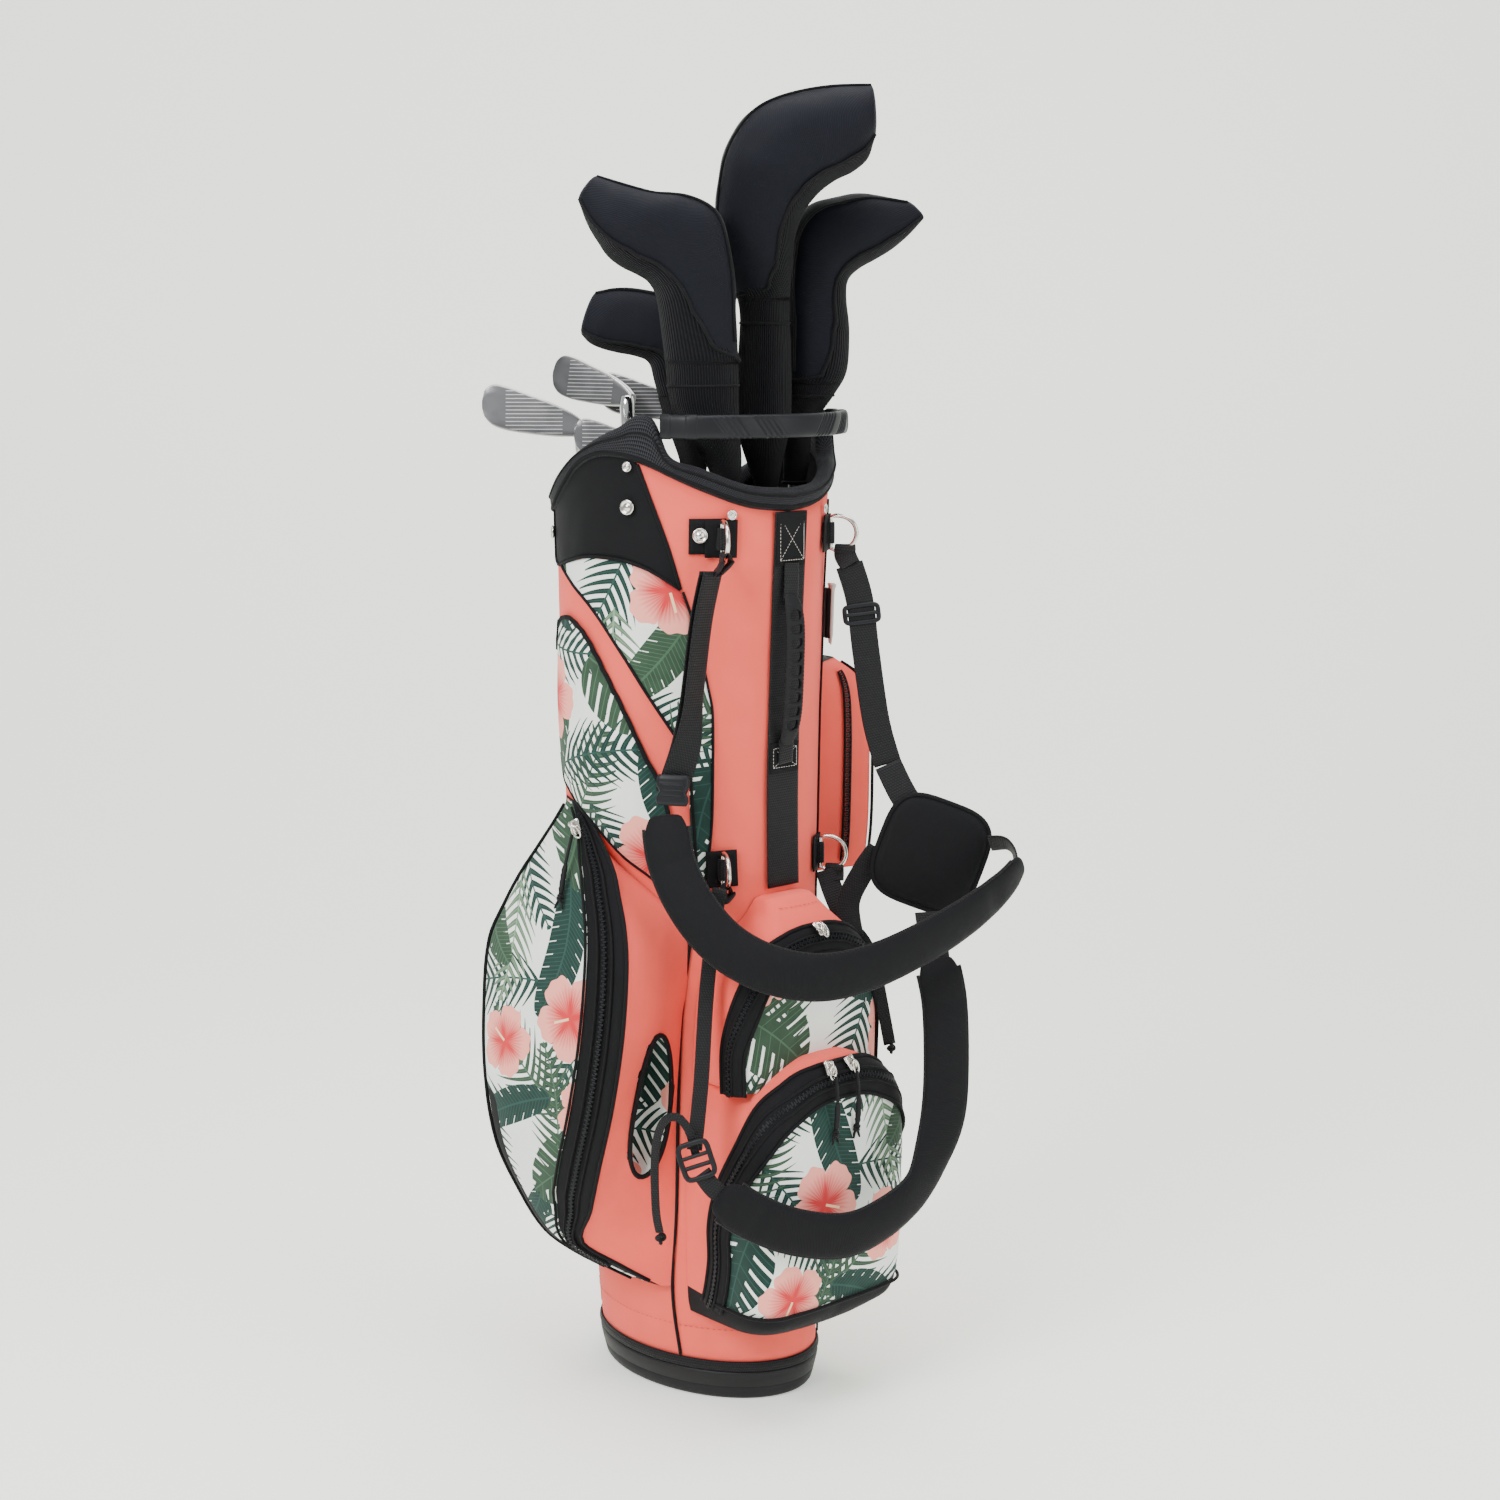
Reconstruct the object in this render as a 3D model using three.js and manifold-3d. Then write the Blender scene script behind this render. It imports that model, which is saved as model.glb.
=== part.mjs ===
// A golf club set: an oval carry bag with its pockets, harness and hardware, four hooded clubs and four irons.
// Millimetres, +Z up. The origin is the middle of the boot's underside; -Y is the side with the carry handle.
import * as THREE from 'three';
import { mergeVertices } from 'three/addons/utils/BufferGeometryUtils.js';
import Module from 'manifold-3d';

const wasm = await Module();
wasm.setup();

// ---- Driving dimensions -------------------------------------------------------------------------

const DEG = Math.PI / 180;
const GAP = 0.4; // clearance kept between touching pieces

// The bag's outside: height, half width in X, half depth in Y, middle in Y.
const TUBE = [
  [0, 81.5, 115.5, 0],
  [30, 81.5, 115.5, 0],
  [100, 85, 117, 3],
  [300, 99, 113, 12],
  [525, 115, 111, 18],
  [700, 119, 117, 18.5],
  [800, 121, 121, 17.5],
  [900, 122, 122, 17],
];

// Round the mouth: angle from the front, height of the sewn seam, height of the padded rim.
const MOUTH = [
  [0, 791, 808],
  [20, 796, 812],
  [40, 811, 827],
  [53, 823, 838],
  [58, 828, 866],
  [66, 834, 870],
  [72, 837, 862],
  [84, 837, 851],
  [96, 827, 838],
  [108, 808, 824],
  [123, 789, 806],
  [150, 778, 796],
  [180, 775, 792],
];

const BOOT_HEIGHT = 27;
const BOOT_FLOOR = 8;
const FACETS = 40; // flats round the bag
const WALL = 3; // the bag's sewn and lined wall
const RIM_THICKNESS = 12;
const DIVIDER_Z = 750;
const DIVIDER_HEIGHT = 20;
const DIVIDER_BAR = 5;
const STAY_RADIUS = 2.5;
const HANDLE_HEIGHT = 20;
const HANDLE_Z = 861;
const HANDLE_END = 55; // angle from the front where the lift handle joins the rim
const RING_REACH = 26; // how far a D-ring stands out from its bar
const RING_HALF = 15;
const RING_WIRE = 2;
const CORD_RADIUS = 1.5;
const PULL_LENGTH = 52;

// The heads are spread along one diagonal of the mouth.
const FAN_ANGLE = -44 * DEG;
const ACROSS = new THREE.Vector3(Math.cos(FAN_ANGLE), Math.sin(FAN_ANGLE), 0);
const NEAR = new THREE.Vector3(Math.sin(FAN_ANGLE), -Math.cos(FAN_ANGLE), 0);
const BUTT_Z = 12;
const RIM_Z = 830;
const GRIP_LENGTH = 265;
const GRIP_BUTT_RADIUS = 12.5;
const GRIP_TIP_RADIUS = 9;
const COVER_WALL = 3;

const COLOURS = {
  coral: { color: 0xf0746a, roughness: 0.85 },
  print: { color: 0xcfd5c8, roughness: 0.85 },
  black_fabric: { color: 0x17171a, roughness: 0.9 },
  neoprene: { color: 0x1b1b22, roughness: 0.8 },
  webbing: { color: 0x141415, roughness: 0.85 },
  boot_plastic: { color: 0x2a2a2d, roughness: 0.55 },
  moulded_plastic: { color: 0x202126, roughness: 0.5 },
  rubber: { color: 0x18181a, roughness: 0.7 },
  nickel: { color: 0xb9b4ac, roughness: 0.25, metalness: 1 },
  steel: { color: 0xc4c6c8, roughness: 0.22, metalness: 1 },
  graphite: { color: 0x26272b, roughness: 0.35 },
  fibreglass: { color: 0xd9d6c8, roughness: 0.5 },
};

const MATERIALS = Object.fromEntries(
  Object.entries(COLOURS).map(([name, look]) => [name, new THREE.MeshStandardMaterial(look)]),
);

const group = new THREE.Group();

// ---- Helpers ------------------------------------------------------------------------------------

const vec = (x, y, z) => new THREE.Vector3(x, y, z);

function add(name, geometry, material) {
  const mesh = new THREE.Mesh(geometry, MATERIALS[material]);
  mesh.name = name;
  group.add(mesh);
  return mesh;
}

// Reads a table of rows [key, value, ...] at a key, with a smooth curve through the rows.
function read(rows, key) {
  const last = rows.length - 1;
  const k = Math.min(Math.max(key, rows[0][0]), rows[last][0]);
  let i = 0;
  while (i < last - 1 && rows[i + 1][0] < k) i += 1;
  const span = rows[i + 1][0] - rows[i][0];
  const t = (k - rows[i][0]) / span;
  const slope = (j, c) => {
    const a = rows[Math.max(j - 1, 0)];
    const b = rows[Math.min(j + 1, last)];
    return ((b[c] - a[c]) / (b[0] - a[0])) * span;
  };
  return rows[i].slice(1).map((start, n) => {
    const c = n + 1;
    const end = rows[i + 1][c];
    return (
      start * (1 + t * t * (2 * t - 3)) +
      slope(i, c) * t * (1 - t) * (1 - t) +
      end * t * t * (3 - 2 * t) +
      slope(i + 1, c) * t * t * (t - 1)
    );
  });
}

// A point of the bag's outside: angle from the front in degrees, positive towards -X.
function tubePoint(angle, z, offset = 0) {
  const [a, b, middle] = read(TUBE, z);
  return vec(
    -(a + offset) * Math.sin(angle * DEG),
    middle - (b + offset) * Math.cos(angle * DEG),
    z,
  );
}

// The bag's outward direction there.
function tubeNormal(angle, z) {
  const [a, b] = read(TUBE, z);
  return vec(-Math.sin(angle * DEG) / a, -Math.cos(angle * DEG) / b, 0).normalize();
}

const mouthSeam = (angle) => read(MOUTH, Math.abs(angle))[0];
const mouthRim = (angle) => read(MOUTH, Math.abs(angle))[1];

const sweepAngles = (count) => Array.from({ length: count }, (_, i) => (i * 360) / count - 180);
const steps = (from, to, count) =>
  Array.from({ length: count + 1 }, (_, i) => from + ((to - from) * i) / count);

// One closed body from triangles, with its faces turned outwards.
function body(points, triangles) {
  const centre = points[0];
  const volume = triangles.reduce((sum, [a, b, c]) => {
    const p = points[a].clone().sub(centre);
    const q = points[b].clone().sub(centre);
    return sum + p.dot(q.cross(points[c].clone().sub(centre)));
  }, 0);
  const turned = volume < 0 ? triangles.map(([a, b, c]) => [a, c, b]) : triangles;
  const geometry = new THREE.BufferGeometry().setFromPoints(points);
  geometry.setIndex(turned.flat());
  geometry.computeVertexNormals();
  return geometry;
}

// Skins a row of closed rings. The ends are capped, or joined to each other when looped.
function loft(rings, looped = false) {
  const n = rings[0].length;
  const points = rings.flat();
  const triangles = [];
  const joins = looped ? rings.length : rings.length - 1;
  for (let r = 0; r < joins; r += 1) {
    const here = r * n;
    const next = ((r + 1) % rings.length) * n;
    for (let i = 0; i < n; i += 1) {
      const j = (i + 1) % n;
      triangles.push([here + i, here + j, next + j], [here + i, next + j, next + i]);
    }
  }
  if (!looped) {
    [0, rings.length - 1].forEach((r) => {
      const middle = points.length;
      const sum = rings[r].reduce((total, p) => total.add(p), vec(0, 0, 0));
      points.push(sum.divideScalar(n));
      for (let i = 0; i < n; i += 1) {
        const j = (i + 1) % n;
        const rim = [r * n + i, r * n + j];
        triangles.push(r === 0 ? [middle, rim[1], rim[0]] : [middle, rim[0], rim[1]]);
      }
    });
  }
  return body(points, triangles);
}

// A rounded outline in the plane of two directions; power 2 is an ellipse, 4 is nearly a box.
function roundedRing(centre, u, v, halfU, halfV, power = 2, count = 16) {
  return Array.from({ length: count }, (_, i) => {
    const t = ((i + 0.5) / count) * 2 * Math.PI;
    const c = Math.cos(t);
    const s = Math.sin(t);
    const x = Math.sign(c) * Math.abs(c) ** (2 / power) * halfU;
    const y = Math.sign(s) * Math.abs(s) ** (2 / power) * halfV;
    return centre.clone().addScaledVector(u, x).addScaledVector(v, y);
  });
}

// A flat band along a smooth curve; its broad side faces the side given at each point.
function band(points, faceTo, halfWidth, halfThick, count, power = 4, ring = 8) {
  const curve = new THREE.CatmullRomCurve3(points, false, 'centripetal');
  const rings = steps(0, 1, count).map((t) => {
    const along = curve.getTangentAt(t);
    const face = faceTo(t).clone();
    face.addScaledVector(along, -face.dot(along)).normalize();
    const wide = along.clone().cross(face);
    return roundedRing(curve.getPointAt(t), wide, face, halfWidth(t), halfThick(t), power, ring);
  });
  return loft(rings);
}

function manifoldOf(geometry) {
  const plain = geometry.clone();
  plain.deleteAttribute('normal');
  plain.deleteAttribute('uv');
  const merged = mergeVertices(plain, 1e-3);
  return new wasm.Manifold(
    new wasm.Mesh({
      numProp: 3,
      vertProperties: merged.attributes.position.array,
      triVerts: new Uint32Array(merged.index.array),
    }),
  );
}

function geometryOf(solid) {
  const mesh = solid.getMesh();
  const geometry = new THREE.BufferGeometry();
  geometry.setAttribute('position', new THREE.BufferAttribute(mesh.vertProperties, 3));
  geometry.setIndex(new THREE.BufferAttribute(mesh.triVerts, 1));
  geometry.computeVertexNormals();
  return geometry;
}

const joined = (first, ...more) =>
  geometryOf(more.reduce((solid, other) => solid.add(manifoldOf(other)), manifoldOf(first)));
const cutBy = (first, ...tools) =>
  geometryOf(tools.reduce((solid, tool) => solid.subtract(manifoldOf(tool)), manifoldOf(first)));

function placed(geometry, x, y, z) {
  geometry.translate(x, y, z);
  return geometry;
}

// ---- Bag body -----------------------------------------------------------------------------------

function ovalRing(a, b, z) {
  return sweepAngles(FACETS).map((t) => vec(-a * Math.sin(t * DEG), -b * Math.cos(t * DEG), z));
}

function bootGeometry() {
  return loft([
    ovalRing(77, 111, 0),
    ovalRing(80, 114, 3),
    ovalRing(83.5, 117.5, BOOT_HEIGHT),
    ovalRing(76, 110, BOOT_HEIGHT),
    ovalRing(75, 109, BOOT_FLOOR),
  ]);
}

// The wall runs up to the seam, which rises and falls round the mouth.
function bodyGeometry() {
  const angles = sweepAngles(FACETS);
  const levels = [0, 0.05, 0.12, 0.22, 0.33, 0.44, 0.55, 0.66, 0.77, 0.88, 1];
  const innerLevels = [1, 0.85, 0.5, 0.12, 0];
  const ring = (level, offset) =>
    angles.map((angle) => {
      const bottom = BOOT_HEIGHT + GAP;
      return tubePoint(angle, bottom + (mouthSeam(angle) - bottom) * level, offset);
    });
  const outside = levels.map((level) => ring(level, 0));
  const inside = innerLevels.map((level) => ring(level, -WALL));
  return loft([...outside, ...inside], true);
}

function collarGeometry() {
  const angles = sweepAngles(FACETS);
  const profile = [
    [2, 0, 0],
    [4.5, 0.35, 0],
    [2, 1, -3],
    [-RIM_THICKNESS / 2, 1, 0],
    [-RIM_THICKNESS + 2, 1, -4],
    [-RIM_THICKNESS + 2, 0, 0],
  ];
  const rings = profile.map(([offset, share, drop]) =>
    angles.map((angle) => {
      const seam = mouthSeam(angle) + GAP;
      return tubePoint(angle, seam + (mouthRim(angle) - seam) * share + drop, offset);
    }),
  );
  return loft(rings, true);
}

// A rim with crossing bars: one cell for each club and open cells for more.
const DIVIDER_ROWS = [
  { low: -200, high: -12, bars: [-4, 49] },
  { low: -12, high: 57, bars: [-17, 53] },
  { low: 57, high: 250, bars: [-40, 12, 71] },
];

function dividerGeometry() {
  const [a, b, middle] = read(TUBE, DIVIDER_Z);
  const outerA = a - WALL - GAP * 2;
  const outerB = b - WALL - GAP * 2;
  const rim = 6;
  const drum = (inset, from, to) =>
    loft([from, to].map((z) => ovalRing(outerA - inset, outerB - inset, z).map((p) => p.add(vec(0, middle, 0)))));
  const top = DIVIDER_Z + DIVIDER_HEIGHT;
  const whole = manifoldOf(drum(0, DIVIDER_Z, top));
  const ring = whole.subtract(manifoldOf(drum(rim, DIVIDER_Z - 5, top + 5)));
  const bar = (x0, x1, y0, y1) => {
    const box = new THREE.BoxGeometry(x1 - x0, y1 - y0, DIVIDER_HEIGHT - 2);
    return manifoldOf(placed(box, (x0 + x1) / 2, (y0 + y1) / 2, DIVIDER_Z + DIVIDER_HEIGHT / 2));
  };
  const half = DIVIDER_BAR / 2;
  const bars = [];
  DIVIDER_ROWS.forEach(({ low, high, bars: columns }) => {
    columns.forEach((x) => bars.push(bar(x - half, x + half, low, high)));
    if (high < 200) bars.push(bar(-200, 200, high - half, high + half));
  });
  const lattice = bars.reduce((sum, one) => sum.add(one)).intersect(manifoldOf(drum(1, DIVIDER_Z, top)));
  return geometryOf(ring.add(lattice));
}

// A sprung rod down the inside of the wall, from the boot's floor to the divider.
function stayGeometry(angle) {
  const heights = [BOOT_FLOOR + GAP, 40, 120, 300, 520, DIVIDER_Z - GAP];
  const rings = heights.map((z) => {
    const centre = tubePoint(angle, Math.max(z, 40), -WALL - STAY_RADIUS - 6);
    centre.z = z;
    return roundedRing(centre, vec(1, 0, 0), vec(0, 1, 0), STAY_RADIUS, STAY_RADIUS, 2, 8);
  });
  return loft(rings);
}

// The stiff loop that bridges the front dip of the mouth.
function liftHandleGeometry() {
  const reach = [
    [0, 12.5],
    [30, 11.5],
    [44, 9.5],
    [50, 5],
    [HANDLE_END, 1],
  ];
  const rings = steps(-HANDLE_END, HANDLE_END, 26).map((angle) => {
    const [offset] = read(reach, Math.abs(angle));
    const centre = tubePoint(angle, HANDLE_Z, offset);
    return roundedRing(centre, tubeNormal(angle, HANDLE_Z), vec(0, 0, 1), 4.5, HANDLE_HEIGHT / 2, 4, 8);
  });
  return loft(rings);
}

add('base_boot', bootGeometry(), 'boot_plastic');
add('bag_body', bodyGeometry(), 'coral');
add('top_collar', collarGeometry(), 'black_fabric');
add('divider_grid', dividerGeometry(), 'black_fabric');
add('stay_rod_left', stayGeometry(88), 'fibreglass');
add('stay_rod_right', stayGeometry(-88), 'fibreglass');
add('lift_handle', liftHandleGeometry(), 'moulded_plastic');

// ---- Spine webbing and side handle --------------------------------------------------------------

const SPINE_TOP = 788;
const SPINE_BOTTOM = 461;
const SPINE_HALF_WIDTH = 19;
const SPINE_X = 2;

function spineGeometry() {
  const rings = steps(SPINE_BOTTOM, SPINE_TOP, 6).map((z) => {
    const front = tubePoint(0, z, 2 * GAP).y;
    return [
      vec(SPINE_X - SPINE_HALF_WIDTH, front, z),
      vec(SPINE_X + SPINE_HALF_WIDTH, front, z),
      vec(SPINE_X + SPINE_HALF_WIDTH, front - 1.6, z),
      vec(SPINE_X - SPINE_HALF_WIDTH, front - 1.6, z),
    ];
  });
  return loft(rings);
}

// A rubber grip with a row of slots, bowed off the webbing.
const GRIP_Z = [586, 718];
const GRIP_STANDOFF = 12;

function sideGripGeometry() {
  const middle = (GRIP_Z[0] + GRIP_Z[1]) / 2;
  const halfLength = (GRIP_Z[1] - GRIP_Z[0]) / 2;
  const rings = steps(-1, 1, 12).map((t) => {
    const z = middle + t * halfLength;
    const front = tubePoint(0, z).y - 3 - (GRIP_STANDOFF - 3) * (1 - t * t * t * t);
    const taper = 1 - 0.45 * t ** 8;
    return roundedRing(vec(0, front - 3, z), vec(1, 0, 0), vec(0, 1, 0), 11 * taper, 3, 3, 10);
  });
  const slots = steps(-0.66, 0.66, 6).map((t) => {
    const slot = new THREE.CylinderGeometry(2.6, 2.6, 40, 6);
    return placed(slot, 0, -112, middle + t * halfLength);
  });
  return cutBy(loft(rings), ...slots);
}

add('spine_webbing', spineGeometry(), 'webbing');
add('side_handle_grip', sideGripGeometry(), 'rubber');

// ---- Pockets ------------------------------------------------------------------------------------

const POCKET_GAP = 1.6; // from the bag's faceted wall to a pocket's back

// A level section between the bag's wall and a pocket's corners; the face between them swells.
function pocketSection(z, [front, rear], cornerFront, cornerRear, swell, wallGap = POCKET_GAP) {
  const start = tubePoint(front, z, wallGap);
  const end = tubePoint(rear, z, wallGap);
  const a = vec(cornerFront[0], cornerFront[1], z);
  const b = vec(cornerRear[0], cornerRear[1], z);
  const out = b.clone().sub(a).cross(vec(0, 0, 1)).normalize();
  if (out.dot(tubeNormal((front + rear) / 2, z)) < 0) out.negate();
  const ring = [start];
  [0.35, 0.7].forEach((t) => ring.push(start.clone().lerp(a, t)));
  steps(0, 1, 8).forEach((t) => {
    const lift = swell * (1 - (2 * t - 1) ** 4);
    ring.push(a.clone().lerp(b, t).addScaledVector(out, lift));
  });
  [0.3, 0.65].forEach((t) => ring.push(b.clone().lerp(end, t)));
  ring.push(end);
  steps(rear, front, 12)
    .slice(1, -1)
    .forEach((angle) => ring.push(tubePoint(angle, z, wallGap)));
  return ring;
}

// The garment pocket: height, root angles on the bag, front corner, rear corner, swell.
const APPAREL = [
  [101, 69, 104, -87, -32, -90, 24, 1],
  [120, 67, 118, -112, -8, -116, 50, 3],
  [142, 65, 126, -138, 14, -138, 66, 5],
  [178, 63, 134, -148, -8, -149, 90, 8],
  [222, 61, 140, -155, -28, -162, 104, 9],
  [283, 57, 144, -160, -52, -170, 108, 10],
  [347, 52, 146, -160, -66, -171, 107, 10],
  [408, 47, 146, -157, -69, -166, 104, 9],
  [440, 51, 144, -151, -60, -152, 98, 8],
  [465, 65, 140, -144, -45, -140, 91, 6],
  [485, 79, 136, -134, -26, -127, 85, 4],
  [510, 96, 128, -120, 12, -115, 74, 2],
  [532, 112, 122, -114, 46, -110, 61, 1],
];

function apparelGeometry() {
  return loft(
    APPAREL.map(([z, front, rear, ax, ay, bx, by, swell]) =>
      pocketSection(z, [front, rear], [ax, ay], [bx, by], swell),
    ),
  );
}

// The open sleeve in the garment pocket's front panel.
const SLEEVE = { x: -113, z: 275, halfWidth: 21, halfHeight: 66, depth: 34 };

function sleeveTool() {
  const oval = new THREE.Shape();
  oval.absellipse(0, 0, SLEEVE.halfWidth, SLEEVE.halfHeight, 0, 2 * Math.PI);
  const tool = new THREE.ExtrudeGeometry(oval, { depth: 80, bevelEnabled: false, curveSegments: 10 });
  tool.rotateX(Math.PI / 2);
  return placed(tool, SLEEVE.x, -60 + SLEEVE.depth, SLEEVE.z);
}

add('apparel_pocket_left', cutBy(apparelGeometry(), sleeveTool()), 'print');

// The slip pocket above it: angle, lower edge, upper edge.
const SLIP = [
  [49, 449, 492],
  [54, 460, 548],
  [61, 474, 577],
  [74, 491, 628],
  [90, 517, 676],
  [101, 530, 692],
  [110, 541, 693],
  [118, 550, 685],
  [123, 570, 662],
];

function slipGeometry() {
  const rings = steps(SLIP[0][0], SLIP[SLIP.length - 1][0], 14).map((angle) => {
    const [low, high] = read(SLIP, angle);
    return [
      tubePoint(angle, low, 1),
      tubePoint(angle, high, 1),
      tubePoint(angle, high, 5),
      tubePoint(angle, (low + high) / 2, 4),
      tubePoint(angle, low, 2.6),
    ];
  });
  return loft(rings);
}

add('slip_pocket_left', slipGeometry(), 'print');

// The valuables pocket on the other side: height, rear root angle, corner in Y, depth share.
const VALUABLES_X = 130;
const VALUABLES = [
  [456, -106, 40, 0.7],
  [466, -110, 46, 0.95],
  [540, -112, 50, 1],
  [610, -110, 46, 1],
  [632, -106, 34, 0.9],
  [646, -98, 14, 0.55],
];

function valuablesGeometry() {
  return loft(
    VALUABLES.map(([z, rear, halfY, share]) => {
      const x = 108 + (VALUABLES_X - 108) * share;
      return pocketSection(z, [-50, rear], [x, -24 - halfY], [x, -4 + halfY], 5);
    }),
  );
}

add('valuables_pocket_right', valuablesGeometry(), 'print');

// A pocket on the front: half width, face, and where its sides meet the bag.
function frontSection(z, halfWidth, face, cornerRadius, rootAngle, wallGap) {
  const ring = [tubePoint(rootAngle, z, wallGap)];
  const inner = halfWidth - cornerRadius;
  const back = ring[0].y;
  ring.push(vec(-halfWidth, Math.min(back - 4, (back + face) / 2), z));
  steps(0, 90, 3).forEach((t) => {
    const c = Math.cos(t * DEG) * cornerRadius;
    const s = Math.sin(t * DEG) * cornerRadius;
    ring.push(vec(-inner - c, face + cornerRadius - s, z));
  });
  ring.push(vec(-inner / 3, face - 2.5, z), vec(inner / 3, face - 2.5, z));
  steps(90, 0, 3).forEach((t) => {
    const c = Math.cos(t * DEG) * cornerRadius;
    const s = Math.sin(t * DEG) * cornerRadius;
    ring.push(vec(inner + c, face + cornerRadius - s, z));
  });
  ring.push(vec(halfWidth, Math.min(back - 4, (back + face) / 2), z));
  steps(-rootAngle, rootAngle, 18)
    .slice(0, -1)
    .forEach((angle) => ring.push(tubePoint(angle, z, wallGap)));
  return ring;
}

// Height, half width, face in Y, corner radius, root angle.
const FRONT = [
  [292, 84, -138, 16, 50],
  [350, 85, -138, 16, 46],
  [384, 80, -138, 18, 42],
  [408, 68, -137, 20, 36],
  [426, 50, -134, 18, 28],
  [440, 36, -124, 12, 20],
  [456, 26, -106, 5, 14],
];

const BALL = [
  [78, 74, -148, 30, 60],
  [92, 85, -165, 28, 61],
  [130, 90, -171, 26, 60],
  [200, 91, -173, 26, 57],
  [250, 89, -172, 24, 54],
  [280, 81, -169, 24, 50],
  [300, 66, -166, 22, 42],
  [314, 42, -162, 18, 26],
  [322, 20, -156, 10, 14],
];

const frontPocket = (rows, wallGap) =>
  loft(rows.map(([z, w, face, radius, root]) => frontSection(z, w, face, radius, root, wallGap)));

const FRONT_CLEAR = FRONT.map(([z, w, face, radius, root], i) => [
  i === 0 ? z - GAP : z + GAP,
  w + GAP,
  face - GAP,
  radius,
  root + 1,
]);

add('front_pocket', frontPocket(FRONT, POCKET_GAP), 'print');
add('ball_pocket', cutBy(frontPocket(BALL, POCKET_GAP), frontPocket(FRONT_CLEAR, -4)), 'print');

// ---- D-rings ------------------------------------------------------------------------------------

const RINGS = {
  ring_upper_left: { angle: 31, z: 767 },
  ring_upper_right: { angle: -33, z: 765 },
  ring_lower_left: { angle: 30, z: 482 },
  ring_lower_right: { angle: -33, z: 480 },
};
const RING_STANDOFF = 5;

function ringGeometry({ angle, z }) {
  const out = tubeNormal(angle, z);
  const bar = tubePoint(angle, z, 0).addScaledVector(out, RING_STANDOFF);
  const path = [];
  steps(-1, 1, 2).forEach((t) => path.push([0, t * RING_HALF * 0.85]));
  steps(90, -90, 8).forEach((t) => {
    const bow = RING_REACH - 8;
    path.push([8 + bow * Math.cos(t * DEG), RING_HALF * Math.sin(t * DEG)]);
  });
  const n = path.length;
  const at = ([reach, rise]) => bar.clone().addScaledVector(out, reach).add(vec(0, 0, rise));
  const side = out.clone().cross(vec(0, 0, 1));
  const rings = path.map((point, i) => {
    const along = at(path[(i + 1) % n]).sub(at(path[(i + n - 1) % n])).normalize();
    return roundedRing(at(point), side, along.clone().cross(side), RING_WIRE, RING_WIRE, 2, 6);
  });
  return loft(rings, true);
}

Object.entries(RINGS).forEach(([name, place]) => add(name, ringGeometry(place), 'nickel'));

// ---- Zip sliders and their pulls ----------------------------------------------------------------

// A slider body with its bail: width along the zip, height across it, thickness out of it.
function sliderGeometry(centre, along, out) {
  const across = out.clone().cross(along);
  const shell = roundedRingBlock(centre, along, across, out, 5.5, 4, 2);
  const bail = roundedRingBlock(centre.clone().addScaledVector(out, 2.6), along, across, out, 3.6, 1.4, 1.6);
  return joined(shell, bail);
}

function roundedRingBlock(centre, u, v, w, halfU, halfV, halfW) {
  const at = (shift, scale) =>
    roundedRing(centre.clone().addScaledVector(w, shift), u, v, halfU * scale, halfV * scale, 3, 8);
  return loft([at(-halfW, 0.9), at(-halfW * 0.5, 1), at(halfW * 0.5, 1), at(halfW, 0.8)]);
}

// A cord that hangs from a slider, with a moulded sleeve round its lower half.
function pullGeometry(top, length, away, lean = 0) {
  const points = steps(0, 1, 6).map((t) =>
    top
      .clone()
      .add(vec(0, 0, -length * t))
      .addScaledVector(away, 2.4 * Math.sin(Math.PI * t) + lean * length * t),
  );
  const curve = new THREE.CatmullRomCurve3(points);
  const section = new THREE.Shape();
  section.absellipse(0, 0, CORD_RADIUS, CORD_RADIUS, 0, 2 * Math.PI);
  return new THREE.ExtrudeGeometry(section, {
    steps: 8,
    extrudePath: curve,
    curveSegments: 4,
    bevelEnabled: false,
  });
}

const SLIDERS = {
  ball_slider_left: { at: [-16, -171, 315], along: [0.98, 0, 0.2], out: [0, -0.9, 0.43], pull: 'ball_pull_left' },
  ball_slider_right: { at: [10, -171, 315], along: [0.98, 0, -0.2], out: [0, -0.9, 0.43], pull: 'ball_pull_right' },
  front_slider: { at: [0, -143, 431], along: [1, 0, 0], out: [0, -0.7, 0.71] },
  apparel_slider_left: { at: [-128, 30, 513], along: [0.42, 0.64, 0.643], out: [-0.9, -0.42, 0.1], pull: 'apparel_pull_left', lean: 0.5 },
};

Object.entries(SLIDERS).forEach(([name, { at, along, out, pull, lean }]) => {
  const centre = vec(...at);
  const outward = vec(...out).normalize();
  const line = vec(...along);
  line.addScaledVector(outward, -line.dot(outward)).normalize();
  add(name, sliderGeometry(centre, line, outward), 'nickel');
  if (pull) {
    const away = vec(outward.x, outward.y, 0).normalize();
    const top = centre.clone().addScaledVector(away, 7.5).add(vec(0, 0, -5.5));
    add(pull, pullGeometry(top, PULL_LENGTH, away, lean), 'webbing');
  }
});

// ---- Harness ------------------------------------------------------------------------------------

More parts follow.
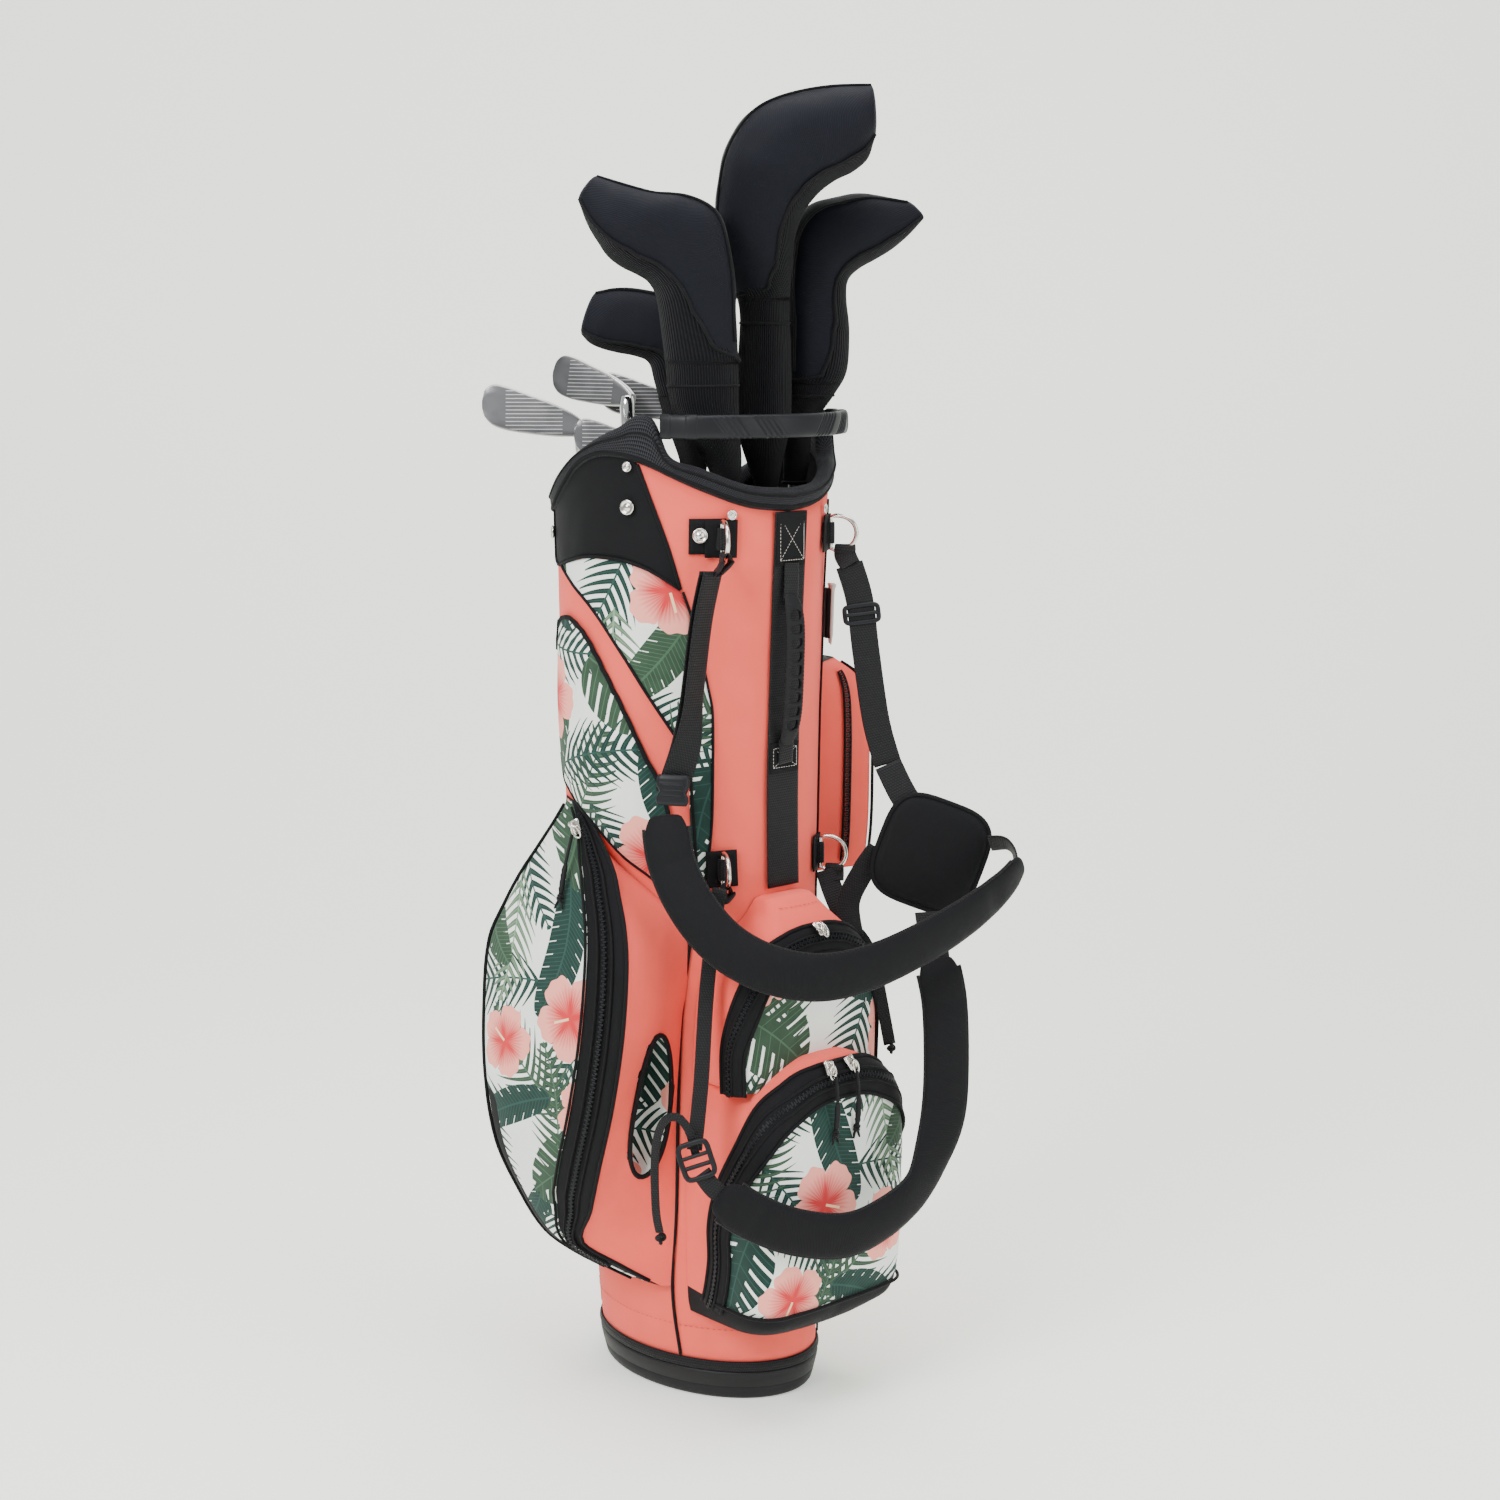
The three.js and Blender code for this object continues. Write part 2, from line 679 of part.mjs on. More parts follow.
// The webbing from the upper left ring down to the first pad.
const STRAP_UPPER_LEFT = [
  [-86, -101, 742],
  [-90, -93, 701],
  [-94, -88, 650],
  [-98, -83, 599],
  [-105, -76, 566],
  [-109, -73, 553],
];
const PAD_LEFT = [
  [-117, -74, 537],
  [-120, -84, 500],
  [-116, -105, 463],
  [-102, -131, 431],
  [-78, -161, 411],
  [-44, -187, 403],
  [-3, -205, 408],
  [42, -221, 423],
  [88, -231, 441],
  [125, -238, 461],
  [150, -242, 482],
];
const PAD_RIGHT = [
  [81, -204, 402],
  [83, -213, 365],
  [81, -218, 313],
  [76, -220, 269],
  [63, -220, 236],
  [40, -220, 205],
  [4, -213, 185],
  [-35, -206, 179],
  [-80, -192, 190],
  [-117, -177, 210],
  [-140, -164, 230],
];
const STRAP_UPPER_RIGHT = [
  [73, -105, 738],
  [79, -112, 707],
  [80, -119, 663],
  [83, -129, 602],
  [88, -139, 564],
];

const toPath = (rows) => rows.map((row) => vec(...row));
const outwardFrom = (rows) => {
  const curve = new THREE.CatmullRomCurve3(toPath(rows), false, 'centripetal');
  return (t) => {
    const p = curve.getPointAt(t);
    return vec(p.x, p.y - 17, 0).normalize();
  };
};

// The way the freely hanging lengths of the harness face, and a turn from it to plain outward.
const HANG = vec(-0.55, -0.83, 0).normalize();
const turningFrom = (rows, low, high) => {
  const plain = outwardFrom(rows);
  return (t) => {
    const s = Math.min(Math.max((t - low) / (high - low), 0), 1);
    const share = s * s * (3 - 2 * s);
    return HANG.clone().multiplyScalar(1 - share).addScaledVector(plain(t), share).normalize();
  };
};

const ribbon = (rows, face, halfWidth, halfThick, count) =>
  band(toPath(rows), face, () => halfWidth, () => halfThick, count, 4, 4);

const padTaper = (t) => 1 - 0.35 * Math.abs(2 * t - 1) ** 8;
const padBand = (rows, face, halfWidth, halfThick) =>
  band(
    toPath(rows),
    face,
    (t) => halfWidth * padTaper(t),
    (t) => halfThick * padTaper(t),
    20,
    2.6,
    8,
  );

add('strap_upper_left', ribbon(STRAP_UPPER_LEFT, outwardFrom(STRAP_UPPER_LEFT), 12.5, 0.9, 12), 'webbing');
add('shoulder_pad_left', padBand(PAD_LEFT, outwardFrom(PAD_LEFT), 20, 8), 'black_fabric');
add('shoulder_pad_right', padBand(PAD_RIGHT, turningFrom(PAD_RIGHT, 0.3, 0.55), 19.5, 8), 'black_fabric');
add('strap_upper_right', ribbon(STRAP_UPPER_RIGHT, () => HANG.clone(), 12.5, 0.9, 12), 'webbing');

// The rounded square pad where the straps meet.
const HIP_CENTRE = [110, -171, 485];
const HIP_HALF = [49, 50];

function hipPadGeometry() {
  const centre = vec(...HIP_CENTRE);
  const across = vec(0.77, -0.64, 0).normalize();
  const normal = vec(0.64, 0.77, 0).normalize();
  const layer = (shift, scale) =>
    Array.from({ length: 24 }, (_, i) => {
      const t = (i / 24) * 2 * Math.PI;
      const x = Math.sign(Math.cos(t)) * Math.abs(Math.cos(t)) ** 0.56;
      const y = Math.sign(Math.sin(t)) * Math.abs(Math.sin(t)) ** 0.56;
      const c = x * 0.9 + y * 0.34;
      const s = y * 0.9 - x * 0.34;
      return centre
        .clone()
        .addScaledVector(normal, shift)
        .addScaledVector(across, c * HIP_HALF[0] * scale)
        .add(vec(0, 0, s * HIP_HALF[1] * scale));
    });
  return loft([layer(-6, 0.86), layer(-3, 0.98), layer(3, 0.98), layer(6, 0.86)]);
}

add('hip_pad', hipPadGeometry(), 'black_fabric');

// A rectangular frame that slides along the right strap, and the lock at the other end.
function frameGeometry(centre, along, face, halfWide, halfLong, bar, halfThick) {
  const across = along.clone().cross(face).normalize();
  const block = (long, wide, thick) =>
    roundedRingBlock(centre, across, along, face, wide, long, thick);
  const frame = block(halfLong, halfWide, halfThick);
  const window = roundedRing(centre, across, along, halfWide - bar, halfLong - bar, 8, 8);
  const tool = loft([-20, 20].map((s) => window.map((p) => p.clone().addScaledVector(face, s))));
  return cutBy(frame, tool);
}

function adjusterGeometry() {
  const curve = new THREE.CatmullRomCurve3(toPath(STRAP_UPPER_RIGHT), false, 'centripetal');
  const centre = curve.getPointAt(0.25);
  const along = curve.getTangentAt(0.25);
  const face = HANG.clone();
  face.addScaledVector(along, -face.dot(along)).normalize();
  const across = along.clone().cross(face).normalize();
  const sleeve = roundedRingBlock(centre, across, along, face, 17, 9, 4.5);
  const channel = [-30, 30].map((s) =>
    roundedRing(centre.clone().addScaledVector(along, s), across, face, 14, 2.2, 8, 8),
  );
  return cutBy(sleeve, loft(channel));
}

add('strap_adjuster_right', adjusterGeometry(), 'moulded_plastic');

const LOCK_CENTRE = vec(-151, -148, 258);
add(
  'ladder_lock_left',
  frameGeometry(LOCK_CENTRE, vec(0.1, -0.35, -0.93).normalize(), vec(-0.75, -0.62, 0.15).normalize(), 15, 17, 4, 2.5),
  'moulded_plastic',
);

// ---- Clubs --------------------------------------------------------------------------------------

// Each club's places on the boot floor and at the rim, in X and Y.
const CLUBS = {
  driver: { butt: [24, -40], rim: [30, -45] },
  fairway_left: { butt: [-10, -75], rim: [-40, -66] },
  fairway_right: { butt: [19, -4], rim: [75, -37] },
  hybrid: { butt: [22, 30], rim: [7, 24] },
  iron_1: { butt: [-15, 44], rim: [-69, 84] },
  iron_2: { butt: [5, 72], rim: [-10, 90] },
  iron_3: { butt: [42, 48], rim: [52, 77] },
  iron_4: { butt: [-40, 5], rim: [-50, 6] },
};

const clubLine = ({ butt, rim }) => {
  const start = vec(butt[0], butt[1], BUTT_Z);
  const end = vec(rim[0], rim[1], RIM_Z);
  const along = end.clone().sub(start).normalize();
  return {
    along,
    start,
    atHeight: (z) => start.clone().addScaledVector(along, (z - BUTT_Z) / along.z),
  };
};

// A round, tapering rod: rows of [distance from the start, radius].
function rod(line, rows, count = 10) {
  const side = line.along.clone().cross(NEAR).normalize();
  const other = line.along.clone().cross(side);
  return loft(
    rows.map(([distance, radius]) =>
      roundedRing(line.start.clone().addScaledVector(line.along, distance), side, other, radius, radius, 2, count),
    ),
  );
}

function gripAndShaft(name, line, headHeight, tipRadius, material) {
  const length = (headHeight - BUTT_Z) / line.along.z;
  add(
    `${name}_grip`,
    rod(line, [
      [0, GRIP_BUTT_RADIUS - 1.5],
      [2, GRIP_BUTT_RADIUS],
      [GRIP_LENGTH * 0.5, (GRIP_BUTT_RADIUS + GRIP_TIP_RADIUS) / 2],
      [GRIP_LENGTH, GRIP_TIP_RADIUS],
    ]),
    'rubber',
  );
  add(
    `${name}_shaft`,
    rod(line, [
      [GRIP_LENGTH + GAP, 7.2],
      [GRIP_LENGTH + 220, 6.4],
      [length - GAP, tipRadius],
    ], 8),
    material,
  );
}

// A wood head: a flattened egg on a short hosel. toe is +1 or -1 along ACROSS.
function woodHead(line, height, toe, [halfToe, halfHigh, halfDeep], rise, deepShift) {
  const socket = line.atHeight(height);
  const outward = ACROSS.clone().multiplyScalar(toe);
  const toeWay = outward.clone().multiplyScalar(Math.cos(rise)).add(vec(0, 0, Math.sin(rise)));
  const sole = vec(0, 0, Math.cos(rise)).addScaledVector(outward, -Math.sin(rise));
  const egg = new THREE.SphereGeometry(1, 14, 8);
  const frame = new THREE.Matrix4().makeBasis(
    toeWay.clone().multiplyScalar(halfToe),
    NEAR.clone().multiplyScalar(halfDeep),
    sole.clone().multiplyScalar(halfHigh),
  );
  if (frame.determinant() < 0) frame.scale(vec(1, -1, 1));
  frame.setPosition(
    socket
      .clone()
      .addScaledVector(toeWay, halfToe * 0.8)
      .addScaledVector(NEAR, deepShift),
  );
  egg.applyMatrix4(frame);
  const length = (height - BUTT_Z) / line.along.z;
  const hosel = rod(line, [
    [length - 34, 6.2],
    [length - 20, 7],
    [length + 6, 8],
  ], 8);
  return joined(egg, hosel);
}

// A headcover's side view: for each section, its inner and outer edge across the fan and in height.
// The last number is its half depth. Positions across are measured along ACROSS from the origin.
const COVERS = {
  driver: {
    shift: 20,
    rows: [
      [44, 803, 63, 803, 9],
      [35, 828, 68, 828, 15],
      [26, 863, 75, 863, 21],
      [28, 914, 75, 914, 22],
      [29, 961, 73, 961, 24],
      [15, 991, 75, 991, 30],
      [9, 1025, 78, 1018, 38],
      [10, 1060, 86, 1041, 46],
      [18, 1094, 97, 1055, 51],
      [38, 1123, 112, 1065, 53],
      [66, 1137, 126, 1072, 53],
      [104, 1144, 139, 1083, 50],
      [141, 1145, 144, 1098, 38],
    ],
  },
  fairway_left: {
    shift: 4,
    rows: [
      [8, 803, 29, 803, 9],
      [2, 826, 32, 826, 13],
      [-27, 873, 30, 873, 20],
      [-33, 911, 30, 911, 22],
      [-39, 960, 28, 949, 25],
      [-46, 978, 27, 982, 28],
      [-56, 986, 22, 1015, 31],
      [-70, 993, 12, 1040, 33],
      [-81, 1001, -12, 1052, 34],
      [-88, 1012, -38, 1054, 33],
      [-97, 1027, -63, 1060, 29],
      [-104, 1046, -88, 1067, 18],
    ],
  },
  fairway_right: {
    shift: -4,
    rows: [
      [88, 806, 68, 806, 9],
      [92, 829, 68, 829, 12],
      [96, 858, 68, 858, 16],
      [114, 884, 70, 884, 20],
      [125, 906, 70, 908, 22],
      [127, 940, 70, 957, 25],
      [124, 967, 70, 985, 27],
      [126, 983, 72, 1008, 30],
      [136, 993, 76, 1030, 32],
      [149, 1000, 90, 1048, 33],
      [163, 1009, 112, 1055, 32],
      [178, 1021, 138, 1058, 27],
      [191, 1036, 175, 1052, 14],
    ],
  },
  hybrid: {
    shift: 0,
    rows: [
      [-20, 803, -1, 803, 9],
      [-25, 830, 2, 830, 13],
      [-38, 866, 5, 866, 18],
      [-45, 892, 6, 896, 19],
      [-50, 911, 5, 925, 20],
      [-62, 917, -2, 950, 21],
      [-78, 920, -20, 966, 21],
      [-92, 923, -46, 974, 20],
      [-102, 928, -74, 977, 18],
      [-109, 936, -96, 973, 11],
    ],
  },
};

// A sock and hood round a head, open at the foot of the sock.
function coverGeometry({ shift, rows }, line) {
  const count = 14;
  const last = rows.length - 1;
  const ringAt = (index, inset) => {
    const [x0, z0, x1, z1, depth] = rows[index];
    const nearness = line.atHeight((z0 + z1) / 2).dot(NEAR);
    const swing = shift * Math.min(Math.max((index - 4) / 4, 0), 1);
    const low = ACROSS.clone().multiplyScalar(x0).add(vec(0, 0, z0));
    const high = ACROSS.clone().multiplyScalar(x1).add(vec(0, 0, z1));
    const middle = low.clone().add(high).multiplyScalar(0.5).addScaledVector(NEAR, nearness + swing);
    const wide = high.clone().sub(low);
    const half = wide.length() / 2;
    wide.normalize();
    return roundedRing(middle, wide, NEAR, half - inset, depth - inset, index < 5 ? 2 : 2.5, count);
  };
  const outside = rows.map((_, index) => ringAt(index, 0));
  const inside = rows.map((_, index) => ringAt(index, COVER_WALL));
  const endShift = outside[last][0].clone().sub(outside[last - 1][0]).normalize();
  inside[last].forEach((p) => p.addScaledVector(endShift, -COVER_WALL));
  const shell = [...outside].reverse().concat(inside);
  return loft(shell);
}

const WOODS = {
  driver: { height: 1083, toe: 1, size: [51, 23, 43], rise: 25 * DEG, shift: 20, tip: 4.5 },
  fairway_left: { height: 996, toe: -1, size: [40, 15, 24], rise: 18 * DEG, shift: 4, tip: 4.4 },
  fairway_right: { height: 1010, toe: 1, size: [42, 17, 25], rise: 20 * DEG, shift: -4, tip: 4.4 },
  hybrid: { height: 934, toe: -1, size: [38, 14, 15], rise: 14 * DEG, shift: 0, tip: 4.4 },
};

Object.entries(WOODS).forEach(([name, { height, toe, size, rise, shift, tip }]) => {
  const line = clubLine(CLUBS[name]);
  const hoselFoot = height - 34 * line.along.z;
  add(`${name}_head`, woodHead(line, height, toe, size, rise, shift), 'graphite');
  gripAndShaft(name, line, hoselFoot, tip, 'graphite');
  add(`${name}_cover`, coverGeometry(COVERS[name], line), 'neoprene');
});

// An iron's blade, from heel to toe: distance out, top line, sole, sole half thickness, top half thickness.
const BLADE = [
  [-5, -4, 6, 5, 4],
  [6, -6, 14, 6, 3.5],
  [24, -7, 22, 7.5, 3],
  [46, -6, 29, 8, 3],
  [66, -4, 35, 7.5, 3],
  [78, 0, 36, 6, 3],
  [85, 7, 30, 4, 3],
  [87, 14, 22, 2.5, 2.5],
];
const BLADE_LOFT = 12 * DEG;

function ironHead(line, height, scale, turn) {
  const socket = line.atHeight(height);
  const spin = (way) => way.applyAxisAngle(vec(0, 0, 1), turn);
  const face = spin(NEAR.clone());
  const toeWay = spin(ACROSS.clone().negate()).add(vec(0, 0, 0.06)).normalize();
  const up = vec(0, 0, Math.cos(BLADE_LOFT)).addScaledVector(face, -Math.sin(BLADE_LOFT));
  const back = face.multiplyScalar(-Math.cos(BLADE_LOFT)).add(vec(0, 0, -Math.sin(BLADE_LOFT)));
  const rings = BLADE.map(([out, top, sole, soleHalf, topHalf]) => {
    const base = socket.clone().addScaledVector(toeWay, out * scale);
    const at = (rise, depth) =>
      base.clone().addScaledVector(up, rise * scale).addScaledVector(back, depth * scale);
    return [
      at(top, -2),
      at((top + sole) / 2, -2),
      at(sole - 2, -2),
      at(sole, soleHalf - 2),
      at(sole - 2, 2 * soleHalf - 3),
      at(sole * 0.6 + top * 0.4, 2 * topHalf - 1),
      at(top + 1, 2 * topHalf - 2),
    ];
  });
  const length = (height - BUTT_Z) / line.along.z;
  const hosel = rod(line, [
    [length - 52, 5.6],
    [length - 48, 6.4],
    [length - 4, 6.6],
    [length + 4, 5.5],
  ], 12);
  return joined(loft(rings), hosel);
}

const IRONS = {
  iron_1: { height: 853, scale: 1, turn: 0 },
  iron_2: { height: 878, scale: 0.97, turn: -33 * DEG },
  iron_3: { height: 864, scale: 0.94, turn: 0 },
  iron_4: { height: 831, scale: 0.84, turn: 0 },
};

Object.entries(IRONS).forEach(([name, { height, scale, turn }]) => {
  const line = clubLine(CLUBS[name]);
  add(`${name}_head`, ironHead(line, height, scale, turn), 'steel');
  gripAndShaft(name, line, height - 52 * line.along.z, 4.8, 'steel');
});

export default group;
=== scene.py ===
# A golf club set: the cloth, cords, hardware and club looks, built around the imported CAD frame.
# Shapes are worked out in millimetres in the frame's own axes and become metres when a mesh is made.
import math

import bpy
import numpy as np
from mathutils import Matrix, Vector, noise


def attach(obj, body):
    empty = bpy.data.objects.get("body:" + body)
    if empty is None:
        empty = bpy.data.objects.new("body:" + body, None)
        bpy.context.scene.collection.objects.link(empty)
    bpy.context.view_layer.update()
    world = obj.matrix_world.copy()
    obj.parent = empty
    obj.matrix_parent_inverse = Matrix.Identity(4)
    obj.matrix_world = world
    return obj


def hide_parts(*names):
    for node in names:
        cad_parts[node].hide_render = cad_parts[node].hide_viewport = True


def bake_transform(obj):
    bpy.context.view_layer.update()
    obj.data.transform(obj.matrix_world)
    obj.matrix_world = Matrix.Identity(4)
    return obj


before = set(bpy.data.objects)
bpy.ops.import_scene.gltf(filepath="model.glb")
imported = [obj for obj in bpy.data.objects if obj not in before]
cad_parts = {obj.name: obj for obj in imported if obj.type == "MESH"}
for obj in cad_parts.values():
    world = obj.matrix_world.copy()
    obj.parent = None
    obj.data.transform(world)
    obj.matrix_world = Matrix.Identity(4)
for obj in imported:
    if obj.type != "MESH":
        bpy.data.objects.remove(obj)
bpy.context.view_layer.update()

MM = 0.001
DEG = math.pi / 180
UP = np.array([0.0, 0.0, 1.0])

# ---- Camera -------------------------------------------------------------------------------------

CAMERA_AZIMUTH = -44 * DEG
CAMERA_DISTANCE = 2.357
CAMERA_SIDE = 0.0389
CAMERA_HEIGHT = 0.952
CAMERA_PITCH = 9.206 * DEG
CAMERA_LENS = 64.27


def make_camera():
    data = bpy.data.cameras.new("camera")
    data.lens = CAMERA_LENS
    data.sensor_width = 36
    camera = bpy.data.objects.new("camera", data)
    bpy.context.scene.collection.objects.link(camera)
    s, c = math.sin(CAMERA_AZIMUTH), math.cos(CAMERA_AZIMUTH)
    camera.location = (
        CAMERA_DISTANCE * s + CAMERA_SIDE * c, -CAMERA_DISTANCE * c + CAMERA_SIDE * s, CAMERA_HEIGHT
    )
    camera.rotation_euler = (math.pi / 2 - CAMERA_PITCH, 0, CAMERA_AZIMUTH)
    bpy.context.scene.camera = camera


make_camera()

# ---- The bag's outline, as in the CAD ------------------------------------------------------------

# Height, half width in X, half depth in Y, middle in Y.
TUBE = [
    (0, 81.5, 115.5, 0), (30, 81.5, 115.5, 0), (100, 85, 117, 3), (300, 99, 113, 12),
    (525, 115, 111, 18), (700, 119, 117, 18.5), (800, 121, 121, 17.5), (900, 122, 122, 17)
]
# Angle from the front, height of the sewn seam, height of the padded rim.
MOUTH = [
    (0, 791, 808), (20, 796, 812), (40, 811, 827), (53, 823, 838), (58, 828, 866), (66, 834, 870),
    (72, 837, 862), (84, 837, 851), (96, 827, 838), (108, 808, 824), (123, 789, 806), (150, 778, 796),
    (180, 775, 792)
]
BOOT_TOP = 27
BINDING_TOP = 37
MIDDLE_Y = 17  # of the upper bag


def read(rows, key):
    """A table's values at a key, on a smooth curve through its rows."""
    last = len(rows) - 1
    k = min(max(key, rows[0][0]), rows[last][0])
    i = 0
    while i < last - 1 and rows[i + 1][0] < k:
        i += 1
    span = rows[i + 1][0] - rows[i][0]
    t = (k - rows[i][0]) / span

    def slope(j):
        a, b = rows[max(j - 1, 0)], rows[min(j + 1, last)]
        return (np.array(b[1:]) - np.array(a[1:])) / (b[0] - a[0]) * span

    start, end = np.array(rows[i][1:], float), np.array(rows[i + 1][1:], float)
    return (
        start * (1 + t * t * (2 * t - 3)) + slope(i) * t * (1 - t) ** 2 + end * t * t * (3 - 2 * t)
        + slope(i + 1) * t * t * (t - 1)
    )


def line(rows, key):
    """A table's value at a key, on straight lines through its rows."""
    return float(np.interp(key, [r[0] for r in rows], [r[1] for r in rows]))


def tube(angle, z, offset=0.0):
    """A point of the bag's outside: angle from the front in degrees, positive towards -X."""
    a, b, middle = read(TUBE, z)
    s, c = math.sin(angle * DEG), math.cos(angle * DEG)
    return np.array([-(a + offset) * s, middle - (b + offset) * c, z])


def tube_out(angle, z):
    """The bag's outward way at an angle and a height."""
    a, b, _ = read(TUBE, z)
    out = np.array([-math.sin(angle * DEG) / a, -math.cos(angle * DEG) / b, 0])
    return out / np.linalg.norm(out)


def seam(angle):
    return float(read(MOUTH, abs(angle))[0])


def rim(angle):
    return float(read(MOUTH, abs(angle))[1])


# ---- Mesh helpers -------------------------------------------------------------------------------


def unit(v):
    v = np.asarray(v, float)
    return v / max(np.linalg.norm(v), 1e-9)


def square_to(way, along):
    """A way made square to another one."""
    return unit(way - along * np.dot(way, along))


def facing(out, way):
    """A direction, or its opposite, so that it points to the side of a given way."""
    return -out if np.dot(out, way) < 0 else out


def full_turn(count):
    """Evenly spaced angles all the way round."""
    return np.linspace(0, 2 * math.pi, count, endpoint=False)


def signed_power(c, power):
    """A sine or cosine bent towards a squarer outline."""
    return np.sign(c) * abs(c) ** power


def run_along(path):
    """How far along a path each of its points lies."""
    return np.concatenate([[0], np.cumsum(np.linalg.norm(np.diff(path, axis=0), axis=1))])


def reversed_faces(faces):
    return [tuple(reversed(f)) for f in faces]


def spaced(points, count):
    """Points evenly spaced along a smooth curve through the given ones."""
    p = np.asarray(points, float)
    if len(p) == 2:
        return p[0] + (p[1] - p[0]) * np.linspace(0, 1, count)[:, None]
    dense = []
    for i in range(len(p) - 1):
        p0, p1, p2, p3 = p[max(i - 1, 0)], p[i], p[i + 1], p[min(i + 2, len(p) - 1)]
        for t in np.linspace(0, 1, 16, endpoint=False):
            dense.append(
                0.5
                * (
                    2 * p1 + (p2 - p0) * t + (2 * p0 - 5 * p1 + 4 * p2 - p3) * t**2
                    + (3 * p1 - p0 - 3 * p2 + p3) * t**3
                )
            )
    dense.append(p[-1])
    dense = np.array(dense)
    run = run_along(dense)
    at = np.linspace(0, run[-1], count)
    return np.stack([np.interp(at, run, dense[:, k]) for k in range(3)], axis=1)


def arc_length(points):
    return float(np.linalg.norm(np.diff(np.asarray(points, float), axis=0), axis=1).sum())


def piece(
    name, points, faces, looks, body="bag", slot="black_fabric", face_look=None, uv=None, smooth=True
):
    """One visible piece from points in millimetres. uv holds one (u, v) in metres for each point."""
    data = bpy.data.meshes.new(name)
    data.from_pydata((np.asarray(points, float) * MM).tolist(), [], faces)
    data.update()
    for look in looks if isinstance(looks, (list, tuple)) else [looks]:
        data.materials.append(look)
    if face_look is not None:
        data.polygons.foreach_set("material_index", face_look)
    if smooth:
        data.polygons.foreach_set("use_smooth", [True] * len(data.polygons))
    layer = data.uv_layers.new(name="cloth")
    if uv is None:
        uv = np.asarray(points, float)[:, [0, 2]] * MM
    loops = np.zeros(len(data.loops), np.int32)
    data.loops.foreach_get("vertex_index", loops)
    layer.data.foreach_set("uv", np.asarray(uv, float)[loops].ravel())
    obj = bpy.data.objects.new(name, data)
    bpy.context.scene.collection.objects.link(obj)
    if body:
        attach(obj, body)
    return obj


def grid_faces(rows, columns, loop_columns=False, loop_rows=False):
    faces = []
    for r in range(rows if loop_rows else rows - 1):
        for c in range(columns if loop_columns else columns - 1):
            a, b = r * columns + c, r * columns + (c + 1) % columns
            n = ((r + 1) % rows) * columns
            faces.append((a, b, n + (c + 1) % columns, n + c))
    return faces


def grid_uv(grid):
    """Millimetre-true cloth coordinates: the run along each row, and along the middle column."""
    g = np.asarray(grid, float)
    rows, columns, _ = g.shape
    across = np.zeros((rows, columns))
    across[:, 1:] = np.cumsum(np.linalg.norm(np.diff(g, axis=1), axis=2), axis=1)
    across -= across[:, columns // 2][:, None]
    up = np.zeros((rows, columns))
    up[1:] = np.cumsum(np.linalg.norm(np.diff(g, axis=0), axis=2), axis=0)
    middle = up[:, columns // 2]
    return np.stack([across.ravel(), np.repeat(middle, columns)], axis=1) * MM


def turned_out(points, faces):
    """Faces wound so that a closed mesh's normals point out."""
    p = np.asarray(points, float)
    centre = p.mean(axis=0)
    volume = 0.0
    for f in faces:
        for i in range(1, len(f) - 1):
            a, b, c = p[f[0]] - centre, p[f[i]] - centre, p[f[i + 1]] - centre
            volume += float(np.dot(a, np.cross(b, c)))
    return faces if volume > 0 else reversed_faces(faces)


def rings_piece(name, rings, look, body="bag", slot="black_fabric", caps=True, looped=False, **more):
    """A skin over closed rings, capped at both ends or joined end to end."""
    r = np.asarray(rings, float)
    count, n, _ = r.shape
    faces = grid_faces(count, n, loop_columns=True, loop_rows=looped)
    if caps and not looped:
        faces += [tuple(range(n))[::-1], tuple((count - 1) * n + i for i in range(n))]
    points = r.reshape(-1, 3)
    flipped = turned_out(points, faces)
    around = np.linspace(0, arc_length(r[0]), n)
    along = run_along(r[:, 0])
    uv = np.stack([np.tile(around, count), np.repeat(along, n)], axis=1) * MM
    return piece(name, points, flipped, look, body, slot, uv=uv, **more)


def sweep_rings(path, outline, face=None, size=None, looped=False):
    """Rings of a flat outline of (wide, out) pairs carried along a path. face gives the outward side."""
    path = np.asarray(path, float)
    n = len(path)
    rings = []
    previous = None
    for i in range(n):
        if looped:
            along = unit(path[(i + 1) % n] - path[i - 1])
        else:
            along = unit(path[min(i + 1, n - 1)] - path[max(i - 1, 0)])
        if face is not None:
            out = np.asarray(face(i / (n - 1)) if callable(face) else face, float)
        elif previous is None:
            out = UP if abs(along[2]) < 0.9 else np.array([1.0, 0, 0])
        else:
            out = previous
        out = square_to(out, along)
        previous = out
        wide = np.cross(along, out)
        shape = np.asarray(outline(i / (n - 1)) if callable(outline) else outline, float)
        scale = 1 if size is None else size(i / (n - 1))
        rings.append(path[i] + scale * (shape[:, :1] * wide + shape[:, 1:] * out))
    return np.array(rings)


def round_outline(half_wide, half_out, power=2.0, count=12):
    t = (np.arange(count) + 0.5) / count * 2 * math.pi
    c, s = np.cos(t), np.sin(t)
    x = signed_power(c, 2 / power) * half_wide
    y = signed_power(s, 2 / power) * half_out
    return np.stack([x, y], axis=1)


def rod(name, path, radius, look=None, body="bag", slot="black_fabric", sides=8, looped=False):
    """A round cord, wire or piping along a path."""
    rings = sweep_rings(path, round_outline(radius, radius, count=sides), looped=looped)
    return rings_piece(name, rings, look or black_canvas, body, slot, looped=looped)


def set_uv(obj, uv):
    """New cloth coordinates, one pair for each point, in metres."""
    loops = np.zeros(len(obj.data.loops), np.int32)
    obj.data.loops.foreach_get("vertex_index", loops)
    obj.data.uv_layers["cloth"].data.foreach_set("uv", np.asarray(uv, float)[loops].ravel())


